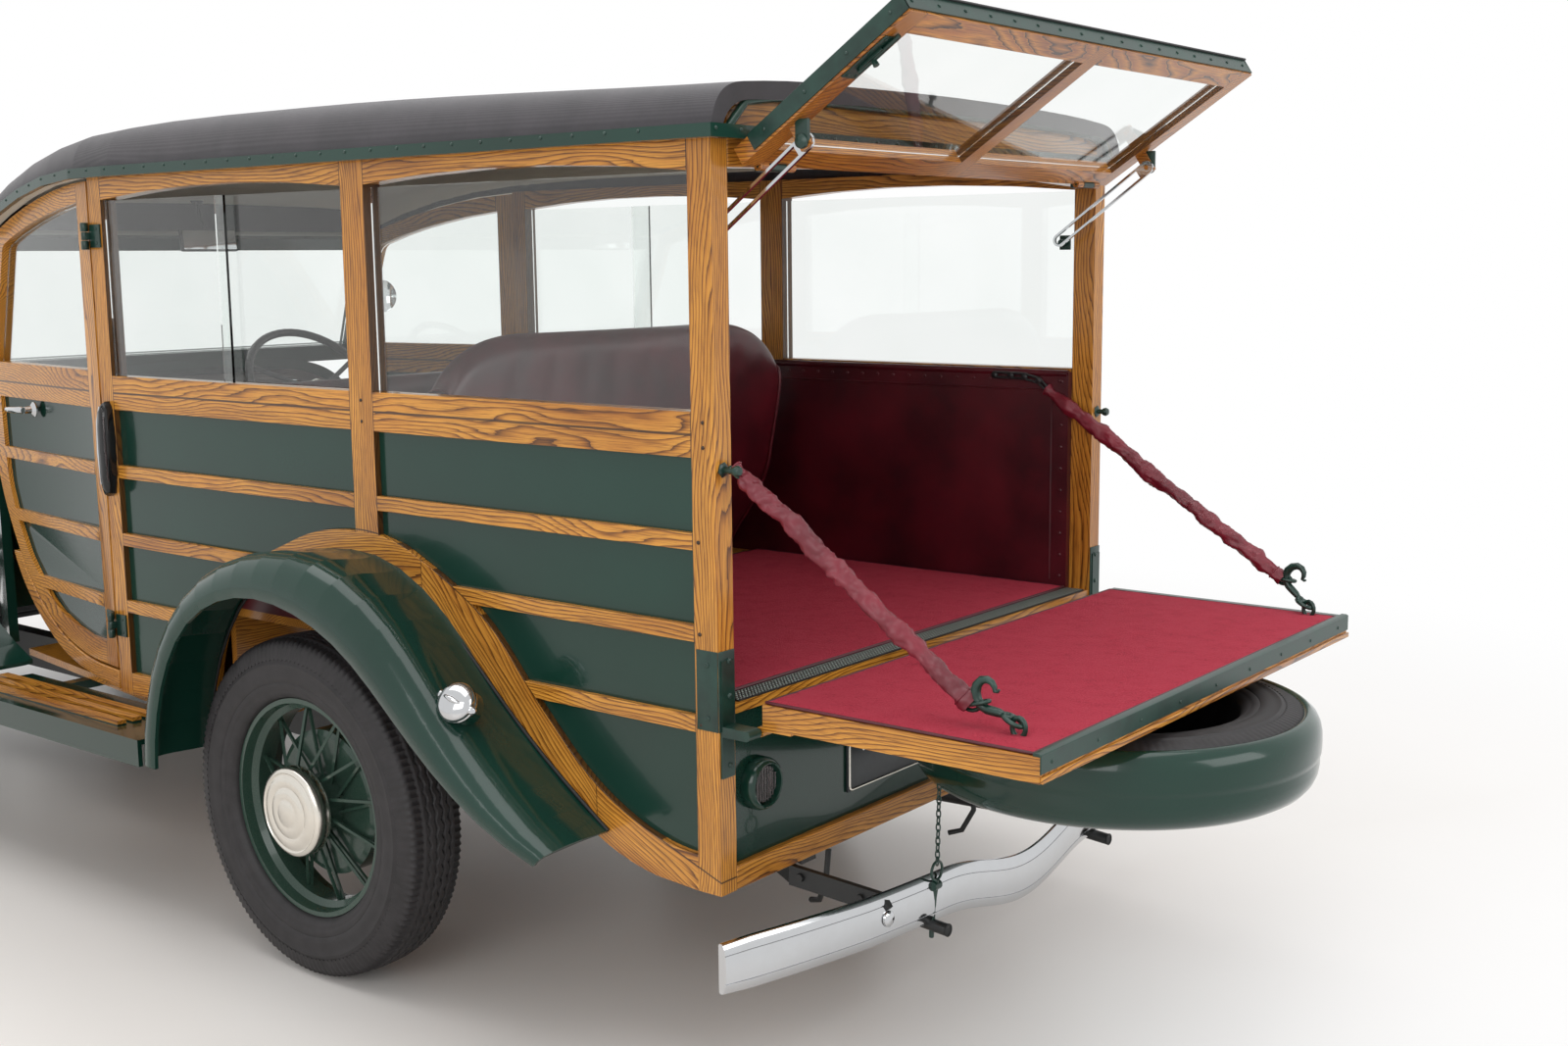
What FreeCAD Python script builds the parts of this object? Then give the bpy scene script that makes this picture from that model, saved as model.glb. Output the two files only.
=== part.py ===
"""Timber-bodied station wagon of the mid nineteen-thirties, as a parametric document.

Millimetres. X runs forward, Y to the car's left, Z up. The model is drawn from the rear axle's
station, and every piece is then placed so that the frame's origin lies on the ground under the
middle of the whole car, spare wheel and bumpers included.
"""

import FreeCAD, Part
import math
import os
from FreeCAD import Placement, Rotation, Vector
from types import SimpleNamespace

doc = FreeCAD.newDocument("StationWagon")

# Driving dimensions
DIMENSIONS = {
    "wheelbase": 2845,
    "rear_track": 1440,
    "front_track": 1410,
    "front_reach": 600,
    "tyre_radius": 355,
    "tyre_width": 148,
    "bead_radius": 228,
    "rim_width": 100,
    "hub_radius": 62,
    "cap_radius": 91,
    "cap_reach": 92,
    "drum_radius": 152,
    "drum_width": 58,
    "spoke_size": 6,
    "spoke_pairs": 12,
    "spindle_radius": 24,
    "kingpin_height": 62,
    "kingpin_radius": 9,
    "steering_arm": 150,
    "arm_drop": 46,
    "tie_pin_radius": 6,
    "spindle_reach": 36,
    "running_fit": 0.05,
    "hinge_radius": 7.5,
    "hinge_pin_radius": 3,
    "bonnet_knuckle": 36,
    "door_axis_side": 684,
    "door_barrel_radius": 7,
    "door_pin_radius": 4,
    "door_knuckle": 28,
    "body_half_width": 675,
    "timber_thickness": 42,
    "panel_thickness": 20,
    "slat_thickness": 13,
    "body_rear": 1029,
    "body_foot": 369,
    "eaves_level": 1650,
    "belt_top": 1204,
    "belt_bottom": 1127,
    "belt_groove": 6,
    "rear_post_width": 52,
    "middle_post_width": 70,
    "middle_post_rear": 150,
    "door_post_rear": 774,
    "door_post_width": 50,
    "cantrail_depth": 42,
    "slat_top_level": 984,
    "slat_pitch": 158,
    "slat_height": 29,
    "cargo_floor_level": 702,
    "front_floor_level": 448,
    "floor_thickness": 18,
    "roof_rise": 112,
    "roof_thickness": 26,
    "roof_overhang": 22,
    "gutter_height": 22,
    "gutter_width": 14,
    "door_gap": 6,
    "door_length": 668,
    "door_taper": 7.6,
    "door_thickness": 40,
    "door_stile": 58,
    "door_hinge_out": 14,
    "cowl_length": 345,
    "cowl_half_width": 420,
    "bonnet_length": 1080,
    "bonnet_half_width": 268,
    "bonnet_top": 1120,
    "bonnet_nose_top": 1035,
    "bonnet_foot": 700,
    "bonnet_sheet": 14,
    "screen_rake": 19,
    "screen_height": 366,
    "tailgate_length": 534.5,
    "tailgate_half_width": 634,
    "tailgate_thickness": 42,
    "tailgate_top": 711,
    "tailgate_hinge_back": 1084,
    "tailgate_hinge_level": 662,
    "liftgate_length": 392,
    "liftgate_half_width": 627,
    "liftgate_thickness": 32,
    "liftgate_rail": 46,
    "liftgate_hinge_back": 1056,
    "liftgate_hinge_level": 1606,
    "liftgate_lift": 32.9,
    "stay_eye_reach": 112,
    "stay_eye_drop": 32,
    "stay_length": 258,
    "stay_side": 600,
    "spare_back": 1420,
    "spare_level": 573,
    "spare_cover_radius": 375,
    "spare_cover_half": 86,
    "spare_cover_sheet": 8,
    "fender_half_width": 860,
    "fender_sheet": 10,
    "running_board_top": 433,
    "running_board_lip": 60,
    "running_board_half_width": 845,
    "bumper_half_width": 805,
    "bumper_height": 92,
    "bumper_thickness": 10,
    "bumper_level": 300,
    "bumper_dip": 42,
    "rear_bumper_back": 1235,
    "front_bumper_level": 400,
    "frame_half_width": 380,
    "rail_width": 46,
    "rail_height": 95,
    "rail_level": 330,
    "glass_thickness": 6,
    "lamp_radius": 98,
    "lamp_level": 835,
    "lamp_side": 405,
    "steering_side": -270,
    "steering_forward": 1270,
    "steering_level": 1085,
    "steering_radius": 215,
    "column_radius": 9,
    "kingpin_side": 612,
    "clearance": 0.3,
    "swing_gap": 6,
}

sheet = doc.addObject("Spreadsheet::Sheet", "Sizes")
for row, (alias, value) in enumerate(DIMENSIONS.items(), start=1):
    sheet.set(f"A{row}", alias)
    sheet.set(f"B{row}", str(value))
    sheet.setAlias(f"B{row}", alias)
doc.recompute()

size = SimpleNamespace(**{alias: float(sheet.get(alias)) for alias in DIMENSIONS})

# Places that follow from the driving dimensions
FRONT_END = size.wheelbase + size.front_reach
REAR_END = -(size.spare_back + size.spare_cover_radius)
ORIGIN_SHIFT = -(FRONT_END + REAR_END) / 2
CAR_PLACE = Placement(Vector(ORIGIN_SHIFT, 0, 0), Rotation())
INNER_HALF_WIDTH = size.body_half_width - size.timber_thickness
DOOR_POST_FRONT = size.door_post_rear + size.door_post_width
DOOR_HINGE_X = DOOR_POST_FRONT + size.door_gap
TAPER = math.radians(size.door_taper)
DOOR_FRONT_X = DOOR_HINGE_X + size.door_length * math.cos(TAPER)
DOOR_FRONT_Y = size.body_half_width - size.door_length * math.sin(TAPER)
COWL_REAR = DOOR_FRONT_X + size.door_gap
COWL_FRONT = COWL_REAR + size.cowl_length
BONNET_FRONT = COWL_FRONT + size.bonnet_length

FRONT_MEMBER = (size.wheelbase - 45, 90)

nodes = []


def keep(obj, name, place=CAR_PLACE):
    """Label a finished piece, place it in the car's frame and list it for export."""
    obj.Label = name
    obj.Placement = place
    nodes.append(obj)
    return obj


def feature(name, shape):
    """A piece whose shape is made with Part's own functions."""
    obj = doc.addObject("Part::Feature", name)
    obj.Shape = shape
    return keep(obj, name, CAR_PLACE.multiply(shape.Placement))


def new_body(name):
    """An empty PartDesign body, placed in the car's frame and listed for export."""
    body = doc.addObject("PartDesign::Body", name)
    return keep(body, name)


def origin_plane(body, role):
    """The body's own origin plane with this role."""
    return next(item for item in body.Origin.OriginFeatures if item.Role == role)


def trace(sketch, path):
    """Draw one closed path: a start point, then points, or ("curve", points) for a smooth run."""
    here = Vector(*path[0], 0)
    start = here
    for step in list(path[1:]) + [path[0]]:
        if step[0] == "curve":
            points = [here] + [Vector(*point, 0) for point in step[1]]
            curve = Part.BSplineCurve()
            curve.interpolate(points)
            sketch.addGeometry(curve, False)
            here = points[-1]
        else:
            there = Vector(*step, 0)
            if there.distanceToPoint(here) > 1e-6:
                sketch.addGeometry(Part.LineSegment(here, there), False)
            here = there
    return start


def sketch_on(body, role, offset, paths, name):
    """A sketch of closed paths on one of the body's origin planes, moved along its normal."""
    sketch = body.newObject("Sketcher::SketchObject", name)
    sketch.AttachmentSupport = (origin_plane(body, role), [""])
    sketch.MapMode = "FlatFace"
    if isinstance(offset, str):
        sketch.setExpression("AttachmentOffset.Base.z", offset)
    else:
        sketch.AttachmentOffset = Placement(Vector(0, 0, offset), Rotation())
    for path in paths:
        trace(sketch, path)
    return sketch


def pad(body, role, offset, paths, length):
    """Pad closed paths from a plane. Text lengths and offsets are bound to the sheet."""
    count = len(body.Group)
    sketch = sketch_on(body, role, offset, paths, f"{body.Name}_outline{count}")
    extrusion = body.newObject("PartDesign::Pad", f"{body.Name}_pad{count}")
    extrusion.Profile = sketch
    if isinstance(length, str):
        extrusion.setExpression("Length", length)
    else:
        extrusion.Length = length
    return extrusion


def side_pad(body, side, outer, paths, thickness, outer_text=None, thickness_text=None):
    """Pad a side view (X, Z) inward from an outer half width, on the left or the right."""
    thick = thickness_text or thickness
    if side > 0:
        offset = f"-({outer_text})" if outer_text else -outer
    else:
        offset = f"{outer_text} - {thickness_text}" if outer_text else outer - thickness
    return pad(body, "XZ_Plane", offset, paths, thick)


def rectangle(low_x, low_z, high_x, high_z):
    """A closed rectangle for a sketch."""
    return [(low_x, low_z), (high_x, low_z), (high_x, high_z), (low_x, high_z)]


def block(low, high):
    """A plain block between two corners."""
    return Part.makeBox(high[0] - low[0], high[1] - low[1], high[2] - low[2], Vector(*low))


def bound_box(name, sizes, place):
    """A Part box whose sizes and corner are bound to the sheet by text."""
    box = doc.addObject("Part::Box", name)
    for key, text in zip(("Length", "Width", "Height"), sizes):
        box.setExpression(key, text)
    for key, text in zip("xyz", place):
        box.setExpression(f"Placement.Base.{key}", text)
    return box


def join(name, parts):
    """Fuse several objects of the document into one piece."""
    fused = doc.addObject("Part::MultiFuse", name)
    fused.Shapes = parts
    return keep(fused, name)


def wire(points):
    """A closed polygon."""
    return Part.makePolygon([Vector(*point) for point in points] + [Vector(*points[0])])


def prism(points, run):
    """A solid drawn out from a closed polygon along a run, whichever way round the polygon is."""
    solid = Part.Face(wire(points)).extrude(Vector(*run))
    if solid.Volume < 0:
        solid = Part.Face(wire(list(reversed(points)))).extrude(Vector(*run))
    return solid


def spline(points):
    """One smooth edge through the points."""
    curve = Part.BSplineCurve()
    curve.interpolate([Vector(*point) for point in points])
    return curve.toShape()


def loft(sections, ruled=False):
    """A solid through closed wires."""
    solid = Part.makeLoft(sections, True, ruled)
    if solid.Volume < 0:
        solid.reverse()
    return solid


def smooth_rows(rows, along, count):
    """Rows of numbers carried smoothly through evenly spaced steps of their first numbers."""
    steps = [0.0]
    for first, second in zip(rows, rows[1:]):
        steps.append(steps[-1] + math.dist(first[:along], second[:along]))
    columns = []
    for column in zip(*rows):
        curve = Part.BSplineCurve()
        points = [Vector(step, value, 0) for step, value in zip(steps, column)]
        curve.interpolate(Points=points, Parameters=steps)
        columns.append(curve)
    places = [steps[-1] * index / (count - 1) for index in range(count)]
    return [tuple(curve.value(place).y for curve in columns) for place in places]


def mirrored(shape):
    """The same shape on the car's other side."""
    return shape.mirror(Vector(0, 0, 0), Vector(0, 1, 0))


def on_side(shape, side):
    """The shape as drawn for the left, or mirrored for the right."""
    return shape if side > 0 else mirrored(shape)


def tube(start, end, radius, bore):
    """A round bar between two points with a bore along it."""
    return rod(start, end, radius).cut(rod(start, end, bore))


def rod(start, end, radius):
    """A round bar between two points."""
    run = Vector(*end) - Vector(*start)
    return Part.makeCylinder(radius, run.Length, Vector(*start), run)


def bar(start, end, width, height):
    """A square-cut bar between two points, its width level."""
    start = Vector(*start)
    end = Vector(*end)
    run = end - start
    across = Vector(0, 0, 1).cross(run)
    if across.Length < 1e-6:
        across = Vector(0, 1, 0)
    across.normalize()
    rise = run.cross(across)
    rise.normalize()
    half = across * (width / 2)
    lift = rise * (height / 2)
    corners = [start - half - lift, start + half - lift, start + half + lift, start - half + lift]
    face = Part.Face(Part.makePolygon(corners + [corners[0]]))
    return face.extrude(run)


SIDES = {"left": 1, "right": -1}


# Wheels and tyres
def tyre_shape():
    """Tyre about the Y axis at the origin: flat tread, round shoulders, bulging walls."""
    half = size.tyre_width / 2
    outer = size.tyre_radius
    bead = size.bead_radius
    wall = (outer + bead) / 2
    profile = [
        (-0.66 * half, bead),
        (0.66 * half, bead),
        (0.93 * half, bead + 26),
        (half, wall),
        (0.97 * half, outer - 32),
        (0.82 * half, outer - 10),
        (0.5 * half, outer - 1.5),
        (0, outer),
        (-0.5 * half, outer - 1.5),
        (-0.82 * half, outer - 10),
        (-0.97 * half, outer - 32),
        (-half, wall),
        (-0.93 * half, bead + 26),
    ]
    face = Part.Face(wire([(0, y, radius) for y, radius in profile]))
    return face.revolve(Vector(0, 0, 0), Vector(0, 1, 0), 360)


def ring(profile):
    """A closed (Y, radius) profile turned about the Y axis."""
    face = Part.Face(wire([(0, y, radius) for y, radius in profile]))
    return face.revolve(Vector(0, 0, 0), Vector(0, 1, 0), 360)


def wheel_shape():
    """Wire wheel about the Y axis, its cap towards +Y."""
    half = size.rim_width / 2
    seat = size.bead_radius - size.clearance
    rim = ring([
        (-half, seat - 10), (-half, seat), (-half + 8, seat), (half - 8, seat), (half, seat),
        (half, seat - 10), (half - 20, seat - 14), (half - 30, seat - 26),
        (-half + 30, seat - 26), (-half + 20, seat - 14),
    ])
    hub_face = size.cap_reach - 26
    bore = size.spindle_radius + size.running_fit
    bottom = size.spindle_reach + 2
    hub = ring([
        (-size.drum_width, bore), (-size.drum_width, size.drum_radius), (-4, size.drum_radius),
        (0, size.drum_radius - 12), (2, size.hub_radius), (hub_face, size.hub_radius),
        (hub_face, size.cap_radius), (hub_face + 6, size.cap_radius),
        (hub_face + 16, size.cap_radius * 0.82), (size.cap_reach - 4, size.cap_radius * 0.45),
        (size.cap_reach, 0.5), (bottom, 0.5), (bottom, bore),
    ])
    shapes = [hub]
    inner_radius = size.hub_radius - 3
    outer_radius = seat - 20
    for index in range(size_count("spoke_pairs")):
        for lean, near, far in ((1, hub_face - 14, 6), (-1, 12, 0)):
            start_angle = 2 * math.pi * index / size.spoke_pairs + (0 if lean > 0 else 0.13)
            end_angle = start_angle + lean * 0.34
            start = (inner_radius * math.cos(start_angle), near, inner_radius * math.sin(start_angle))
            end = (outer_radius * math.cos(end_angle), far, outer_radius * math.sin(end_angle))
            shapes.append(bar(start, end, size.spoke_size, size.spoke_size))
    return rim.fuse(shapes)


def size_count(alias):
    """A whole number from the sheet."""
    return int(round(getattr(size, alias)))


WHEEL_PLACES = {
    "front_left": (size.wheelbase, size.front_track / 2, 1),
    "front_right": (size.wheelbase, -size.front_track / 2, -1),
    "rear_left": (0, size.rear_track / 2, 1),
    "rear_right": (0, -size.rear_track / 2, -1),
}


def make_wheels():
    """Four tyres and four wire wheels, and the spare's tyre under the tailgate."""
    tyre = tyre_shape()
    wheel = wheel_shape()
    for corner, (x, y, side) in WHEEL_PLACES.items():
        tyre_piece = on_side(tyre, side).copy()
        tyre_piece.translate(Vector(x, y, size.tyre_radius))
        feature(f"tyre_{corner}", tyre_piece)
        wheel_piece = on_side(wheel, side).copy()
        wheel_piece.translate(Vector(x, y, size.tyre_radius))
        feature(f"wheel_{corner}", wheel_piece)
    spare = tyre.copy()
    spare.rotate(Vector(0, 0, 0), Vector(1, 0, 0), 90)
    spare.translate(Vector(-size.spare_back, 0, size.spare_level))
    feature("spare_tyre", spare)


# Chassis, axles and engine
def make_chassis():
    """Two side rails with a kick over the rear axle, five cross-members and bumper irons."""
    low = size.rail_level
    high = low + size.rail_height
    rail = [
        (-975, low),
        (-975, low + 70),
        ("curve", [(-700, low + 170), (-350, low + 275), (-100, low + 295), (100, low + 280),
                   (390, high)]),
        (2150, high),
        ("curve", [(2400, high + 25), (2600, high + 100), (2740, high + 135)]),
        (3130, high + 135),
        (3130, low + 170),
        (2740, low + 150),
        ("curve", [(2600, low + 120), (2400, low + 40), (2150, low)]),
        (400, low),
        ("curve", [(120, low + 180), (-100, low + 205), (-350, low + 180), (-700, low + 90)]),
    ]
    body = new_body("chassis_frame")
    outer = size.frame_half_width
    side_pad(body, 1, outer, [rail], size.rail_width, "Sizes.frame_half_width", "Sizes.rail_width")
    side_pad(body, -1, outer, [rail], size.rail_width, "Sizes.frame_half_width", "Sizes.rail_width")
    members = [
        (-970, low + 8, 60, 50),
        (-190, low + 244, 100, 48),
        (900, high - 17, 80, 17),
        (1450, high - 17, 80, 17),
        (FRONT_MEMBER[0], high + 95, FRONT_MEMBER[1], 40),
    ]
    for x, z, length, height in members:
        pad(body, "XZ_Plane", "-Sizes.frame_half_width",
            [rectangle(x, z, x + length, z + height)], "2 * Sizes.frame_half_width")
    return body


def make_axles():
    """Front beam axle and rear axle, each with its transverse spring, and the engine block."""
    front_x = size.wheelbase
    hub_z = size.tyre_radius
    beam_end = size.kingpin_side - 42
    yoke = size.kingpin_height + size.clearance
    drop = 62
    beam = [bar((front_x, -430, hub_z - drop), (front_x, 430, hub_z - drop), 46, 54)]
    for side in (1, -1):
        beam.append(bar((front_x, side * 425, hub_z - drop), (front_x, side * beam_end, hub_z), 44, 52))
        beam.append(bar((front_x, side * 415, hub_z - drop + 20), (front_x, side * 415, hub_z + 60), 30, 30))
        pin_y = side * size.kingpin_side
        beam.append(rod((front_x, pin_y, hub_z - yoke - 10), (front_x, pin_y, hub_z + yoke + 10),
                        size.kingpin_radius))
        beam.append(bar((front_x, side * beam_end, hub_z - yoke - 12),
                        (front_x, side * beam_end, hub_z + yoke + 12), 28, 16))
        for low in (hub_z - yoke - 12, hub_z + yoke):
            beam.append(rod((front_x, pin_y, low), (front_x, pin_y, low + 12), 16))
            beam.append(block((front_x - 14, min(side * beam_end, pin_y), low),
                              (front_x + 14, max(side * beam_end, pin_y), low + 12)))
    leaf = [
        (front_x + 12, -430, hub_z + 58), (front_x + 12, 0, hub_z + 128), (front_x + 12, 430, hub_z + 58),
    ]
    leaf_top = [(x, y, z + 34) for x, y, z in reversed(leaf)]
    edges = [spline(leaf), Part.makeLine(Vector(*leaf[-1]), Vector(*leaf_top[0])), spline(leaf_top),
             Part.makeLine(Vector(*leaf_top[-1]), Vector(*leaf[0]))]
    spring = Part.Face(Part.Wire(edges)).extrude(Vector(-50, 0, 0))
    saddle = block((front_x - 38, -70, hub_z + 130), (front_x + 12, 70, hub_z + 164.7))
    feature("front_axle", beam[0].fuse(beam[1:] + [spring, saddle]))

    drum_side = size.rear_track / 2 - size.drum_width - size.swing_gap
    tube = rod((0, -drum_side, hub_z), (0, drum_side, hub_z), 36)
    shaft_end = size.rear_track / 2 + size.spindle_reach
    shaft = rod((0, -shaft_end, hub_z), (0, shaft_end, hub_z), size.spindle_radius)
    case = Part.makeSphere(128, Vector(0, 0, hub_z))
    torque = Part.makeCone(50, 34, 1480, Vector(90, 0, hub_z), Vector(1, 0, 0.008))
    plates = [rod((0, side * (drum_side - 14), hub_z), (0, side * drum_side, hub_z), 120) for side in (1, -1)]
    spring_back = -168
    leaf = [(spring_back, -520, hub_z + 60), (spring_back, 0, hub_z + 180), (spring_back, 520, hub_z + 60)]
    leaf_top = [(x, y, z + 38) for x, y, z in reversed(leaf)]
    edges = [spline(leaf), Part.makeLine(Vector(*leaf[-1]), Vector(*leaf_top[0])), spline(leaf_top),
             Part.makeLine(Vector(*leaf_top[-1]), Vector(*leaf[0]))]
    spring = Part.Face(Part.Wire(edges)).extrude(Vector(56, 0, 0))
    hangers = [bar((spring_back + 28, side * 500, hub_z + 76), (0, side * 500, hub_z + 10), 30, 30)
               for side in (1, -1)]
    saddle = block((spring_back, -70, hub_z + 160), (spring_back + 56, 70, hub_z + 218.7))
    feature("rear_axle", tube.fuse([shaft, case, torque, spring, saddle] + plates + hangers))

    engine = bound_box("crankcase", ("790", "460", "460"), ("1870", "-230", "440"))
    gearbox = bound_box("gearbox", ("360", "200", "110"), ("1580", "-100", "335"))
    gearbox.setExpression("Placement.Base.z", "Sizes.rail_level + 5")
    join("engine_block", [engine, gearbox])


def make_knuckles():
    """Steering knuckles: kingpin barrel, spindle, backing plate and steering arm."""
    hub_z = size.tyre_radius
    pin = (size.wheelbase, size.kingpin_side)
    plate_y = size.front_track / 2 - size.drum_width - size.swing_gap
    tall = size.kingpin_height
    bore = size.kingpin_radius + size.running_fit
    barrel = rod((pin[0], pin[1], hub_z - tall), (pin[0], pin[1], hub_z + tall), 20)
    shank = rod((pin[0], pin[1], hub_z - tall - 1), (pin[0], pin[1], hub_z + tall + 1), bore)
    spindle_end = size.front_track / 2 + size.spindle_reach
    spindle = rod((pin[0], pin[1], hub_z), (pin[0], spindle_end, hub_z), size.spindle_radius)
    backing = rod((pin[0], plate_y - 8, hub_z), (pin[0], plate_y, hub_z), 118)
    eye = (pin[0] - size.steering_arm, pin[1])
    level = hub_z - size.arm_drop
    arm = bar((pin[0], pin[1], level), (*eye, level), 20, 14)
    arm_end = rod((*eye, level - 7), (*eye, level + 7), 14)
    joint = rod((*eye, level - 8), (*eye, level + 8), size.tie_pin_radius + size.running_fit)
    knuckle = barrel.fuse([spindle, backing, arm, arm_end]).cut([shank, joint])
    for name, side in SIDES.items():
        feature(f"knuckle_{name}", on_side(knuckle, side))
    low = level - 7 - size.clearance
    link = rod((eye[0], -pin[1], low - 11), (eye[0], pin[1], low - 11), 10)
    ends = []
    for side in (1, -1):
        y = side * pin[1]
        ends.append(rod((eye[0], y, low - 22), (eye[0], y, low), 13))
        ends.append(rod((eye[0], y, low - 4), (eye[0], y, level + 9), size.tie_pin_radius))
    feature("tie_rod", link.fuse(ends))


# Floor and timber sides
def make_floor():
    """Stepped floor: front boards, riser ahead of the axle, cargo boards and ribbed sill plate."""
    body = new_body("floor")
    thick = size.floor_thickness
    front = size.front_floor_level
    rear = size.cargo_floor_level
    half = INNER_HALF_WIDTH - size.clearance
    riser = 430
    profile = [
        (-size.body_rear + 2, rear - thick),
        (riser - thick, rear - thick),
        (riser - thick, front - thick),
        (COWL_REAR + 60, front - thick),
        (COWL_FRONT - 20, front + 190),
        (COWL_FRONT - 20, front + 190 + thick),
        (COWL_REAR + 50, front),
        (riser, front),
        (riser, rear),
        (-size.body_rear + 2, rear),
    ]
    board_start = DOOR_POST_FRONT - 26
    pad(body, "XZ_Plane", -half, [profile[:3] + [(board_start, front - thick), (board_start, front)]
        + profile[7:]], 2 * half)
    toe = size.cowl_half_width - 30
    pad(body, "XZ_Plane", -toe, [[(COWL_REAR - 10, front - thick)] + profile[3:7]
        + [(COWL_REAR - 10, front)]], 2 * toe)
    front_half = DOOR_FRONT_Y - size.door_thickness - 8
    pad(body, "XY_Plane", front - thick, [[
        (board_start, -half), (COWL_REAR - 5, -front_half), (COWL_REAR - 5, front_half),
        (board_start, half),
    ]], thick)
    return body


ARCH_FOOT = [
    (450, 600), (392, 700), (310, 778), (200, 838), (80, 866), (-40, 872), (-150, 858), (-230, 832),
    (-300, 790), (-370, 727), (-450, 650), (-540, 570), (-620, 500), (-700, 440), (-790, 397),
    (-880, 375),
]
ARCH_HEAD = [
    (-880, 448), (-784, 488), (-704, 540), (-624, 614), (-558, 680), (-470, 773), (-333, 856),
    (-221, 906), (-139, 922), (-40, 922), (60, 908), (152, 876), (255, 832), (350, 765), (430, 680),
    (500, 590),
]


def arch_between(low_x, high_x):
    """The arch board's upper edge between two stations, from the higher one back to the lower."""
    return [point for point in reversed(ARCH_HEAD) if low_x < point[0] < high_x]


def make_side_frames():
    """Ash frames: posts, cantrail, double belt rail, arch board, sill and half-lapped slats."""
    rear = -size.body_rear
    foot = size.body_foot
    eaves = size.eaves_level - size.clearance
    post = rear + size.rear_post_width
    middle_rear = -size.middle_post_rear
    middle_front = middle_rear + size.middle_post_width
    window_foot = size.belt_top
    window_head = eaves - size.cantrail_depth
    sill_top = size.front_floor_level + 60
    outline = [
        (rear, foot), (rear, eaves), (DOOR_POST_FRONT, eaves), (DOOR_POST_FRONT, sill_top - 50),
        (474, sill_top - 50), ("curve", ARCH_FOOT), (post, foot),
    ]
    head_rise = 14
    quarter_window = [
        (post, window_foot), (middle_rear, window_foot), (middle_rear, window_head - 4),
        ("curve", [((post + middle_rear) / 2, window_head + head_rise), (post, window_head - 8)]),
    ]
    middle_window = [
        (middle_front, window_foot), (size.door_post_rear, window_foot),
        (size.door_post_rear, window_head - 8),
        ("curve", [((middle_front + size.door_post_rear) / 2, window_head + head_rise),
                   (middle_front, window_head - 4)]),
    ]
    quarter_bay = [
        (post, size.belt_bottom), (post, 434), ("curve", ARCH_HEAD[:8]), (middle_rear, 921),
        (middle_rear, size.belt_bottom),
    ]
    middle_bay = [
        (middle_front, size.belt_bottom), (middle_front, 922), ("curve", ARCH_HEAD[9:]),
        (545, sill_top), (size.door_post_rear, sill_top), (size.door_post_rear, size.belt_bottom),
    ]
    for name, side in SIDES.items():
        body = new_body(f"side_frame_{name}")
        side_pad(body, side, size.body_half_width, [outline, quarter_window, middle_window,
                 quarter_bay, middle_bay], size.timber_thickness,
                 "Sizes.body_half_width", "Sizes.timber_thickness")
        starts = [middle_rear, -362, -552]
        ends = [middle_front, 262, 452]
        for index in range(3):
            level = size.slat_top_level - index * size.slat_pitch
            low = level - size.slat_height / 2
            high = level + size.slat_height / 2
            side_pad(body, side, size.body_half_width, [
                rectangle(post, low, starts[index], high),
                rectangle(ends[index], low, size.door_post_rear, high),
            ], size.slat_thickness, "Sizes.body_half_width", "Sizes.slat_thickness")


def make_side_panels():
    """Green panels behind the slats, a quarter and a middle one on each side."""
    rear = -size.body_rear
    post = rear + size.rear_post_width + size.clearance
    middle_rear = -size.middle_post_rear - size.clearance
    middle_front = middle_rear + size.middle_post_width + 2 * size.clearance
    top = size.belt_bottom - size.clearance
    sill_top = size.front_floor_level + 60 + size.clearance
    lift = 0.5
    quarter_edge = [(x, z + lift) for x, z in ARCH_HEAD[:8]]
    middle_edge = [(x, z + lift) for x, z in ARCH_HEAD[9:]]
    quarter = [(post, top), (post, 434 + lift), ("curve", quarter_edge), (middle_rear, 921 + lift),
               (middle_rear, top)]
    door_post = size.door_post_rear - size.clearance
    middle = [(middle_front, top), (middle_front, 922 + lift), ("curve", middle_edge),
              (545, sill_top), (door_post, sill_top), (door_post, top)]
    body = new_body("side_panels")
    outer = size.body_half_width - size.slat_thickness - size.clearance
    for side in SIDES.values():
        side_pad(body, side, outer, [quarter, middle], size.panel_thickness)


ROOF_STATIONS = [
    (-1051, 108, 0), (-700, 119, 0), (-350, 131, 0), (0, 138, 0), (280, 139, 0), (560, 137, 0),
    (800, 124, 0), (1010, 113, -22), (1220, 112, -52), (1430, 104, -78),
]
ROOF_BROW = [(1456, 94, -83), (1470, 76, -86), (1478, 50, -88), (1480, 20, -89)]
ROOF_LINE = smooth_rows(ROOF_STATIONS, 1, 18)


def eaves_at(x):
    """The gutter line's level: straight along the windows, falling ahead of the door post."""
    ahead = max(0.0, x - 800)
    return size.eaves_level - 0.0003 * ahead * ahead


def roof_points(x, rise, narrow, inset, drop):
    """Points across the roof's outside from left to right, or its inside when it is inset."""
    width = size.body_half_width + size.roof_overhang + narrow - inset
    base = eaves_at(x) + size.clearance - drop
    rise = rise - inset
    half_points = [
        (x, width, base), (x, width - 4, base + rise * 0.34), (x, width - 26, base + rise * 0.66),
        (x, width * 0.86, base + rise * 0.85), (x, width * 0.46, base + rise * 0.965),
        (x, 0, base + rise),
    ]
    return half_points + [(px, -py, pz) for px, py, pz in reversed(half_points[:-1])]


def roof_section(*station):
    """One closed cross-section of the roof."""
    points = roof_points(*station)
    return Part.Wire([spline(points), Part.makeLine(Vector(*points[-1]), Vector(*points[0]))])


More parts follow.
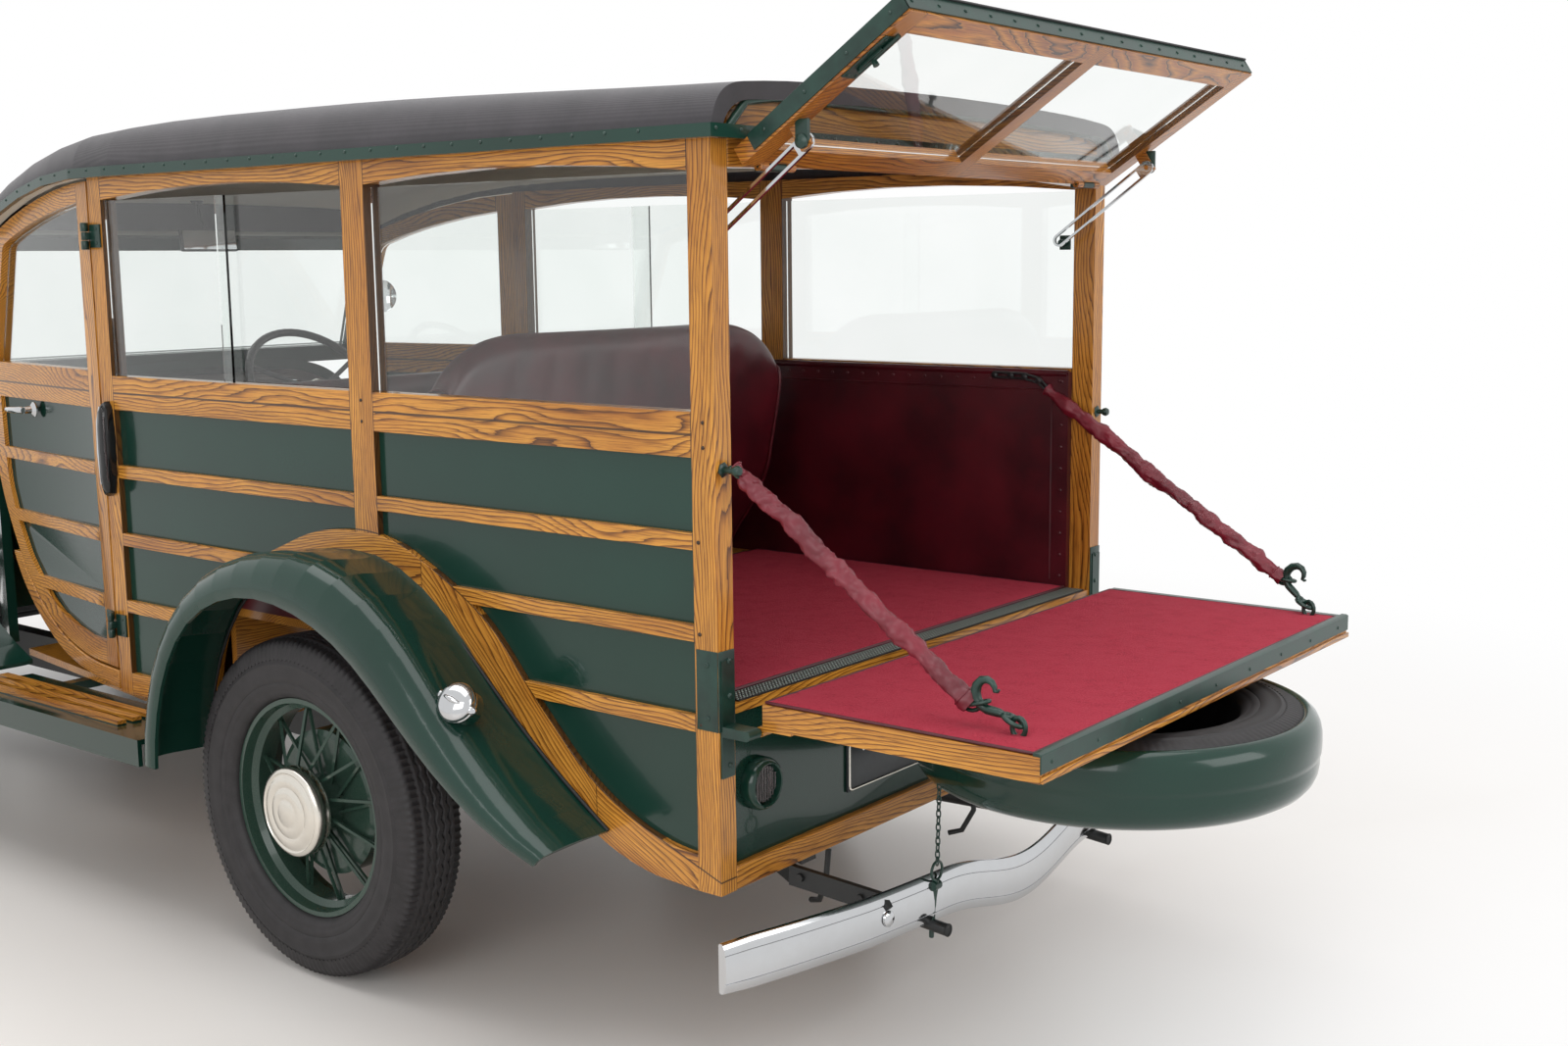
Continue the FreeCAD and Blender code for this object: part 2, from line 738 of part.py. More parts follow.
def make_rear_frame():
    """Bottom rail and rear header of the load opening, with the board that fills the roof's end."""
    rear = -size.body_rear
    half = INNER_HALF_WIDTH - size.clearance
    body = new_body("rear_frame")
    depth = 44
    pad(body, "YZ_Plane", rear, [rectangle(-half, 369, half, 412)], depth)
    eaves = size.eaves_level - size.clearance
    header = [
        (-half, eaves), (-half, size.liftgate_hinge_level - 2),
        ("curve", [(-half / 2, 1617), (0, 1623), (half / 2, 1617),
                   (half, size.liftgate_hinge_level - 2)]),
        (half, eaves),
    ]
    pad(body, "YZ_Plane", rear, [header], depth)
    arc = roof_points(*ROOF_STATIONS[0], size.roof_thickness + 4, 6)[3:-3]
    board = [(half, eaves), (half, eaves + 50), ("curve", [(y, z) for _, y, z in arc]),
             (-half, eaves + 50), (-half, eaves)]
    pad(body, "YZ_Plane", rear, [board], 20)


def make_rear_panel():
    """Green panel below the tailgate, recessed behind the posts."""
    body = new_body("rear_panel")
    half = INNER_HALF_WIDTH - size.clearance
    top = size.cargo_floor_level - size.floor_thickness - size.clearance
    low = 412 + size.clearance
    pad(body, "YZ_Plane", -size.body_rear + 14, [rectangle(-half, low, half, top)],
        "Sizes.panel_thickness")


# Roof
def make_roof():
    """Fabric-covered roof as one arched shell, and the moulding that runs round its edge."""
    whole = ROOF_LINE + ROOF_BROW
    outside = loft([roof_section(*station, 0, 0) for station in whole], True)
    hollow = [station for station in ROOF_LINE if station[0] < 1380] + [(1392, 107, -73)]
    inside = loft([roof_section(*station, size.roof_thickness, 6) for station in hollow], True)
    level = size.eaves_level + size.clearance
    below = block((-1100, -800, level - 60), (780, 800, level))
    feature("roof_cover", outside.cut([inside, below]))
    strips = []
    rear = ROOF_LINE[0][0]
    for side in (1, -1):
        sections = []
        for x, _, narrow in ROOF_LINE:
            outer = size.body_half_width + size.roof_overhang + narrow + size.gutter_width
            inner = outer - size.gutter_width + 1.5
            base = eaves_at(x) - 2
            top = base + size.gutter_height
            at = rear - 10 if x == ROOF_LINE[0][0] else x
            sections.append(wire([(at, side * inner, base), (at, side * outer, base),
                                  (at, side * outer, top), (at, side * inner, top)]))
        strips.append(loft(sections, True))
    half = size.body_half_width + size.roof_overhang + size.gutter_width
    base = eaves_at(rear) - 2
    lower = block((rear - 10, -half, base), (rear - 0.5, half, base + size.gutter_height))
    feature("roof_gutter", strips[0].fuse([strips[1], lower]))


# Cowl, windscreen, bonnet and grille
def arch_section(x, half, foot, shoulder, top, inset=0):
    """A closed arch in a cross-plane: upright sides under a crowned top, or the same inset."""
    half = half - inset
    crown = top - inset
    fall = top - shoulder
    foot = foot - (5 if inset else 0)
    curve = [
        (x, half, shoulder - inset / 2), (x, half * 0.8, crown - fall * 0.28),
        (x, half * 0.42, crown - fall * 0.05), (x, 0, crown),
    ]
    curve = curve + [(px, -py, pz) for px, py, pz in reversed(curve[:-1])]
    left = Vector(x, half, foot)
    right = Vector(x, -half, foot)
    return Part.Wire([
        Part.makeLine(left, Vector(*curve[0])), spline(curve),
        Part.makeLine(Vector(*curve[-1]), right), Part.makeLine(right, left),
    ])


SCREEN_FOOT_X = COWL_REAR + 8
SCREEN_FOOT_Z = 1178
COWL_STATIONS = [
    (COWL_REAR, DOOR_FRONT_Y, 470, 1020, 1185),
    (COWL_REAR + 0.5 * size.cowl_length, (DOOR_FRONT_Y + size.cowl_half_width) / 2 + 12, 480, 1000,
     1160),
    (COWL_FRONT, size.cowl_half_width, 490, 960, size.bonnet_top + 10),
]


def make_cowl():
    """Steel scuttle with its firewall and the raked windscreen frame."""
    outside = loft([arch_section(*station) for station in COWL_STATIONS])
    inside = loft([arch_section(*station, 26) for station in COWL_STATIONS])
    shell = outside.cut(inside)
    half = size.cowl_half_width - 25
    wall = block((COWL_FRONT - 14, -half, 494), (COWL_FRONT, half, 1040))
    rake = math.radians(size.screen_rake)
    foot_half = DOOR_FRONT_Y - 6
    head_half = foot_half - 8
    height = size.screen_height
    rail = 34

    def frame_point(y, up, depth):
        x = SCREEN_FOOT_X - up * math.sin(rake) + depth * math.cos(rake)
        z = SCREEN_FOOT_Z + up * math.cos(rake) + depth * math.sin(rake)
        return Vector(x, y, z)

    def frame_wire(foot, head, low, high):
        corners = [(-foot, low), (foot, low), (head, high), (-head, high)]
        points = [frame_point(y, up, 0) for y, up in corners]
        return Part.makePolygon(points + [points[0]])

    outer = frame_wire(foot_half, head_half, -20, height)
    hole = frame_wire(foot_half - rail, head_half - rail, 30, height - rail)
    depth = frame_point(0, 0, 30) - frame_point(0, 0, 0)
    cutter = Part.Face(hole).extrude(depth * 3)
    cutter.translate(depth * -1)
    frame = Part.Face(outer).extrude(depth).cut(cutter)
    line = rod(bonnet_line(COWL_FRONT - 8), bonnet_line(BONNET_FRONT - size.clearance),
               size.hinge_pin_radius)
    feature("cowl", shell.fuse([wall, frame, line]))
    return frame_point, foot_half - rail, head_half - rail, 30, height - rail


def make_glass(screen):
    """Side windows, with two sliding panes in each middle bay, and the windscreen."""
    frame_point, foot, head, low, high = screen
    gap = size.clearance
    corners = [(-foot + gap, low + gap), (foot - gap, low + gap), (head - gap, high - gap),
               (-head + gap, high - gap)]
    points = [frame_point(y, up, 12) for y, up in corners]
    pane = Part.Face(Part.makePolygon(points + [points[0]]))
    shapes = [pane.extrude(frame_point(0, 0, 12 + size.glass_thickness) - frame_point(0, 0, 12))]
    post = -size.body_rear + size.rear_post_width + gap
    middle_rear = -size.middle_post_rear - gap
    middle_front = middle_rear + size.middle_post_width + 2 * gap
    door_post = size.door_post_rear - gap
    foot_z = size.belt_top + gap
    head_z = size.eaves_level - size.cantrail_depth - 10
    centre = size.body_half_width - size.timber_thickness / 2
    thick = size.glass_thickness
    half_lap = (middle_front + door_post) / 2
    for side in (1, -1):
        panes = [
            (post, middle_rear, centre),
            (middle_front, half_lap + 25, centre - 8),
            (half_lap - 25, door_post, centre + 8),
        ]
        for start, end, y in panes:
            low_y = side * y - thick / 2
            shapes.append(block((start, low_y, foot_z), (end, low_y + thick, head_z)))
    feature("window_glass", Part.makeCompound(shapes))


def bonnet_section(x, half, foot, shoulder, top, inset=0):
    """One bonnet half's cross-section, from the centre hinge out and down to its foot."""
    gap = 5.6 if not inset else -4
    crown = top - inset
    fall = top - shoulder
    side = half - inset
    low = foot - (5 if inset else 0)
    curve = [(x, gap, crown), (x, side * 0.45, crown - fall * 0.08),
             (x, side * 0.85, crown - fall * 0.42), (x, side, shoulder - inset / 2)]
    outer_foot = Vector(x, side, low)
    inner_foot = Vector(x, gap, low)
    return Part.Wire([
        spline(curve), Part.makeLine(Vector(*curve[-1]), outer_foot),
        Part.makeLine(outer_foot, inner_foot), Part.makeLine(inner_foot, Vector(*curve[0])),
    ])


def bonnet_line(x):
    """A point of the centre hinge's axis, on the bonnet's top."""
    start = COWL_FRONT + size.swing_gap
    share = (x - start) / (BONNET_FRONT - size.swing_gap - start)
    return (x, 0, size.bonnet_top + share * (size.bonnet_nose_top - size.bonnet_top))


def make_bonnet():
    """Two bonnet tops hinged along the centre line, above fixed side panels."""
    start = COWL_FRONT + size.swing_gap
    end = BONNET_FRONT - size.swing_gap
    rear = (size.cowl_half_width - 4, 940, size.bonnet_top)
    front = (size.bonnet_half_width, 900, size.bonnet_nose_top)
    lip = 12
    outside = loft([bonnet_section(x, half, shoulder - lip, shoulder, top)
                    for x, (half, shoulder, top) in ((start, rear), (end, front))])
    inside = loft([bonnet_section(x, half, shoulder - lip, shoulder, top, size.bonnet_sheet)
                   for x, (half, shoulder, top) in ((start, rear), (end, front))])
    panel = outside.cut(inside)
    for name, side in SIDES.items():
        leaves = []
        for share in (0.06, 0.48, 0.88):
            x = start + share * (end - start) + (0 if side > 0 else size.bonnet_knuckle + 3)
            back = bonnet_line(x)
            ahead = bonnet_line(x + size.bonnet_knuckle)
            leaves.append(tube(back, ahead, 5, size.hinge_pin_radius + size.running_fit))
            leaves.append(bar((back[0], side * 6, back[2] - 1.8), (ahead[0], side * 6, ahead[2] - 1.8),
                              5.4, 2.6))
        feature(f"bonnet_{name}", on_side(panel, side).fuse(leaves))

    sides = []
    back = COWL_FRONT + size.clearance
    nose = BONNET_FRONT - size.clearance
    for side in (1, -1):
        rings = []
        for x, (half, shoulder, _), foot in ((back, rear, size.bonnet_foot - 60),
                                             (nose, front, size.bonnet_foot)):
            top = shoulder - lip - size.swing_gap
            rings.append(wire([(x, side * (half - size.bonnet_sheet), foot), (x, side * half, foot),
                               (x, side * half, top), (x, side * (half - size.bonnet_sheet), top)]))
        sides.append(loft(rings, True))
    feature("bonnet_sides", Part.makeCompound(sides))


def grille_section(z, half, nose, back):
    """A level section of the grille shell: flat back, bowed sides, V nose."""
    outer = [(back, -half, z), (back + (nose - back) * 0.45, -half * 0.86, z), (nose, 0, z),
             (back + (nose - back) * 0.45, half * 0.86, z), (back, half, z)]
    return wire(outer)


def make_grille():
    """Radiator shell with a V nose and upright bars cut into it."""
    back = BONNET_FRONT
    sections = [
        grille_section(430, 150, back + 330, back + 120),
        grille_section(560, 205, back + 305, back + 60),
        grille_section(760, 255, back + 240, back),
        grille_section(930, size.bonnet_half_width - 6, back + 160, back),
        grille_section(1015, size.bonnet_half_width * 0.7, back + 96, back),
        grille_section(1036, size.bonnet_half_width * 0.35, back + 60, back),
    ]
    shell = loft(sections, True)
    slots = []
    for index in range(9):
        for side in (1, -1):
            y = side * (16 + index * 22)
            top = 985 - index * 9
            low = 480 + index * 18
            slot = block((back + 36, y - 6, low), (back + 400, y + 6, top))
            slots.append(slot)
    core = loft([
        grille_section(400, 110, back + 296, back + 100),
        grille_section(760, 215, back + 206, back),
        grille_section(1040, 150, back + 50, back),
    ], True)
    cutters = [slot.cut(core) for slot in slots]
    foot = block((FRONT_MEMBER[0] + FRONT_MEMBER[1] + size.clearance, -120, 525), (back + 90, 120, 555))
    feature("grille", shell.cut(cutters).fuse(foot))


# Doors
def make_doors():
    """Rear-hinged front doors, each a timber frame with its panel, slats and window cut."""
    length = size.door_length
    stile = size.door_stile
    outline = [
        (0, 514), (0, 1643),
        ("curve", [(170, 1630), (300, 1608), (430, 1578), (520, 1551)]),
        ("curve", [(542, 1538), (552, 1516)]),
        (length, size.belt_top - 20), (length, 1000),
        ("curve", [(650, 905), (600, 800), (520, 690), (430, 615), (330, 560), (200, 524), (60, 514)]),
    ]
    window = [
        (stile, size.belt_top + 10), (length - 48, size.belt_top + 10), (528, 1486),
        ("curve", [(520, 1500), (504, 1510)]),
        ("curve", [(430, 1532), (300, 1562), (170, 1584)]), (stile, 1597),
    ]
    panel_gap = size.slat_thickness
    recess = [
        (stile, size.belt_bottom), (stile, 566),
        ("curve", [(200, 574), (330, 608), (420, 660), (500, 728), (560, 815), (598, 905), (610, 1000)]),
        (614, size.belt_bottom),
    ]
    for name, side in SIDES.items():
        body = new_body(f"door_{name}")
        thickness = size.door_thickness
        turn = Rotation(Vector(0, 0, 1), -side * size.door_taper)
        edge = Vector(DOOR_HINGE_X + ORIGIN_SHIFT, side * size.body_half_width, 0)
        body.Placement = Placement(edge, turn)
        offset = 0 if side > 0 else -thickness
        pad(body, "XZ_Plane", offset, [outline, window], thickness)
        sketch = sketch_on(body, "XZ_Plane", 0, [recess], f"door_{name}_recess")
        pocket = body.newObject("PartDesign::Pocket", f"door_{name}_pocket")
        pocket.Profile = sketch
        pocket.Length = panel_gap
        pocket.Reversed = side < 0
        doc.recompute()
        ends = [612, 576, 470]
        for index in range(3):
            level = size.slat_top_level - index * size.slat_pitch
            low = level - size.slat_height / 2
            high = level + size.slat_height / 2
            slat_offset = 0 if side > 0 else -panel_gap
            pad(body, "XZ_Plane", slat_offset, [rectangle(stile, low, ends[index], high)], panel_gap)
        glass = Part.Face(wire([
            (stile + 0.3, 0, size.belt_top + 10.3), (length - 48.6, 0, size.belt_top + 10.3),
            (527.4, 0, 1486), (519, 0, 1498), (503, 0, 1507), (430, 0, 1529), (300, 0, 1559),
            (170, 0, 1581), (stile + 0.3, 0, 1594),
        ])).extrude(Vector(0, -size.glass_thickness, 0))
        glass.translate(Vector(0, -thickness / 2 + size.glass_thickness / 2, 0))
        pane = on_side(glass, side)
        obj = feature(f"door_glass_{name}", pane)
        obj.Placement = Placement(edge, turn).multiply(pane.Placement)


def make_door_sills():
    """Curved ash sills under the doors, from the door posts to the foot of the scuttle."""
    upper = [(60, 507), (200, 517), (330, 552), (430, 606), (520, 680), (560, 728)]
    lower = [(600, 728), (560, 668), (470, 586), (380, 532), (290, 497), (160, 474), (0, 462)]
    edges = [
        Part.makeLine(Vector(0, 0, 462), Vector(0, 0, 507)),
        Part.makeLine(Vector(0, 0, 507), Vector(60, 0, 507)),
        spline([(x, 0, z) for x, z in upper]),
        Part.makeLine(Vector(560, 0, 728), Vector(600, 0, 728)),
        spline([(x, 0, z) for x, z in lower]),
    ]
    board = Part.Face(Part.Wire(edges)).extrude(Vector(0, -size.door_thickness, 0))
    sills = []
    for side in (1, -1):
        sill = on_side(board, side).copy()
        sill.rotate(Vector(0, 0, 0), Vector(0, 0, 1), -side * size.door_taper)
        sill.translate(Vector(DOOR_HINGE_X, side * size.body_half_width, 0))
        sills.append(sill)
    feature("door_sills", Part.makeCompound(sills))


# Tailgate, spare wheel and liftgate
def make_tailgate():
    """Lowered tailgate: ash frame and boards in one slab, with its hinge knuckles."""
    start = -(size.tailgate_hinge_back + 6.5)
    end = start - size.tailgate_length
    half = size.tailgate_half_width
    top = size.tailgate_top
    foot = top - size.tailgate_thickness
    slab = block((end, -half, foot), (start, half, top))
    knuckles = []
    bores = []
    line = (-size.tailgate_hinge_back, size.tailgate_hinge_level)
    for side in (1, -1):
        low = side * (half - 60)
        high = side * half
        knuckles.append(rod((line[0], low, line[1]), (line[0], high, line[1]), 9))
        knuckles.append(block((start - 60, min(low, high), foot - 4), (start + 4, max(low, high), foot + 2)))
        bores.append(rod((line[0], side * 590, line[1]), (line[0], high + side, line[1]), GATE_BORE))
    feature("tailgate", slab.fuse(knuckles).cut(bores))


def make_spare_cover():
    """Pressed cover round the spare tyre, open above, with the carrier that hangs it."""
    outer = size.spare_cover_radius
    half = size.spare_cover_half
    sheet_thick = size.spare_cover_sheet
    profile = [
        (outer - 37, half - 7), (outer - 7, 54), (outer, 14), (outer - 1, -14), (outer - 6, -52),
        (outer - 24, -half + 8), (outer - 58, -half), (60, -half), (60, -half + sheet_thick),
        (outer - 60, -half + sheet_thick), (outer - 30, -half + sheet_thick + 8),
        (outer - 14, -50), (outer - 9, -14), (outer - 8.5, 12), (outer - 17, 49),
        (outer - 45, half - 11),
    ]
    face = Part.Face(wire([(radius, 0, z) for radius, z in profile]))
    cover = face.revolve(Vector(0, 0, 0), Vector(0, 0, 1), 360)
    tailgate_foot = size.tailgate_top - size.tailgate_thickness
    rise = tailgate_foot - size.spare_level - size.clearance
    boss = Part.makeCylinder(72, rise + half, Vector(0, 0, -half))
    arm = block((-150, -60, rise - 10), (250, 60, rise))
    shape = cover.fuse([boss, arm])
    shape.translate(Vector(-size.spare_back, 0, size.spare_level))
    feature("spare_cover", shape)


def tilted(shape, angle, x, z):
    """Turn a shape drawn along -X about the Y axis so that its far end rises, then move it."""
    shape.rotate(Vector(0, 0, 0), Vector(0, 1, 0), angle)
    shape.translate(Vector(x, 0, z))
    return shape


STAY_BORE = 5
HINGE_SIDE = 540


def make_liftgate():
    """Raised liftgate: four rails and a centre bar, two panes, and the slotted stays."""
    length = size.liftgate_length
    half = size.liftgate_half_width
    thick = size.liftgate_thickness
    rail = size.liftgate_rail
    frame = block((-length, -half, 0), (0, half, thick))
    for side in (1, -1):
        low = min(side * 22, side * (half - rail))
        high = max(side * 22, side * (half - rail))
        frame = frame.cut(block((-length + rail, low, -1), (-rail, high, thick + 1)))
    lugs = []
    eye = (-size.stay_eye_reach, -size.stay_eye_drop)
    for side in (1, -1):
        near = side * (size.stay_side + 3.5)
        far = side * (size.stay_side + 9.5)
        lugs.append(block((eye[0] - 12, min(near, far), eye[1] - 12), (eye[0] + 12, max(near, far), 4)))
        pin_start = (eye[0], side * (size.stay_side - 5), eye[1])
        lugs.append(rod(pin_start, (eye[0], far, eye[1]), STAY_BORE - size.running_fit))
        for low, high in ((HINGE_SIDE - 48, HINGE_SIDE - 24), (HINGE_SIDE + 24, HINGE_SIDE + 48)):
            frame = frame.cut(rod((0, side * (HINGE_SIDE - 26), 0), (0, side * (HINGE_SIDE + 26), 0), 9))
            lugs.append(tube((0, side * low, 0), (0, side * high, 0), size.hinge_radius,
                             size.hinge_pin_radius + size.running_fit))
    frame = frame.cut([rod((0, side * (HINGE_SIDE - 49), 0), (0, side * (HINGE_SIDE + 49), 0),
                           size.hinge_pin_radius + size.running_fit) for side in (1, -1)])
    frame = frame.fuse(lugs)
    place = (-size.liftgate_hinge_back, size.liftgate_hinge_level)
    feature("liftgate", tilted(frame, size.liftgate_lift, *place))
    gap = size.clearance
    panes = []
    for side in (1, -1):
        low = min(side * (22 + gap), side * (half - rail - gap))
        high = max(side * (22 + gap), side * (half - rail - gap))
        panes.append(block((-length + rail + gap, low, 12), (-rail - gap, high, 12 + size.glass_thickness)))
    feature("liftgate_glass", tilted(Part.makeCompound(panes), size.liftgate_lift, *place))
    make_stays()


def make_rear_hinges():
    """Hinge plates on the rear posts for the tailgate, and on the header for the liftgate."""
    face = -size.body_rear
    gate_x = -size.tailgate_hinge_back
    gate_z = size.tailgate_hinge_level
    lift_x = -size.liftgate_hinge_back
    lift_z = size.liftgate_hinge_level
    pin = size.hinge_pin_radius
    shapes = []
    for side in (1, -1):
        plate = block((face - 5, 640, 579), (face, 672, 785))
        arm = block((gate_x, 640, gate_z - 9), (face, 672, gate_z + 9))
        eye = rod((gate_x, 640, gate_z), (gate_x, 672, gate_z), 9)
        gate_pin = rod((gate_x, 592, gate_z), (gate_x, 672, gate_z), GATE_BORE - size.running_fit)
        shapes.append(on_side(plate.fuse([arm, eye, gate_pin]), side))
        plate = block((face - 5, HINGE_SIDE - 22, lift_z - 4), (face, HINGE_SIDE + 22, lift_z + 40))
        arm = block((lift_x, HINGE_SIDE - 22, lift_z - 7), (face, HINGE_SIDE + 22, lift_z - 1))
        eye = rod((lift_x, HINGE_SIDE - 22, lift_z), (lift_x, HINGE_SIDE + 22, lift_z),
                  size.hinge_radius)
        lift_pin = rod((lift_x, HINGE_SIDE - 46, lift_z), (lift_x, HINGE_SIDE + 46, lift_z), pin)
        shapes.append(on_side(plate.fuse([arm, eye, lift_pin]), side))
    feature("rear_hinges", Part.makeCompound(shapes))


GATE_BORE = 5


def stay_eye():
    """The stays' upper eye, worked out from the liftgate's lift."""
    lift = math.radians(size.liftgate_lift)
    x = -size.liftgate_hinge_back - size.stay_eye_reach * math.cos(lift) + size.stay_eye_drop * math.sin(lift) * -1
    z = size.liftgate_hinge_level + size.stay_eye_reach * math.sin(lift) - size.stay_eye_drop * math.cos(lift)
    return x, z


def make_stays():
    """Slotted liftgate stays, one on each side, hung from the liftgate's lugs."""
    eye_x, eye_z = stay_eye()
    fall = math.radians(35.7)
    half_slot = 9
    arms = []
    for side in (1, -1):
        y = side * size.stay_side
        arm = block((0, y - 3, -half_slot - 5), (size.stay_length, y + 3, half_slot + 5))
        arm = arm.fuse([rod((0, y - 3, 0), (0, y + 3, 0), half_slot + 5),
                        rod((size.stay_length, y - 3, 0), (size.stay_length, y + 3, 0), half_slot + 5)])
        slot = block((24, y - 4, -half_slot), (size.stay_length, y + 4, half_slot))
        slot = slot.fuse(rod((size.stay_length, y - 4, 0), (size.stay_length, y + 4, 0), half_slot))
        arm = arm.cut([slot, rod((0, y - 4, 0), (0, y + 4, 0), STAY_BORE)])
        arm.rotate(Vector(0, 0, 0), Vector(0, 1, 0), math.degrees(fall))
        arm.translate(Vector(eye_x, 0, eye_z))
        arms.append(arm)
    feature("liftgate_stays", Part.makeCompound(arms))


# Fenders and running boards
def fender_section(edge, ridge, seam_share, seam_y, ridge_y, edge_y, inset=0):
    """A closed cross-section in the plane of Y and the line from the lip up to the ridge."""
    foot = Vector(edge[0], 0, edge[1])
    rise = Vector(ridge[0], 0, ridge[1]) - foot
    up = Vector(rise)
    up.normalize()
    past = 5 if inset else 0

    def at(share, y, shift=0.0):
        return tuple(foot + rise * share + up * shift + Vector(0, y, 0))

    crown = [
        at(seam_share, seam_y - past, -inset),
        at((seam_share + 1) / 2, seam_y + 0.55 * (ridge_y - seam_y), 5 - inset),
        at(1, ridge_y - 0.4 * inset, -inset),
        at(0.66, edge_y - 3 - inset),
        at(0, edge_y - inset, -past),
    ]
    base = Vector(*at(min(seam_share, 0) - 0.1, seam_y - past, -past))
    return Part.Wire([
        spline(crown), Part.makeLine(Vector(*crown[-1]), base), Part.makeLine(base, Vector(*crown[0])),
    ])


def resample(stations, count):
    """The same fender sweep through evenly spaced stations."""
    rows = smooth_rows([(*edge, *ridge, *rest) for edge, ridge, *rest in stations], 4, count)
    return [(tuple(row[:2]), tuple(row[2:4]), *row[4:]) for row in rows]


def largest(shape):
    """The biggest solid of a cut shape."""
    return max(shape.Solids, key=lambda solid: solid.Volume)


def fender(stations):
    """A hollow fender, open below and at both ends, and its outside with a clearance round it."""
    stations = resample(stations, 24)
    outside = loft([fender_section(*station) for station in stations], True)
    inside = loft([fender_section(*station, size.fender_sheet) for station in stations], True)
    swollen = loft([fender_section(*station, -size.clearance) for station in stations], True)
    return outside.cut(inside), swollen


REAR_FENDER_TOE = 472
FRONT_FENDER_HEEL = 1296


def make_fenders():
    """Swept rear and front fenders, drawn for the left and mirrored."""
    seam = size.body_half_width + size.clearance
    outer = size.fender_half_width
    ridge = outer - 28
    rear, rear_swollen = fender([
        ((405, 385), (REAR_FENDER_TOE, 392), 1.0, seam, ridge, outer - 4),
        ((372, 543), (430, 572), 1.0, seam, ridge, outer - 2),
        ((252, 720), (290, 774), 1.0, seam, ridge, outer),
        ((142, 781), (164, 847), 1.0, seam, ridge, outer),
        ((0, 803), (0, 884), 0.96, seam, ridge, outer),
        ((-139, 780), (-168, 870), 1.04, seam, ridge, outer),
        ((-270, 720), (-326, 792), 1.02, seam, ridge, outer),
        ((-420, 602), (-468, 662), 1.0, seam, ridge, outer),
        ((-575, 488), (-612, 532), 1.1, seam, ridge - 4, outer - 4),
        ((-735, 408), (-762, 434), 1.1, seam, ridge - 18, outer - 22),
    ])
    feature("rear_fender_left", rear)
    feature("rear_fender_right", mirrored(rear))
    front, front_swollen = fender([
        ((FRONT_FENDER_HEEL, 383), (FRONT_FENDER_HEEL, 450), 1.2, 636, 812, 846),
        ((1560, 388), (1560, 510), 1.3, 598, 808, 852),
        ((1900, 410), (1860, 650), 1.0, 548, 800, 858),
        ((2230, 430), (2150, 800), 0.86, 470, 796, outer),
        ((2440, 500), (2390, 866), 0.72, 420, 796, outer),
        ((2520, 640), (2500, 884), 0.50, 396, 796, outer),
        ((2660, 750), (2655, 895), 0.10, 380, 796, outer),
        ((2845, 795), (2850, 896), -0.40, 366, 796, outer),
        ((3040, 748), (3085, 850), -0.30, 352, 790, outer - 4),
        ((3175, 615), (3235, 710), 0.10, 344, 770, outer - 14),
        ((3215, 480), (3290, 545), 0.30, 400, 750, outer - 28),
        ((3216, 400), (3300, 425), 0.35, 420, 730, outer - 40),
    ])
    feature("front_fender_left", front)
    feature("front_fender_right", mirrored(front))
    return rear_swollen, front_swollen


def make_running_boards():
    """Running boards between the fenders, each with three raised ash strips."""
    top = size.running_board_top
    inner = size.body_half_width + 2
    outer = size.running_board_half_width
    start = REAR_FENDER_TOE + 14
    end = FRONT_FENDER_HEEL - size.clearance
    rail_face = size.frame_half_width + size.clearance
    body = new_body("running_boards")
    for side in SIDES.values():
        section = [
            (side * 640, top - 6), (side * outer, top), (side * outer, top - size.running_board_lip),
            (side * (outer - 10), top - size.running_board_lip), (side * (outer - 10), top - 12),
            (side * 640, top - 18),
        ]
        pad(body, "YZ_Plane", start, [section], end - start)
        for x in (start + 210, end - 150):
            pad(body, "YZ_Plane", x, [rectangle(
                min(side * rail_face, side * 700), top - 36,
                max(side * rail_face, side * 700), top - 14)], 34)
        for index in range(3):
            y = inner + 26 + index * 38
            low = top - 8
            pad(body, "YZ_Plane", start + 150, [rectangle(
                min(side * y, side * (y + 22)), low, max(side * y, side * (y + 22)), top + 9)],
                end - start - 150)


# Bumpers and lamps
def bumper_shape(x, level, facing):
    """A curved bar with a dip at its middle, its irons and its mounting tubes."""
    half = size.bumper_half_width
    tall = size.bumper_height
    thick = size.bumper_thickness
    dip = size.bumper_dip
    bow = 100
    stations = [-1.0, -0.8, -0.55, -0.3, -0.16, -0.06, 0.0, 0.06, 0.16, 0.3, 0.55, 0.8, 1.0]
    sections = []
    for station in stations:
        y = station * half
        plan = x - facing * bow * station * station
        centre = level - dip * max(0.0, 1 - abs(station) / 0.2) + 22 * max(0.0, abs(station) - 0.6)
        sections.append(wire([
            (plan, y, centre - tall / 2), (plan + facing * thick, y, centre - tall / 6),
            (plan + facing * thick, y, centre + tall / 6), (plan, y, centre + tall / 2),
            (plan - facing * thick * 0.6, y, centre + tall / 2),
            (plan - facing * thick * 0.6, y, centre - tall / 2),
        ]))
    return loft(sections, True)


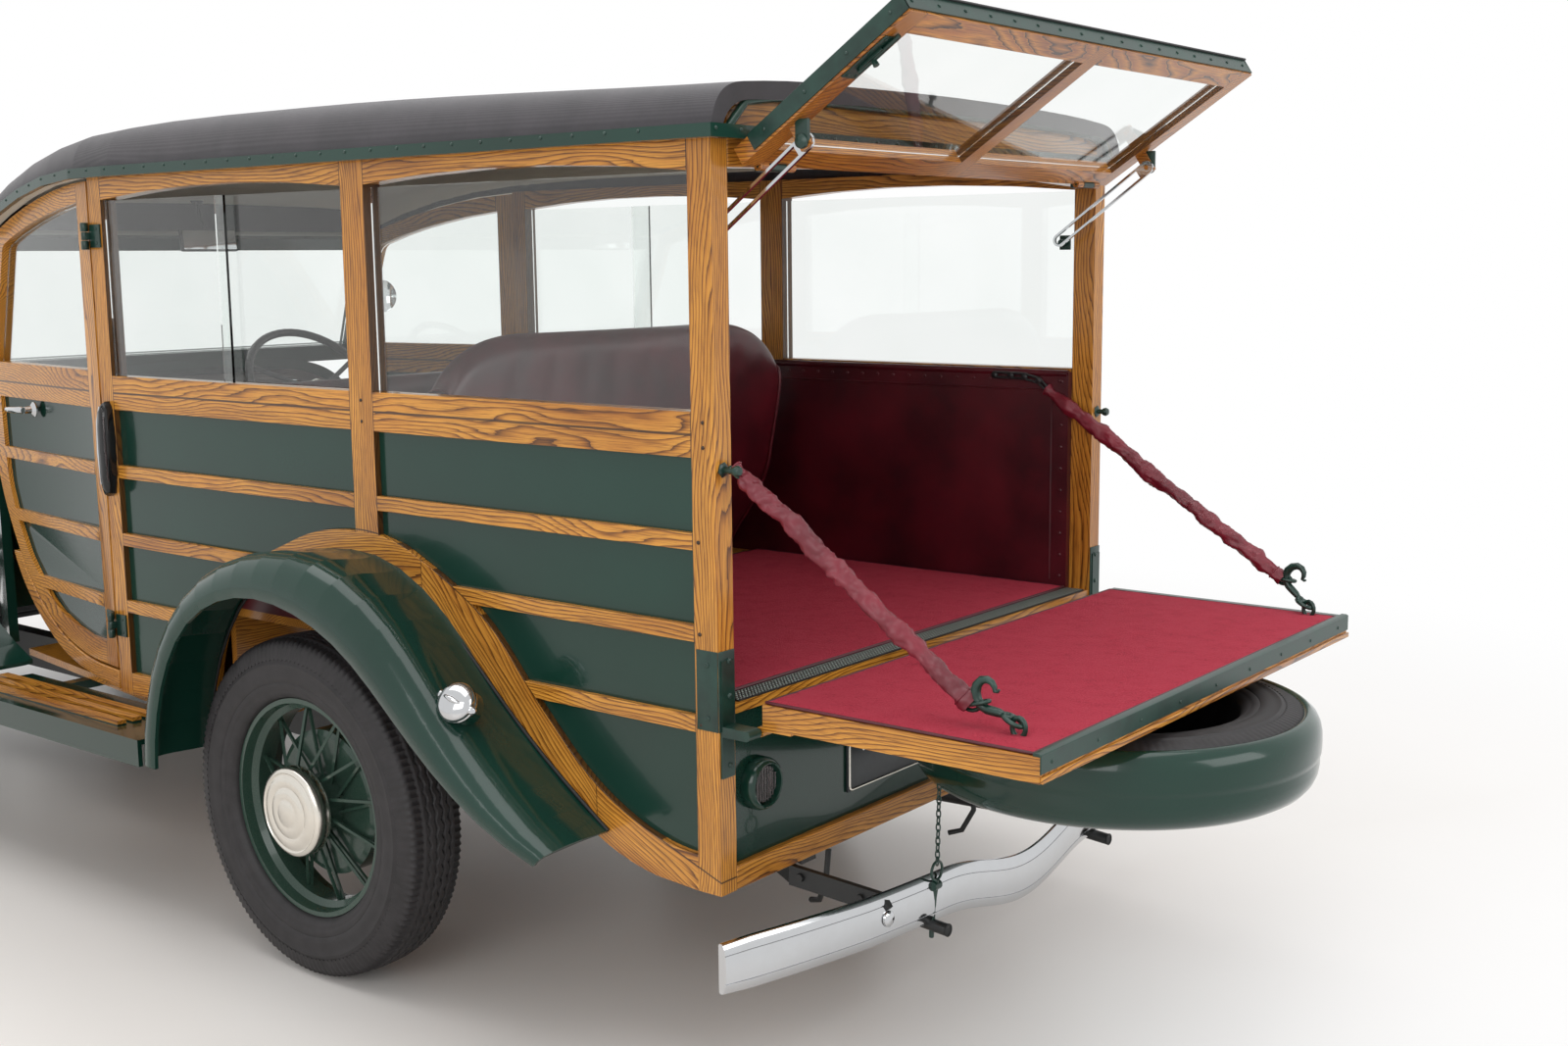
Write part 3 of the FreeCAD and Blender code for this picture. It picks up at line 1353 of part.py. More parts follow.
def make_bumpers():
    """Rear and front bumpers with the irons that carry them from the frame."""
    back = -size.rear_bumper_back
    level = size.bumper_level
    rear = bumper_shape(back, level, -1)
    irons = []
    for side in (1, -1):
        near = size.frame_half_width + size.clearance + 5
        irons.append(bar((-900, side * near, 350), (-996, side * 440, 334), 12, 44))
        irons.append(bar((-990, side * 440, 334), (back + 32, side * 440, level + 34), 12, 44))
        irons.append(rod((back + 8, side * 310, level - 50), (back - 22, side * 310, level - 54), 11))
        irons.append(bar((back + 36, side * 310, level - 50), (back + 2, side * 310, level - 50), 14, 14))
        irons.append(bar((back + 34, side * 440, level + 20), (back + 34, side * 310, level - 50), 10, 16))
    feature("rear_bumper", rear.fuse(irons))

    face = FRONT_END - size.bumper_thickness
    front = bumper_shape(face, size.front_bumper_level, 1)
    irons = []
    for side in (1, -1):
        irons.append(bar((3139.7 + size.clearance, side * 357, 530), (face - 12, side * 357, size.front_bumper_level), 12, 46))
    feature("front_bumper", front.fuse(irons))


def make_lamps(front_fender):
    """Bullet headlamps on their posts, and the round tail lamps on the rear panel."""
    radius = size.lamp_radius
    profile = [(120, 0), (112, radius * 0.6), (96, radius * 0.92), (88, radius), (70, radius),
               (40, radius * 0.94), (-20, radius * 0.78), (-80, radius * 0.48), (-130, radius * 0.14),
               (-140, 0)]
    shapes = []
    for side in (1, -1):
        face = Part.Face(wire([(x, 0, r) for x, r in profile]))
        lamp = face.revolve(Vector(0, 0, 0), Vector(1, 0, 0), 360)
        lamp.translate(Vector(3080, side * size.lamp_side, size.lamp_level + 70))
        post = rod((3060, size.lamp_side, size.lamp_level - 205),
                   (3060, size.lamp_side, size.lamp_level + 20), 22)
        post = largest(post.cut(front_fender))
        shapes.append(lamp.fuse(on_side(post, side)))
    feature("headlamps", Part.makeCompound(shapes))
    tails = []
    panel_x = -size.body_rear + 14 - size.clearance
    for side in (1, -1):
        centre = (panel_x, side * 556, 542)
        tails.append(Part.makeCone(30, 42, 26, Vector(*centre), Vector(-1, 0, 0)))
    feature("tail_lamps", Part.makeCompound(tails))


# Cabin
def make_cabin():
    """Dashboard, steering column, seats, side linings and the cargo carpet."""
    profile = [(COWL_REAR - 40, 985), (COWL_REAR - 62, 1010), (COWL_REAR - 40, 1120),
               (COWL_REAR - 4, 1142), (COWL_REAR + 40, 1130), (COWL_REAR + 40, 985)]
    dash = prism([(x, -DOOR_FRONT_Y, z) for x, z in profile], (0, 2 * DOOR_FRONT_Y, 0))
    behind = loft([arch_section(x, DOOR_FRONT_Y, 470, 1020, 1185, 46)
                   for x in (COWL_REAR - 80, COWL_REAR + 0.5)])
    ahead = loft([arch_section(*station, 26 + size.clearance) for station in COWL_STATIONS])
    feature("dashboard", dash.common(behind).fuse(dash.common(ahead)))

    seat_half = 556
    seat_foot = size.front_floor_level + size.clearance
    front = new_body("front_seat")
    front_profile = [
        (640, seat_foot), (1100, seat_foot), (1130, 700), ("curve", [(1134, 780), (1110, 806), (1060, 810)]),
        (760, 790), ("curve", [(720, 900), (680, 1040), (650, 1160), (628, 1192), (590, 1196), (566, 1160)]),
        ("curve", [(575, 1000), (610, 800)]),
    ]
    pad(front, "XZ_Plane", -seat_half, [front_profile], 2 * seat_half)
    rear = new_body("rear_seat")
    rear_profile = [
        (-2, 702.3), (-2, 740), ("curve", [(-60, 800), (-130, 860), (-175, 960), (-215, 1130),
        (-240, 1260), (-225, 1310), (-185, 1322), (-150, 1300)]),
        ("curve", [(-100, 1150), (-40, 980), (0, 900)]), (20, 880), (380, 900),
        ("curve", [(420, 890), (428, 850)]), (428, 702.3),
    ]
    pad(rear, "XZ_Plane", -seat_half, [rear_profile], 2 * seat_half)

    column_top = Vector(size.steering_forward, size.steering_side, size.steering_level)
    foot = Vector(1840, size.steering_side + 20, 640)
    direction = (foot - column_top).normalize()
    hub_end = column_top + direction * (10 + size.clearance)
    column = rod(tuple(foot), tuple(hub_end), 19)
    column = column.fuse(rod(tuple(foot), tuple(column_top - direction * 8), size.column_radius))
    toe = [(COWL_REAR + 50, 448.3), (COWL_FRONT - 20, 656.4), (COWL_FRONT - 14.4, 656.4),
           (COWL_FRONT - 14.4, 1100), (COWL_FRONT + 100, 1100), (COWL_FRONT + 100, 400),
           (COWL_REAR + 50, 400)]
    stop = prism([(x, -400, z) for x, z in toe], (0, 400, 0))
    feature("steering_column", column.cut(stop))
    rim = Part.makeTorus(size.steering_radius, 11, column_top, direction)
    hub = Part.makeCylinder(38, 26, column_top - direction * 16, direction)
    across = direction.cross(Vector(0, 0, 1))
    across.normalize()
    spokes = []
    for angle in (90, 210, 330):
        arm = Rotation(direction, angle).multVec(across)
        spokes.append(rod(tuple(column_top), tuple(column_top + arm * size.steering_radius), 7))
    bore = rod(tuple(hub_end), tuple(column_top - direction * 9), size.column_radius + size.running_fit)
    feature("steering_wheel", rim.fuse([hub] + spokes).cut(bore))

    lining = new_body("side_linings")
    floor_top = size.cargo_floor_level + size.clearance
    for side in SIDES.values():
        side_pad(lining, side, INNER_HALF_WIDTH - size.clearance,
                 [[(-977, floor_top), (427, floor_top), (427, 1000), (-2, 1196), (-977, 1196)]], 15)
    lining_face = INNER_HALF_WIDTH - 15.6
    carpet = block((-1010, -lining_face, floor_top), (-8, lining_face, floor_top + 8))
    feature("cargo_carpet", carpet)


# Exhaust, filler, chains
def make_small(rear_fender):
    """Exhaust, fuel filler, tailgate chains in their sleeves and the hanging pin chain."""
    pipe = rod((1300, -150, 300), (200, -250, 262), 22)
    silencer = rod((850, -190, 285), (350, -236, 267), 62)
    tail = rod((200, -250, 262), (-1000, -300, 280), 20)
    front = rod((1290, -150, 300), (1910, -150, 300), 22)
    riser = rod((1890, -150, 290), (1890, -150, 440 - size.clearance), 22)
    member = size.rail_level + 8 - size.clearance
    hanger = block((-950, -306, 285), (-926, -294, member))
    feature("exhaust", pipe.fuse([silencer, tail, front, riser, hanger]))
    cap = Part.makeCone(36, 26, 50, Vector(-513, 787, 650), Vector(-0.25, 0.8, 0.5))
    feature("filler_cap", largest(cap.cut(rear_fender)))
    chains = []
    for side in (1, -1):
        start = (-1038, side * 640, 1112)
        end = (-1404, side * 568, 800)
        chains.append(rod(start, end, 13))
    feature("tailgate_chains", Part.makeCompound(chains))


make_wheels()
make_chassis()
make_axles()
make_knuckles()
make_floor()
make_side_frames()
make_side_panels()
make_rear_frame()
make_rear_panel()
make_roof()
make_glass(make_cowl())
make_bonnet()
make_grille()
make_doors()
make_door_sills()
make_tailgate()
make_spare_cover()
make_liftgate()
make_rear_hinges()
REAR_FENDER, FRONT_FENDER = make_fenders()
make_running_boards()
make_bumpers()
make_lamps(FRONT_FENDER)
make_cabin()
make_small(REAR_FENDER)

doc.recompute()

failed = [obj.Label for obj in doc.Objects if "Invalid" in obj.State or "Error" in obj.State]
if failed:
    raise SystemExit(f"features that failed: {failed}")
broken = [node.Label for node in nodes if node.Shape.isNull() or not node.Shape.isValid()]
if broken:
    raise SystemExit(f"pieces without a valid shape: {broken}")

os.makedirs("parts", exist_ok=True)
for node in nodes:
    node.Shape.exportStep(f"parts/{node.Label}.step")
    box = node.Shape.BoundBox
    print(f"{node.Label:22s} solids {len(node.Shape.Solids):2d} volume {node.Shape.Volume / 1e6:9.3f} l"
          f"  x {box.XMin:8.1f} {box.XMax:8.1f}  y {box.YMin:8.1f} {box.YMax:8.1f}"
          f"  z {box.ZMin:7.1f} {box.ZMax:7.1f}")
print(f"{len(nodes)} nodes")
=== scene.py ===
"""Looks for the timber-bodied station wagon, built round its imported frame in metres.

X runs forward, Y to the car's left and Z up. Each sub-assembly is a class whose fields are its sizes.
"""

import logging
import math
from dataclasses import dataclass, field
from enum import Enum
from typing import Callable, Sequence

import bmesh
import bpy
from mathutils import Matrix, Vector, noise
from mathutils.bvhtree import BVHTree


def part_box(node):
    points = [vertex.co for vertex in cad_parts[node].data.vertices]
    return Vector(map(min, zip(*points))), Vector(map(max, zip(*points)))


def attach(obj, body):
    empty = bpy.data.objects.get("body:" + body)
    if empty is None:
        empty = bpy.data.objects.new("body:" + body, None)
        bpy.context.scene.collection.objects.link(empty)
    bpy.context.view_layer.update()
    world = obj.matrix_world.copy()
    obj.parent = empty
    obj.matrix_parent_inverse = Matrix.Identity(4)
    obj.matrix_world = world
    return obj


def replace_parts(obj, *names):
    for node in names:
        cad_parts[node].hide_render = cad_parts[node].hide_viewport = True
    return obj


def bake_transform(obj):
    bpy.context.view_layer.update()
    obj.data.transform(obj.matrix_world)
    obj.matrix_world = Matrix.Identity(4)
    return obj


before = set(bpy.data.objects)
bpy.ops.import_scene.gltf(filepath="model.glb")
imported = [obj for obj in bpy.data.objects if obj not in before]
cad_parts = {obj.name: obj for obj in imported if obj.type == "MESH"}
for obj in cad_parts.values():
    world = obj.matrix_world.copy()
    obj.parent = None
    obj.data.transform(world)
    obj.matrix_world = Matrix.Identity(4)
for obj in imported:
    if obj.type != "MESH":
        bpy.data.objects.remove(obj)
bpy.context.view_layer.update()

AXLE = -0.825
LOG = logging.getLogger("station_wagon")
SIDES = {"left": 1, "right": -1}
Point = Sequence[float]
Node = bpy.types.Node
Socket = bpy.types.NodeSocket
Tree = bpy.types.NodeTree
Object = bpy.types.Object
UP = Vector((0, 0, 1))


# Nodes and colours
def linear(code: str) -> tuple[float, float, float, float]:
    """Turn an sRGB hex colour into linear values.

    Args:
        code: The colour as "#RRGGBB".

    Returns:
        Red, green, blue and an alpha of one.
    """
    parts = [int(code[i:i + 2], 16) / 255 for i in (1, 3, 5)]
    parts = [p / 12.92 if p <= 0.04045 else ((p + 0.055) / 1.055) ** 2.4 for p in parts]
    return (parts[0], parts[1], parts[2], 1.0)


@dataclass
class Nodes:
    """The nodes of a material, a world or a modifier while its tree is filled."""

    tree: Tree
    place: Socket | None = None

    def add(self, kind: str, *values: object, stops: Sequence[tuple[float, str]] = (),
            **named: object) -> Node:
        """Add a node with its settings, values and links.

        Args:
            kind: The node's type name without "ShaderNode", with its operation or data type after a dot.
            values: What goes to its visible inputs, in their order.
            stops: Places and hex colours of a colour ramp.
            named: Its properties, and its inputs by capitalised names with _ for each space.

        Returns:
            The node.
        """
        kind, _, choice = kind.partition(".")
        node = self.tree.nodes.new(kind if "Node" in kind else "ShaderNode" + kind)
        if choice:
            setattr(node, "data_type" if kind == "Mix" else "operation", choice)
        inputs = {}
        for key, value in named.items():
            if key[0].isupper():
                inputs[key.replace("_", " ")] = value
            else:
                setattr(node, key, value)
        while stops and len(node.color_ramp.elements) < len(stops):
            node.color_ramp.elements.new(0.5)
        for number, (spot, code) in enumerate(stops):
            node.color_ramp.elements[number].position = spot
            node.color_ramp.elements[number].color = linear(code)
        visible = [i for i, socket in enumerate(node.inputs) if socket.enabled]
        self.give(node, dict(zip(visible, values)) | inputs)
        return node

    def give(self, node: Node, values: dict) -> None:
        """Give a node's inputs their values and links.

        Args:
            node: The node.
            values: Numbers, hex colours, nodes or sockets, by the input's name or number.
        """
        for key, value in values.items():
            if isinstance(value, Node):
                value = next(socket for socket in value.outputs if socket.enabled)
            if isinstance(value, Socket):
                self.tree.links.new(value, node.inputs[key])
            else:
                colour = isinstance(value, str) and value.startswith("#")
                node.inputs[key].default_value = linear(value) if colour else value


class Grain(Enum):
    """Which way a board's grain runs."""

    ALONG = "along the car"
    ACROSS = "across the car"
    SIDE = "by member of the side frame"
    DOOR = "by member of a door"
    GATE = "by member of a framed gate"
    STEP = "strips on a painted board"


MATERIALS: dict[str, bpy.types.Material] = {}


@dataclass(frozen=True)
class Finish:
    """A surface finish, which makes its material once."""

    name: str

    def material(self) -> bpy.types.Material:
        """The finish's material, made on first use.

        Returns:
            The material.
        """
        if self.name not in MATERIALS:
            item = MATERIALS[self.name] = bpy.data.materials.new(self.name)
            item.use_nodes = True
            nodes = Nodes(item.node_tree)
            nodes.place = nodes.add("TexCoord").outputs["Object"]
            nodes.give(item.node_tree.nodes["Principled BSDF"], self.lay(nodes))
        return MATERIALS[self.name]

    def lay(self, nodes: Nodes) -> dict:
        """Lay the finish's nodes; each kind has its own way.

        Args:
            nodes: The material's nodes.

        Returns:
            What goes into the surface shader's inputs.
        """
        raise NotImplementedError


@dataclass(frozen=True)
class VarnishedAsh(Finish):
    """Flat-sawn ash under spar varnish: honey early wood, dark late rings, a clear gloss coat."""

    grain: Grain = Grain.ALONG
    early: str = "#DA9A3C"
    late: str = "#643A0E"
    ring_mm: float = 8.5
    figure: float = 26.0
    side: int = 1

    def lay(self, nodes: Nodes) -> dict:
        """Lay growth rings stretched along the grain, pores, dark board-to-board joints with painted shade
        in the belt groove, and varnish.

        Args:
            nodes: The material's nodes.

        Returns:
            What goes into the surface shader's inputs.
        """
        add = nodes.add
        vector, shade, painted = self.along_grain(nodes)
        swell, ragged, fibre, broad = (
            add("TexNoise", add("Mapping", vector, Scale=stretch), Scale=1.0, Detail=detail, Roughness=rough)
            for stretch, detail, rough in (
                ((1.5, 5.5, 5.5), 2.0, 0.4), ((9.0, 110.0, 110.0), 2.0, 0.5),
                ((14.0, 620.0, 620.0), 3.0, 0.6), ((1.6, 9.0, 9.0), 2.0, 0.5)))
        _, right, up = add("SeparateXYZ", vector).outputs
        trend = add("Math.MULTIPLY", add("Math.ADD", right, up), 1000.0 / self.ring_mm)
        rings = add("Math.MULTIPLY_ADD", swell, self.figure, trend)
        rings = add("Math.FRACT", add("Math.MULTIPLY_ADD", ragged, 0.7, rings))
        wood = add("ValToRGB", rings, stops=(
            (0.0, "#C0812F"), (0.14, self.early), (0.62, "#CE8C34"), (0.84, "#A0661F"), (0.96, self.late)))
        streaks = add("ValToRGB", fibre, stops=((0.34, "#6E421A"), (0.52, "#FFFFFF")))
        wood = add("Mix.RGBA", 0.62, wood, streaks, blend_type="MULTIPLY")
        patches = add("ValToRGB", broad, stops=((0.3, "#A87850"), (0.55, "#FFFFFF"), (0.8, "#FFE8C0")))
        wood = add("Mix.RGBA", 0.55, wood, patches, blend_type="MULTIPLY")
        # Darkens the joints, and on the side frame and doors paints shade into the belt groove.
        if shade is not None:
            wood = add("Mix.RGBA", shade, wood, "#2A1606")
        rough = add("Math.MULTIPLY_ADD", fibre, 0.16, 0.26)
        if painted is not None:
            wood = add("Mix.RGBA", painted, wood, add("Mix.RGBA", broad, "#0D2A22", "#123329"))
            rough = add("Math.MULTIPLY_ADD", painted, -0.2, rough)
        height = add("Math.MULTIPLY_ADD", rings, -0.5, fibre)
        return {"Base Color": wood, "Roughness": rough, "Coat Weight": 0.4, "Coat Roughness": 0.12,
                "Specular IOR Level": 0.35,
                "Normal": add("Bump", Height=height, Strength=0.25, Distance=0.0004)}

    def along_grain(self, nodes: Nodes) -> tuple[Node, Node | None, Node | None]:
        """Turn places into grain coordinates, with the dark joints, painted shade in the belt groove and the
        painted part.

        Args:
            nodes: The material's nodes.

        Returns:
            The vector whose X follows the grain, the dark joints with any painted groove shade, and the
            painted mask.
        """
        add = nodes.add
        x, y, z = add("SeparateXYZ", nodes.place).outputs
        upright = add("CombineXYZ", z, add("Math.ADD", x, 0.37), y)
        along = add("CombineXYZ", x, add("Math.ADD", z, 0.021), y)
        if self.grain is Grain.ALONG:
            return along, None, None
        if self.grain is Grain.ACROSS:
            return add("CombineXYZ", y, add("Math.ADD", z, 0.05), x), None, None
        if self.grain is Grain.STEP:
            return along, None, add("Math.LESS_THAN", z, 0.4338)
        if self.grain is Grain.GATE:
            far = add("Math.ABSOLUTE", y)
            rails = add("Math.MAXIMUM", add("Math.GREATER_THAN", far, 0.581),
                        add("Math.COMPARE", y, 0.0, 0.022))
            line = add("Math.MAXIMUM", add("Math.COMPARE", far, 0.581, 0.0008),
                       add("Math.COMPARE", far, 0.022, 0.0008))
            found = add("Mix.VECTOR", rails, add("CombineXYZ", y, add("Math.ADD", x, 0.05), z),
                        add("CombineXYZ", x, add("Math.ADD", y, 0.3), z))
            return found, add("Math.MULTIPLY", line, 0.7), None
        if self.grain is Grain.SIDE:
            return self.side_grain(nodes, (x, y, z), upright, along)
        return self.door_grain(nodes, (x, y, z), along)

    def side_grain(self, nodes: Nodes, place: Sequence[Socket], upright: Node, along: Node) -> tuple:
        """Grain of the side frame's posts, rails, slats and arch boards.

        Args:
            nodes: The material's nodes.
            place: The three Object coordinates.
            upright: Coordinates of upright grain.
            along: Coordinates of lengthwise grain.

        Returns:
            The grain vector, the dark joints with painted shade in the belt groove, and no painted mask.
        """
        add = nodes.add
        x, y, z = place
        edge = add("FloatCurve", 1.0, add("Math.MULTIPLY_ADD", x, 1 / 1.8, 1.0))
        curve = edge.mapping.curves[0]
        rim = ((0.053, 0.448), (0.106, 0.488), (0.151, 0.540), (0.195, 0.614), (0.232, 0.680),
               (0.281, 0.773), (0.357, 0.856), (0.419, 0.906), (0.464, 0.924), (0.519, 0.924),
               (0.575, 0.908), (0.626, 0.876), (0.683, 0.832), (0.736, 0.765), (0.781, 0.680), (0.82, 0.590))
        curve.points[0].location = rim[0]
        curve.points[1].location = rim[-1]
        for spot in rim[1:-1]:
            curve.points.new(*spot)
        edge.mapping.update()
        middle = add("Math.MULTIPLY", add("Math.COMPARE", x, -0.940, 0.0352),
                     add("Math.GREATER_THAN", z, 0.922))
        post = add("Math.MAXIMUM", add("Math.COMPARE", x, -0.026, 0.0252), middle)
        post = add("Math.MAXIMUM", add("Math.COMPARE", x, -1.828, 0.0262), post)
        boards = []
        for angle, shift in ((-46, 0.11), (-24, 0.23), (6, 0.31), (38, 0.43)):
            c, s = math.cos(math.radians(angle)), math.sin(math.radians(angle))
            run = add("Math.ADD", add("Math.MULTIPLY", x, c), add("Math.MULTIPLY", z, -s))
            rise = add("Math.ADD", add("Math.MULTIPLY", x, s), add("Math.MULTIPLY_ADD", z, c, shift))
            boards.append(add("CombineXYZ", run, rise, y))
        board = add("Mix.VECTOR", add("Math.GREATER_THAN", x, -1.56), boards[1], boards[0])
        board = add("Mix.VECTOR", add("Math.GREATER_THAN", x, -1.10), board, boards[2])
        board = add("Mix.VECTOR", add("Math.GREATER_THAN", x, -0.60), board, boards[3])
        found = add("Mix.VECTOR", add("Math.LESS_THAN", z, edge), along, board)
        found = add("Mix.VECTOR", post, found, upright)
        line = add("Math.COMPARE", z, edge, 0.0016)
        for side_of, level, centre, half in (
                ("GREATER_THAN", 0.44, -1.8015, 0.0011), ("GREATER_THAN", 0.92, -0.9755, 0.0011),
                ("GREATER_THAN", 0.92, -0.9045, 0.0011), ("GREATER_THAN", 0.44, -0.0515, 0.0011),
                ("LESS_THAN", 0.56, -1.56, 0.0009), ("LESS_THAN", 0.93, -1.10, 0.0009),
                ("LESS_THAN", 0.93, -0.60, 0.0009)):
            joint = add("Math.MULTIPLY", add("Math." + side_of, z, level),
                        add("Math.COMPARE", x, centre, half))
            line = add("Math.MAXIMUM", line, joint)
        # A dark band along the belt groove between the posts: painted shade in the groove.
        groove = add("Math.MULTIPLY", add("Math.COMPARE", z, 1.1655, 0.0022),
                     add("Math.SUBTRACT", 1.0, post))
        line = add("Math.MAXIMUM", line, groove)
        return found, add("Math.MULTIPLY", line, 0.85), None

    def door_grain(self, nodes: Nodes, place: Sequence[Socket], along: Node) -> tuple:
        """Grain of a door's stiles and rails, and paint on its sunk panel.

        Args:
            nodes: The material's nodes.
            place: The three Object coordinates.
            along: Coordinates of lengthwise grain.

        Returns:
            The grain vector, the dark joint with painted shade in the belt groove, and the painted mask.
        """
        add = nodes.add
        x, y, z = place
        face = add("Math.MULTIPLY_ADD", x, -math.tan(math.radians(7.6)), 0.6757)
        depth = add("Math.SUBTRACT", face, add("Math.MULTIPLY", y, float(self.side)))
        found = add("Mix.VECTOR", add("Math.LESS_THAN", x, 0.062), along,
                    add("CombineXYZ", z, add("Math.ADD", x, 0.9), y))
        sunk = add("Math.MULTIPLY", add("Math.LESS_THAN", z, 1.1265), add("Math.GREATER_THAN", depth, 0.011))
        painted = add("Math.MULTIPLY", sunk, add("Math.GREATER_THAN", x, 0.059))
        # A dark band along the belt groove ahead of the stile: painted shade in the groove.
        groove = add("Math.MULTIPLY", add("Math.COMPARE", z, 1.1655, 0.0022),
                     add("Math.GREATER_THAN", x, 0.0625))
        line = add("Math.MAXIMUM", add("Math.COMPARE", x, 0.0625, 0.0009), groove)
        return found, add("Math.MULTIPLY", line, 0.85), painted


@dataclass(frozen=True)
class GlossPaint(Finish):
    """Sprayed and polished coach enamel: deep colour, faint orange peel, wet-looking clear gloss."""

    dark: str = "#08271F"
    light: str = "#123E33"
    roughness: float = 0.14
    dust: float = 0.012

    def lay(self, nodes: Nodes) -> dict:
        """Lay a slow colour drift, a little dust and the orange peel of 4 mm ripples.

        Args:
            nodes: The material's nodes.

        Returns:
            What goes into the surface shader's inputs.
        """
        drift = nodes.add("TexNoise", nodes.place, Scale=2.3, Detail=3.0)
        specks = nodes.add("TexNoise", nodes.place, Scale=420.0, Detail=4.0)
        peel = nodes.add("TexNoise", nodes.place, Scale=240.0, Detail=1.0)
        colour = nodes.add("Mix.RGBA", drift, self.dark, self.light)
        dusty = nodes.add("Math.MULTIPLY", specks, self.dust)
        return {"Base Color": nodes.add("Mix.RGBA", dusty, colour, "#B9B6A8"),
                "Roughness": nodes.add("Math.MULTIPLY_ADD", drift, 0.08, self.roughness),
                "Specular IOR Level": 0.3, "Coat Weight": 0.3, "Coat Roughness": 0.02,
                "Normal": nodes.add("Bump", Height=peel, Strength=0.05, Distance=0.0005)}


@dataclass(frozen=True)
class CoatedFabric(Finish):
    """Rubberised roof cloth: matt charcoal, a 2.5 mm weave drawn coarse, faint water marks."""

    dark: str = "#29272B"
    light: str = "#403C41"
    inner: str = "#CFC8B8"
    weave_mm: float = 2.5

    def lay(self, nodes: Nodes) -> dict:
        """Lay crossed threads, slow mottling and, below, the pale headlining.

        Args:
            nodes: The material's nodes.

        Returns:
            What goes into the surface shader's inputs.
        """
        warp, weft = (nodes.add("TexWave", nodes.place, Scale=314.0 / self.weave_mm, Distortion=0.6,
                                bands_direction=way).outputs["Fac"] for way in "XY")
        threads = nodes.add("Math.MULTIPLY", warp, weft)
        mottle = nodes.add("TexNoise", nodes.place, Scale=6.0, Detail=6.0, Roughness=0.7)
        colour = nodes.add("ValToRGB", mottle, stops=((0.3, self.dark), (0.72, self.light)))
        colour = nodes.add("Mix.RGBA", nodes.add("Math.MULTIPLY", threads, 0.25), colour, "#5A565A")
        facing = nodes.add("SeparateXYZ", nodes.add("NewGeometry").outputs["Normal"])
        lining = nodes.add("Math.LESS_THAN", facing.outputs["Z"], -0.25)
        return {"Base Color": nodes.add("Mix.RGBA", lining, colour, self.inner), "Roughness": 0.82,
                "Sheen Weight": 0.25, "Sheen Roughness": 0.5,
                "Normal": nodes.add("Bump", Height=threads, Strength=0.35, Distance=0.0006)}


@dataclass(frozen=True)
class Leather(Finish):
    """Drum-dyed hide: pebble grain about 2 mm across drawn slightly coarse, satin top coat."""

    dark: str = "#33060F"
    light: str = "#5C0D1B"
    grain_mm: float = 2.2
    roughness: float = 0.4

    def lay(self, nodes: Nodes) -> dict:
        """Lay pebbles, soft shade and rubbed highlights.

        Args:
            nodes: The material's nodes.

        Returns:
            What goes into the surface shader's inputs.
        """
        pebbles = nodes.add("TexVoronoi", nodes.place, Scale=1000.0 / self.grain_mm, feature="SMOOTH_F1")
        broad = nodes.add("TexNoise", nodes.place, Scale=7.0, Detail=5.0)
        colour = nodes.add("ValToRGB", broad, stops=((0.3, self.dark), (0.7, self.light)))
        hollow = nodes.add("Math.MULTIPLY", pebbles, 0.07)
        return {"Base Color": nodes.add("Mix.RGBA", hollow, colour, "#1E0308"),
                "Roughness": nodes.add("Math.MULTIPLY_ADD", broad, 0.16, self.roughness - 0.08),
                "Coat Weight": 0.25, "Coat Roughness": 0.35,
                "Normal": nodes.add("Bump", Height=pebbles, Strength=0.07, Distance=0.0003)}


@dataclass(frozen=True)
class PileCarpet(Finish):
    """Cut-pile wool carpet: tufts about 3 mm across, shade where the pile leans."""

    dark: str = "#6A0A1B"
    light: str = "#D23C53"

    def lay(self, nodes: Nodes) -> dict:
        """Lay tufts, lean marks and the fuzz of wool.

        Args:
            nodes: The material's nodes.

        Returns:
            What goes into the surface shader's inputs.
        """
        tufts = nodes.add("TexNoise", nodes.place, Scale=230.0, Detail=4.0, Roughness=0.85)
        lean = nodes.add("TexNoise", nodes.place, Scale=22.0, Detail=5.0, Roughness=0.65)
        shade = nodes.add("Math.MULTIPLY_ADD", lean, 0.35, nodes.add("Math.MULTIPLY", tufts, 0.75))
        return {"Base Color": nodes.add("ValToRGB", shade, stops=(
                    (0.35, self.dark), (0.48, "#CB2B46"), (0.58, self.light))),
                "Roughness": 0.95, "Sheen Weight": 0.4, "Sheen Roughness": 0.4, "Sheen Tint": "#D0405A",
                "Normal": nodes.add("Bump", Height=tufts, Strength=1.0, Distance=0.008)}


@dataclass(frozen=True)
class BrightMetal(Finish):
    """Plated or polished metal: mirror face, faint rub marks in one scale."""

    tone: str = "#C9CBCE"
    roughness: float = 0.06
    haze: float = 0.06
    mark_scale: float = 35.0

    def lay(self, nodes: Nodes) -> dict:
        """Lay rub marks in the roughness and a trace of tarnish in the colour.

        Args:
            nodes: The material's nodes.

        Returns:
            What goes into the surface shader's inputs.
        """
        marks = nodes.add("TexNoise", nodes.place, Scale=self.mark_scale, Detail=6.0, Roughness=0.7)
        tarnish = nodes.add("Math.MULTIPLY", marks, 0.25)
        return {"Base Color": nodes.add("Mix.RGBA", tarnish, self.tone, "#A9A59E"), "Metallic": 1.0,
                "Roughness": nodes.add("Math.MULTIPLY_ADD", marks, self.haze, self.roughness)}


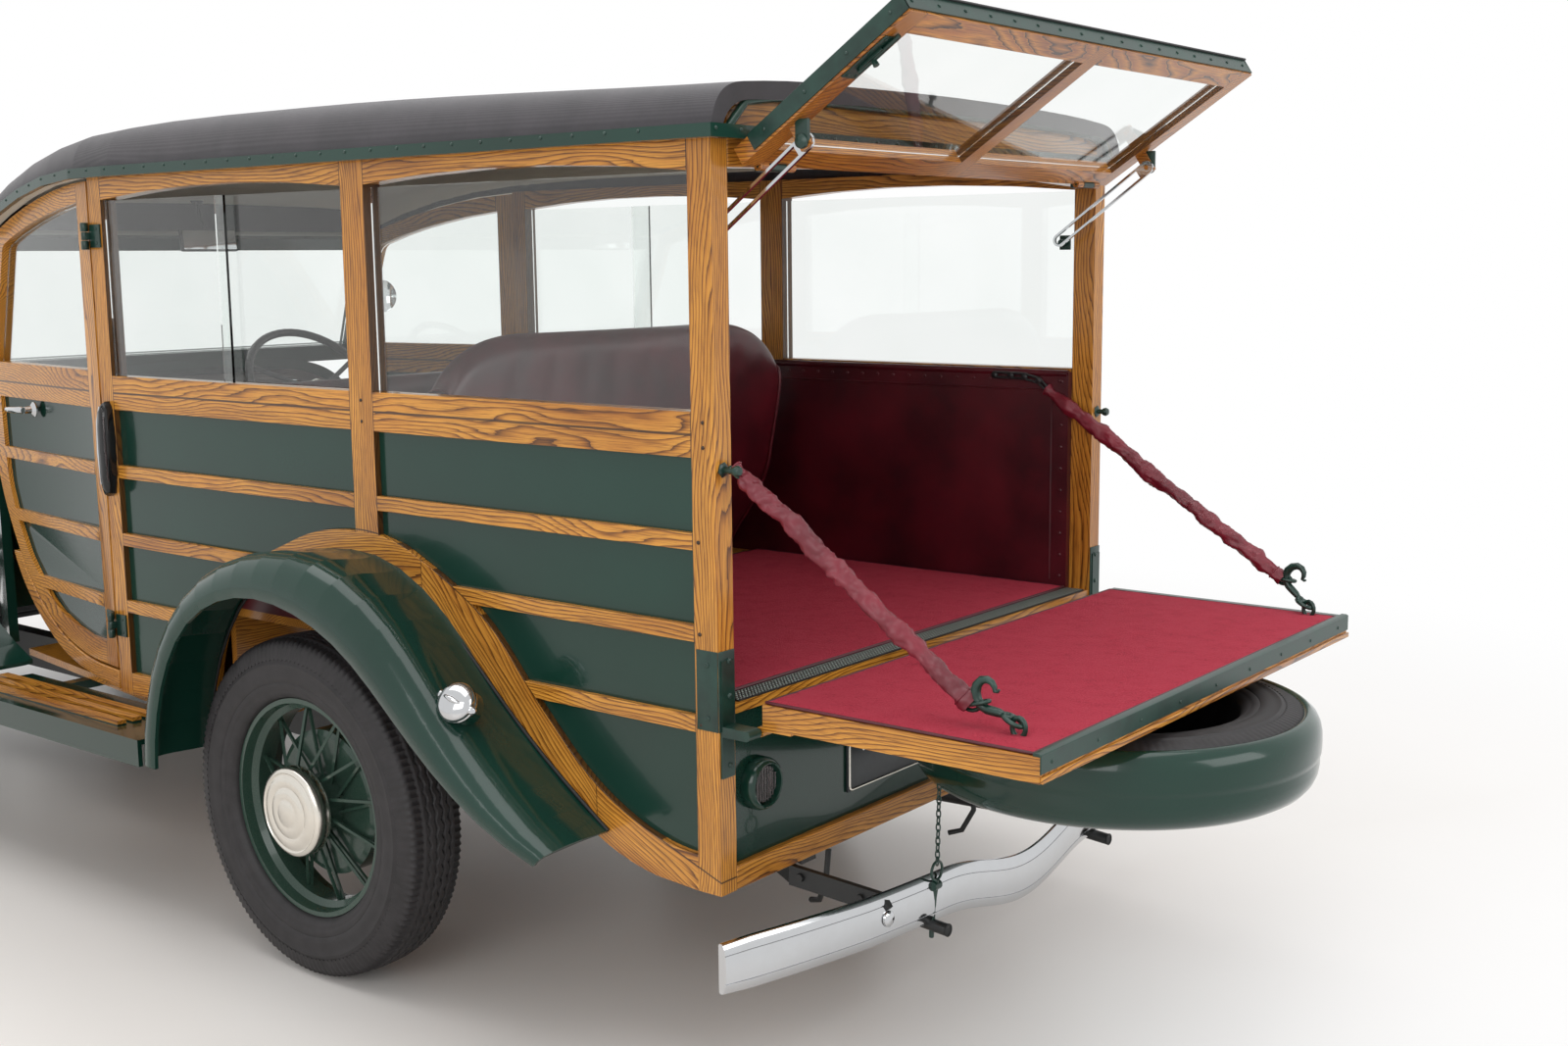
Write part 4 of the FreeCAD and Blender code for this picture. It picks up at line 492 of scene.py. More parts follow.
@dataclass(frozen=True)
class SatinPaint(Finish):
    """Brushed-on chassis black or green iron paint: satin, with grit and dust in the hollows."""

    dark: str = "#17191A"
    light: str = "#2A2C2C"
    roughness: float = 0.45

    def lay(self, nodes: Nodes) -> dict:
        """Lay dust in two scales and a brushed surface.

        Args:
            nodes: The material's nodes.

        Returns:
            What goes into the surface shader's inputs.
        """
        dust = nodes.add("TexNoise", nodes.place, Scale=18.0, Detail=8.0, Roughness=0.7)
        return {"Base Color": nodes.add("ValToRGB", dust, stops=((0.35, self.dark), (0.75, self.light))),
                "Roughness": nodes.add("Math.MULTIPLY_ADD", dust, 0.2, self.roughness - 0.1),
                "Normal": nodes.add("Bump", Height=dust, Strength=0.2, Distance=0.0008)}


@dataclass(frozen=True)
class TyreRubber(Finish):
    """Moulded tyre rubber: dark grey, matt, with road dust in its grooves."""

    dark: str = "#151314"
    light: str = "#2D2A2C"

    def lay(self, nodes: Nodes) -> dict:
        """Lay dust, fine mould grain and a soft sheen.

        Args:
            nodes: The material's nodes.

        Returns:
            What goes into the surface shader's inputs.
        """
        dust = nodes.add("TexNoise", nodes.place, Scale=28.0, Detail=7.0, Roughness=0.65)
        grit = nodes.add("TexNoise", nodes.place, Scale=900.0, Detail=2.0)
        return {"Base Color": nodes.add("ValToRGB", dust, stops=((0.3, self.dark), (0.7, self.light))),
                "Roughness": nodes.add("Math.MULTIPLY_ADD", dust, 0.2, 0.5),
                "Normal": nodes.add("Bump", Height=grit, Strength=0.25, Distance=0.0003)}


@dataclass(frozen=True)
class ClearGlass(Finish):
    """Rolled plate glass of the time: clear, faint green, slight draw lines."""

    tint: str = "#F3F7F5"

    def lay(self, nodes: Nodes) -> dict:
        """Lay clear glass with a very faint waviness.

        Args:
            nodes: The material's nodes.

        Returns:
            What goes into the surface shader's inputs.
        """
        draw = nodes.add("TexNoise", nodes.place, Scale=5.0, Detail=1.0)
        return {"Base Color": nodes.add("Mix.RGBA", draw, self.tint, "#FBFDFC"), "Roughness": 0.0,
                "Transmission Weight": 1.0, "IOR": 1.45,
                "Normal": nodes.add("Bump", Height=draw, Strength=0.03, Distance=0.001)}


ASH_ALONG = VarnishedAsh("ash_varnished_along", Grain.ALONG)
ASH_ACROSS = VarnishedAsh("ash_varnished_across", Grain.ACROSS)
ASH_SIDE = VarnishedAsh("ash_varnished_side_frame", Grain.SIDE)
ASH_REAR = VarnishedAsh("ash_varnished_rear_frame", Grain.ACROSS)
# The liftgate's ash is a darker copy of the gate ash: painted shade for its downward face.
ASH_GATE_PAINTED_SHADE = VarnishedAsh("ash_varnished_gate_painted_shade", Grain.GATE, "#A8652C", "#45240A")
ASH_TAILGATE = VarnishedAsh("ash_varnished_tailgate", Grain.GATE)
ASH_STEP = VarnishedAsh("ash_strips_on_board", Grain.STEP)
ASH_DOOR = {name: VarnishedAsh(f"ash_varnished_door_{name}", Grain.DOOR, side=side)
            for name, side in SIDES.items()}
PANEL_GREEN = GlossPaint("coach_enamel_green")
WHEEL_GREEN = GlossPaint("wheel_enamel_green", "#0D2F26", "#164034", 0.22, 0.1)
GLOSS_BLACK = GlossPaint("black_gloss_case", "#08080A", "#131316", 0.12)
IRON = SatinPaint("iron_fittings_green", "#0E2A23", "#1F4238", 0.32)
BLACK = SatinPaint("chassis_black")
DARK_PLUG = SatinPaint("dark_timber_plug", "#2A1808", "#3A240E", 0.5)
PLATE_BLACK = SatinPaint("plate_black_enamel", "#22262A", "#343A3E", 0.35)
DASH = SatinPaint("dashboard_bronze_paint", "#3A2A22", "#57443A", 0.4)
DIAL = SatinPaint("instrument_dial_cream", "#CFC8B4", "#E4DECC", 0.5)
ROOF_CLOTH = CoatedFabric("rubberised_roof_cloth")
HIDE = Leather("leather_maroon")
SLEEVE_HIDE = Leather("leather_sleeve_maroon", "#4E0716", "#84162C", 1.6, 0.5)
BINDING = Leather("carpet_binding_maroon", "#3A0712", "#571020", 1.2, 0.6)
PILE = PileCarpet("wool_pile_carpet_red")
CHROME = BrightMetal("chromium_plate")
POLISHED = BrightMetal("polished_nickel_cap", "#E2DDD3", 0.16, 0.1, 60.0)
DARK_METAL = BrightMetal("ribbed_steel_sill", "#8E9A94", 0.32, 0.2, 50.0)
RUBBER = TyreRubber("tyre_rubber")
BLACK_RUBBER = TyreRubber("black_rubber_strip", "#0E0E0F", "#1C1C1D")
GLASS = ClearGlass("plate_glass")
LENS = ClearGlass("ribbed_lamp_glass", "#D8DAD6")
RED_LENS = ClearGlass("red_lamp_glass", "#C01A12")
TAIL_LENS = ClearGlass("ribbed_tail_lens", "#9C6A66")


# Shapes
@dataclass
class Shape:
    """A mesh put together from simple forms, each with its finish."""

    name: str
    verts: list = field(default_factory=list)
    faces: list = field(default_factory=list)
    marks: list = field(default_factory=list)
    finishes: list = field(default_factory=list)

    def add(self, verts: Sequence[Point], faces: Sequence[Sequence[int]], finish: Finish) -> None:
        """Add corners and faces.

        Args:
            verts: The corners.
            faces: Faces by corner number, from 0.
            finish: The finish of these faces.
        """
        if finish not in self.finishes:
            self.finishes.append(finish)
        base = len(self.verts)
        self.verts += [tuple(v) for v in verts]
        self.faces += [tuple(base + i for i in f) for f in faces]
        self.marks += [self.finishes.index(finish)] * len(faces)

    def block(self, low: Point, high: Point, finish: Finish, turn: Matrix | None = None,
              cut: float = 0.0015) -> None:
        """Add a block with chamfered edges.

        Args:
            low: Its lowest corner.
            high: Its highest corner.
            finish: Its finish.
            turn: A placement for it.
            cut: The chamfer.
        """
        bm = bmesh.new()
        bmesh.ops.create_cube(bm, size=1.0)
        for v in bm.verts:
            v.co = Vector([lo + (c + 0.5) * (hi - lo) for c, lo, hi in zip(v.co, low, high)])
        cut = min([cut] + [abs(hi - lo) * 0.4 for lo, hi in zip(low, high)])
        bmesh.ops.bevel(bm, geom=list(bm.edges), offset=cut, segments=2, affect="EDGES", profile=0.6)
        self.take(bm, finish, turn)

    def take(self, bm: bmesh.types.BMesh, finish: Finish, turn: Matrix | None = None) -> None:
        """Add a bmesh and free it.

        Args:
            bm: The bmesh.
            finish: Its finish.
            turn: A placement for it.
        """
        if turn is not None:
            bm.transform(turn)
        bm.verts.index_update()
        self.add([v.co[:] for v in bm.verts], [[v.index for v in f.verts] for f in bm.faces], finish)
        bm.free()

    def lathe(self, centre: Point, axis: Point, profile: Sequence[tuple[float, float]], finish: Finish,
              steps: int = 48, closed: bool = False) -> None:
        """Add a turned form.

        Args:
            centre: Where its axis starts.
            axis: The way its axis points.
            profile: Distances along the axis and from it.
            finish: Its finish.
            steps: Faces round it.
            closed: True where the profile is a closed loop.
        """
        line = Vector(axis).normalized()
        side = line.orthogonal().normalized()
        up = line.cross(side)
        verts, faces = [], []
        count = len(profile)
        for step in range(steps):
            angle = 2 * math.pi * step / steps
            out = side * math.cos(angle) + up * math.sin(angle)
            verts += [Vector(centre) + line * along + out * radius for along, radius in profile]
        for step in range(steps):
            here, there = step * count, (step + 1) % steps * count
            for i in range(count if closed else count - 1):
                j = (i + 1) % count
                faces.append((here + i, here + j, there + j, there + i))
        if not closed:
            faces.append([step * count for step in range(steps)])
            faces.append([step * count + count - 1 for step in reversed(range(steps))])
        self.add(verts, faces, finish)

    def tube(self, points: Sequence[Point], radius: float | Sequence[float], finish: Finish,
             sides: int = 10, closed: bool = False) -> None:
        """Add a round bar along points.

        Args:
            points: Its centre line.
            radius: Its radius, or one at each point.
            finish: Its finish.
            sides: Faces round it.
            closed: True where it is a ring.
        """
        line = [Vector(p) for p in points]
        count = len(line)
        radii = [radius] * count if isinstance(radius, (int, float)) else list(radius)
        verts, faces = [], []
        side = None
        for i, point in enumerate(line):
            if closed:
                way = line[(i + 1) % count] - line[i - 1]
            else:
                way = line[min(i + 1, count - 1)] - line[max(i - 1, 0)]
            way.normalize()
            side = way.orthogonal() if side is None else side - way * side.dot(way)
            side.normalize()
            up = way.cross(side)
            for k in range(sides):
                angle = 2 * math.pi * k / sides
                verts.append(point + (side * math.cos(angle) + up * math.sin(angle)) * radii[i])
        for i in range(count if closed else count - 1):
            here, there = i * sides, (i + 1) % count * sides
            for k in range(sides):
                n = (k + 1) % sides
                faces.append((here + k, here + n, there + n, there + k))
        if not closed:
            faces.append(list(reversed(range(sides))))
            faces.append(list(range((count - 1) * sides, count * sides)))
        self.add(verts, faces, finish)

    def plate(self, outline: Sequence[Point], depth: Point, finish: Finish) -> None:
        """Add a flat plate.

        Args:
            outline: The corners of one face.
            depth: The step to the other face.
            finish: Its finish.
        """
        front = [Vector(p) for p in outline]
        verts = front + [p + Vector(depth) for p in front]
        n = len(front)
        faces = [list(range(n)), list(reversed(range(n, 2 * n)))]
        faces += [(i, (i + 1) % n, n + (i + 1) % n, n + i) for i in range(n)]
        self.add(verts, faces, finish)

    def grid(self, rows: Sequence[Sequence[Point]], finish: Finish, round_rows: bool = False,
             round_columns: bool = False) -> None:
        """Add a surface through rows of points.

        Args:
            rows: Rows with as many points each.
            finish: Its finish.
            round_rows: True where the last row meets the first.
            round_columns: True where each row closes on itself.
        """
        wide, tall = len(rows[0]), len(rows)
        faces = []
        for r in range(tall if round_rows else tall - 1):
            for c in range(wide if round_columns else wide - 1):
                n, m = (r + 1) % tall, (c + 1) % wide
                faces.append((r * wide + c, r * wide + m, n * wide + m, n * wide + c))
        self.add([p for row in rows for p in row], faces, finish)

    def build(self, body: str, slot: str | None = None, angle: float = 32, bevel: float = 0) -> Object:
        """Make the object and let it ride on a body.

        Args:
            body: The CAD body that carries it.
            slot: Not used.
            angle: Edges sharper than this stay sharp, in degrees.
            bevel: Width of a live bevel on them.

        Returns:
            The object.
        """
        obj = self.loose(angle, bevel)
        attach(obj, body)
        return obj

    def loose(self, angle: float = 32, bevel: float = 0) -> Object:
        """Make the object without a body.

        Args:
            angle: Edges sharper than this stay sharp, in degrees.
            bevel: Width of a live bevel on them.

        Returns:
            The object.
        """
        mesh = bpy.data.meshes.new(self.name)
        mesh.from_pydata(self.verts, [], self.faces)
        mesh.validate()
        for finish in self.finishes:
            mesh.materials.append(finish.material())
        if len(self.marks) == len(mesh.polygons):
            mesh.polygons.foreach_set("material_index", self.marks)
        bm = bmesh.new()
        bm.from_mesh(mesh)
        bmesh.ops.remove_doubles(bm, verts=bm.verts, dist=1e-6)
        return place_mesh(bm, mesh, angle, bevel)


def place_mesh(bm: bmesh.types.BMesh, mesh: bpy.types.Mesh, angle: float, bevel: float) -> Object:
    """Write a cleaned bmesh to its mesh, shade it and put it in the scene.

    Args:
        bm: The bmesh, which is freed.
        mesh: The mesh it goes to.
        angle: Edges sharper than this stay sharp, in degrees.
        bevel: Width of a live bevel on them.

    Returns:
        The object.
    """
    bmesh.ops.recalc_face_normals(bm, faces=bm.faces)
    bm.to_mesh(mesh)
    bm.free()
    mesh.shade_smooth()
    mesh.set_sharp_from_angle(angle=math.radians(angle))
    obj = bpy.data.objects.new(mesh.name, mesh)
    bpy.context.scene.collection.objects.link(obj)
    if bevel:
        soften(obj, bevel)
    return obj


def soften(obj: Object, width: float) -> None:
    """Round an object's sharp edges with a live bevel.

    Args:
        obj: The object.
        width: The bevel's width.
    """
    bevel = obj.modifiers.new("Rounded edges", "BEVEL")
    bevel.width = width
    bevel.segments = 2
    bevel.limit_method = "ANGLE"
    bevel.angle_limit = math.radians(40)
    bevel.harden_normals = False


def node_copy(node: str, name: str, finish: Finish, body: str, bevel: float = 0.0018) -> Object:
    """Stand in for a CAD node by a merged copy with rounded edges.

    Args:
        node: The CAD node.
        name: The copy's name.
        finish: Its finish.
        body: The body that carries it.
        bevel: How far its edges are rounded.

    Returns:
        The copy.
    """
    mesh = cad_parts[node].data.copy()
    mesh.name = name
    mesh.materials.clear()
    mesh.materials.append(finish.material())
    mesh.polygons.foreach_set("material_index", [0] * len(mesh.polygons))
    bm = bmesh.new()
    bm.from_mesh(mesh)
    bmesh.ops.remove_doubles(bm, verts=bm.verts, dist=2e-5)
    bmesh.ops.dissolve_limit(bm, angle_limit=math.radians(2.0), verts=bm.verts, edges=bm.edges)
    obj = place_mesh(bm, mesh, 30, bevel)
    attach(obj, body)
    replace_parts(obj, node)
    return obj


def dress(node: str, finish: Finish) -> None:
    """Give a CAD node its finish, with its mesh left alone.

    Args:
        node: The CAD node.
        finish: Its finish.
    """
    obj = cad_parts[node]
    if not obj.data.materials:
        obj.data.materials.append(finish.material())
    for slot in obj.material_slots:
        slot.material = finish.material()


# Repeated pieces
@dataclass
class Repeats:
    """Node trees that set small pieces along a path, made once and used by many sub-assemblies."""

    made: dict = field(default_factory=dict)

    def start(self, name: str, **values: object) -> tuple[Nodes, Node]:
        """Start a geometry tree with its named inputs.

        Args:
            name: The tree's name.
            values: The inputs and their values, beside the geometry and the finish.

        Returns:
            The tree's nodes and its group input.
        """
        tree = self.made[name] = bpy.data.node_groups.new(name, "GeometryNodeTree")
        tree.interface.new_socket("Geometry", in_out="INPUT", socket_type="NodeSocketGeometry")
        for label, value in values.items():
            kind = "NodeSocketFloat" if isinstance(value, float) else "NodeSocketVector"
            tree.interface.new_socket(label, in_out="INPUT", socket_type=kind).default_value = value
        tree.interface.new_socket("Finish", in_out="INPUT", socket_type="NodeSocketMaterial")
        tree.interface.new_socket("Geometry", in_out="OUTPUT", socket_type="NodeSocketGeometry")
        nodes = Nodes(tree)
        return nodes, nodes.add("NodeGroupInput")

    def close(self, nodes: Nodes, spots: Node, piece: Node, turn: Node, start: Node) -> Tree:
        """Set a piece on each spot and end the tree in Realize Instances and Set Material.

        Args:
            nodes: The tree's nodes.
            spots: The node of points.
            piece: The node of the piece.
            turn: The node of its rotation.
            start: The tree's group input.

        Returns:
            The tree.
        """
        many = nodes.add("GeometryNodeInstanceOnPoints", spots, Instance=piece, Rotation=turn)
        real = nodes.add("GeometryNodeRealizeInstances", many)
        done = nodes.add("GeometryNodeSetMaterial", real, Material=start.outputs["Finish"])
        nodes.add("NodeGroupOutput", done).is_active_output = True
        return nodes.tree

    def screw_tree(self) -> Tree:
        """Flattened round screw heads at even steps along a path, all facing one way.

        Returns:
            The tree.
        """
        if "screw_row" in self.made:
            return self.made["screw_row"]
        nodes, start = self.start("screw_row", Spacing=0.05, Radius=0.003, Facing=(0.0, 0.0, 1.0))
        add, given = nodes.add, start.outputs
        path = add("GeometryNodeMeshToCurve", given["Geometry"])
        spots = add("GeometryNodeResampleCurve", path, Length=given["Spacing"], mode="LENGTH")
        head = add("GeometryNodeMeshUVSphere", Segments=10, Rings=6, Radius=given["Radius"])
        flat = add("GeometryNodeTransform", head, Scale=(1.0, 1.0, 0.5))
        turn = add("FunctionNodeAlignRotationToVector", Vector=given["Facing"], axis="Z")
        return self.close(nodes, spots, flat, turn, start)

    def link_tree(self) -> Tree:
        """Oval chain links along a path, each turned a quarter from the last.

        Returns:
            The tree.
        """
        if "chain_links" in self.made:
            return self.made["chain_links"]
        nodes, start = self.start("chain_links", Spacing=0.015, Radius=0.006, Wire=0.0016)
        add, given = nodes.add, start.outputs
        path = add("GeometryNodeMeshToCurve", given["Geometry"])
        spots = add("GeometryNodeCurveToPoints", path, Length=given["Spacing"], mode="LENGTH")
        ring = add("GeometryNodeCurvePrimitiveCircle", Resolution=12, Radius=given["Radius"])
        oval = add("GeometryNodeTransform", ring, Scale=(0.72, 1.45, 1.0), Rotation=(math.pi / 2, 0.0, 0.0))
        wire = add("GeometryNodeCurvePrimitiveCircle", Resolution=6, Radius=given["Wire"])
        odd = add("Math.MODULO", add("GeometryNodeInputIndex"), 2.0)
        spin = add("CombineXYZ", Z=add("Math.MULTIPLY", odd, math.pi / 2))
        turned = add("FunctionNodeRotateRotation", spots.outputs["Rotation"], spin, rotation_space="LOCAL")
        return self.close(nodes, spots, add("GeometryNodeCurveToMesh", oval, wire), turned, start)

    def along(self, name: str, tree: Tree, paths: Sequence[Sequence[Point]], body: str | None,
              slot: str, finish: Finish, **values: object) -> Object:
        """Run a tree on paths and keep the plain mesh.

        Args:
            name: The piece's name.
            tree: The tree.
            paths: Lines of points.
            body: The body that carries it, or none.
            slot: Not used.
            finish: Its finish.
            values: The tree's other inputs by name.

        Returns:
            The piece.
        """
        values["Finish"] = finish.material()
        verts, edges = [], []
        for path in paths:
            edges += [(len(verts) + i, len(verts) + i + 1) for i in range(len(path) - 1)]
            verts += [tuple(p) for p in path]
        mesh = bpy.data.meshes.new(name + "_path")
        mesh.from_pydata(verts, edges, [])
        obj = bpy.data.objects.new(name, mesh)
        bpy.context.scene.collection.objects.link(obj)
        modifier = obj.modifiers.new("Repeats", "NODES")
        modifier.node_group = tree
        for item in tree.interface.items_tree:
            if getattr(item, "in_out", "") == "INPUT" and item.name in values:
                modifier[item.identifier] = values[item.name]
        graph = bpy.context.evaluated_depsgraph_get()
        result = bpy.data.meshes.new_from_object(obj.evaluated_get(graph))
        obj.modifiers.clear()
        obj.data = result
        result.name = name
        result.shade_smooth()
        result.set_sharp_from_angle(angle=math.radians(50))
        if body:
            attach(obj, body)
        return obj

    def screws(self, name: str, paths: Sequence[Sequence[Point]], facing: Point, body: str,
               spacing: float, radius: float, finish: Finish = IRON) -> Object:
        """Rows of screw heads.

        Args:
            name: The piece's name.
            paths: The rows.
            facing: The way the heads face.
            body: The body that carries them.
            spacing: The step between heads.
            radius: A head's radius.
            finish: Their finish.

        Returns:
            The piece.
        """
        return self.along(name, self.screw_tree(), paths, body, "green_paint", finish,
                          Spacing=spacing, Radius=radius, Facing=tuple(facing))


REPEATS = Repeats()


# The studio
@dataclass
class Studio:
    """Pale floor, plain soft light and the camera at the photograph's place."""

    camera_place: Point = (-3.7051, 2.8521, 1.4559)
    yaw: float = -51.90
    pitch: float = -8.68
    roll: float = -0.539
    focal_px: float = 1769.3
    frame_px: float = 1600.0
    film_mm: float = 36.0
    floor_half: float = 40.0

    def build(self) -> None:
        """Set the floor, the lights, the world and the camera."""
        bpy.context.scene.view_settings.view_transform = "Standard"
        self.floor()
        self.world()
        self.lights()
        self.camera()

    def seen(self, nodes: Nodes) -> Node:
        """Tell what is looked at, straight or in metal and glass, from what only gets light.

        Args:
            nodes: The nodes of the floor or the world.

        Returns:
            The node that is one where it is looked at.
        """
        ray = nodes.add("LightPath").outputs
        bent = nodes.add("Math.MAXIMUM", ray["Is Glossy Ray"], ray["Is Transmission Ray"])
        return nodes.add("Math.MAXIMUM", ray["Is Camera Ray"], bent)

    def floor(self) -> None:
        """A wide pale floor with faint polish marks, white where it is far or behind the car."""
        half = self.floor_half
        mesh = bpy.data.meshes.new("floor")
        corners = [(-half, -half, 0), (half, -half, 0), (half, half, 0), (-half, half, 0)]
        mesh.from_pydata(corners, [], [(0, 1, 2, 3)])
        floor = bpy.data.objects.new("studio_floor", mesh)
        bpy.context.scene.collection.objects.link(floor)
        item = bpy.data.materials.new("painted_studio_floor")
        item.use_nodes = True
        nodes = Nodes(item.node_tree)
        add, shader = nodes.add, item.node_tree.nodes["Principled BSDF"]
        place = add("TexCoord").outputs["Object"]
        marks = add("Math.MULTIPLY", add("TexNoise", place, Scale=1.4, Detail=5.0), 0.35)
        nodes.give(shader, {"Base Color": add("Mix.RGBA", marks, "#F2EEEA", "#D5CFC9"),
                           "Roughness": 0.3, "Specular IOR Level": 0.4})
        reach = add("VectorMath.LENGTH", add("VectorMath.SUBTRACT", place, (0.0, 0.9, 0.0)))
        far = add("MapRange", reach, 1.9, 5.6, interpolation_type="SMOOTHSTEP")
        forward = add("SeparateXYZ", place).outputs["X"]
        behind = add("MapRange", forward, -1.6, -3.3, interpolation_type="SMOOTHSTEP")
        fade = add("Math.MULTIPLY", add("Math.MAXIMUM", far, behind), self.seen(nodes))
        mixed = add("MixShader", fade, shader, add("Emission", "#FFFFFF", 1.0))
        nodes.give(item.node_tree.nodes["Material Output"], {"Surface": mixed})
        mesh.materials.append(item)

    def world(self) -> None:
        """A white room: what the camera, metal and glass see is white, its light is softer."""
        world = bpy.context.scene.world = bpy.data.worlds.new("white_room")
        world.use_nodes = True
        nodes = Nodes(world.node_tree)
        strength = nodes.add("Math.MULTIPLY_ADD", self.seen(nodes), 0.35, 0.65)
        nodes.give(world.node_tree.nodes["Background"], {"Color": "#FFFFFF", "Strength": strength})

    def lights(self) -> None:
        """A wide bank overhead, one beside the car and one behind it."""
        for name, place, aim, size, power in (
                ("overhead_bank", (-0.5, 0.4, 5.2), (-0.5, 0.0, 0.5), (6.5, 4.5), 185.0),
                ("side_bank", (-3.2, 5.6, 2.9), (-0.9, 0.0, 0.8), (4.0, 2.6), 90.0),
                ("rear_bank", (-6.6, -0.6, 2.8), (-1.6, 0.0, 0.8), (3.0, 2.4), 60.0)):
            light = bpy.data.lights.new(name, "AREA")
            light.shape = "RECTANGLE"
            light.size, light.size_y = size
            light.energy = power
            obj = bpy.data.objects.new(name, light)
            obj.location = place
            obj.rotation_euler = (Vector(aim) - Vector(place)).to_track_quat("-Z", "Y").to_euler()
            bpy.context.scene.collection.objects.link(obj)

    def camera(self) -> None:
        """The camera, from its place, its turn and its focal length in pixels."""
        yaw, pitch, roll = (math.radians(a) for a in (self.yaw, self.pitch, self.roll))
        ahead = Vector((math.cos(pitch) * math.cos(yaw), math.cos(pitch) * math.sin(yaw), math.sin(pitch)))
        right = ahead.cross(UP).normalized()
        up = right.cross(ahead)
        side = right * math.cos(roll) + up * math.sin(roll)
        top = up * math.cos(roll) - right * math.sin(roll)
        data = bpy.data.cameras.new("photographers_camera")
        data.sensor_width = self.film_mm
        data.lens = self.focal_px / self.frame_px * self.film_mm
        data.clip_end = 200.0
        camera = bpy.data.objects.new("photographers_camera", data)
        turn = Matrix((side, top, -ahead)).transposed().to_4x4()
        camera.matrix_world = Matrix.Translation(self.camera_place) @ turn
        bpy.context.scene.collection.objects.link(camera)
        bpy.context.scene.camera = camera


# Running gear
@dataclass
class RoadWheel:
    """A tyre with its moulded tread, and the polished cap on the wire wheel."""

    node: str
    centre: Point
    outward: float
    body: str
    radius: float = 0.355
    half_width: float = 0.074
    bead: float = 0.229
    steps: int = 432
    blocks: int = 72
    cap_radius: float = 0.0925
    lug_reach: int = 7
    lug_share: float = 0.34

    def build(self) -> None:
        """Make the tyre and, for a road wheel, its cap."""
        self.tyre()
        if self.body.startswith("wheel"):
            self.cap()

    def wall(self) -> list[tuple[float, float]]:
        """The outer half of the section, from the tread's edge to the bead.

        Returns:
            Distances across and radii.
        """
        w, r, b = self.half_width, self.radius, self.bead
        below = ((0.72, 4.5), (0.80, 8), (0.86, 14), (0.90, 22), (0.935, 30), (0.955, 36), (0.975, 42),
                 (0.960, 44.5), (0.985, 50), (1.008, 52.5), (1.008, 54.5), (0.992, 57), (1.0, 68),
                 (0.992, 78), (0.975, 89), (0.950, 91), (0.96, 93.5), (0.925, 104), (0.895, 107),
                 (0.90, 109.5), (0.84, 117))
        side = [(w * share, r - depth / 1000) for share, depth in below]
        return side + [(w * 0.78, b + 0.004), (w * 0.74, b + 0.002), (w * 0.66, b)]

    def tread(self, across: float, turn: float) -> float:
        """The radius on the tread.

        Args:
            across: Place across, from -1 to 1.
            turn: Place round, in blocks.

        Returns:
            The radius.
        """
        crown = self.radius - 0.0045 * abs(across) ** 2.4
        zigzag = 0.055 * (abs(turn % 1 * 2 - 1) * 2 - 1)
        if abs(across) > 0.70 and turn * 2 % 1 < self.lug_share:
            return crown - 0.005
        ribs = (-0.48, -0.17, 0.17, 0.48)
        return crown - (0.0055 if any(abs(across - rib - zigzag) < 0.034 for rib in ribs) else 0.0)

    def tyre(self) -> None:
        """The tyre as rings of section points, with zigzag ribs and shoulder lugs."""
        wall = self.wall()[::-1]
        half = self.half_width * 0.72
        x, y, z = self.centre
        rows = []
        for step in range(self.steps):
            turn = step / self.steps * self.blocks
            cut = 0.0042 if turn * 2 % 1 < self.lug_share else 0.0
            section = [(a, r - (cut if len(wall) - self.lug_reach <= i else 0.0))
                       for i, (a, r) in enumerate(wall)]
            points = [(-a, r) for a, r in section]
            points += [(half * i / 22, self.tread(i / 22, turn)) for i in range(-21, 22)]
            points += section[::-1]
            c, s = math.cos(2 * math.pi * step / self.steps), math.sin(2 * math.pi * step / self.steps)
            rows.append([(x + r * s, y + a, z + r * c) if self.outward else (x + r * s, y + r * c, z + a)
                         for a, r in points])
        shape = Shape(self.node.replace("tyre", "moulded_tyre"))
        shape.grid(rows, RUBBER, round_rows=True, round_columns=True)
        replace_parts(shape.build(self.body, "tyre_rubber", 50), self.node)

    def cap(self) -> None:
        """The domed cap with its turned rings."""
        low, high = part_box(self.node.replace("tyre", "wheel"))
        face = high.y if self.outward > 0 else low.y
        profile = [(along / 1000, self.cap_radius * share) for along, share in (
            (-34, 0.985), (-30, 1), (-6, 1), (-2, 0.965), (0.2, 0.90), (-2.2, 0.875), (-2.2, 0.84),
            (1.2, 0.80), (3.8, 0.62), (2, 0.585), (2.2, 0.56), (5.2, 0.52), (6.6, 0.34), (5.8, 0.315),
            (7.2, 0.29))] + [(0.0082, 0.0001)]
        shape = Shape(self.node.replace("tyre", "hub_cap"))
        shape.lathe((self.centre[0], face, self.centre[2]), (0, self.outward, 0), profile, POLISHED, 72)
        shape.build(self.body, "lamp_chrome", 60)


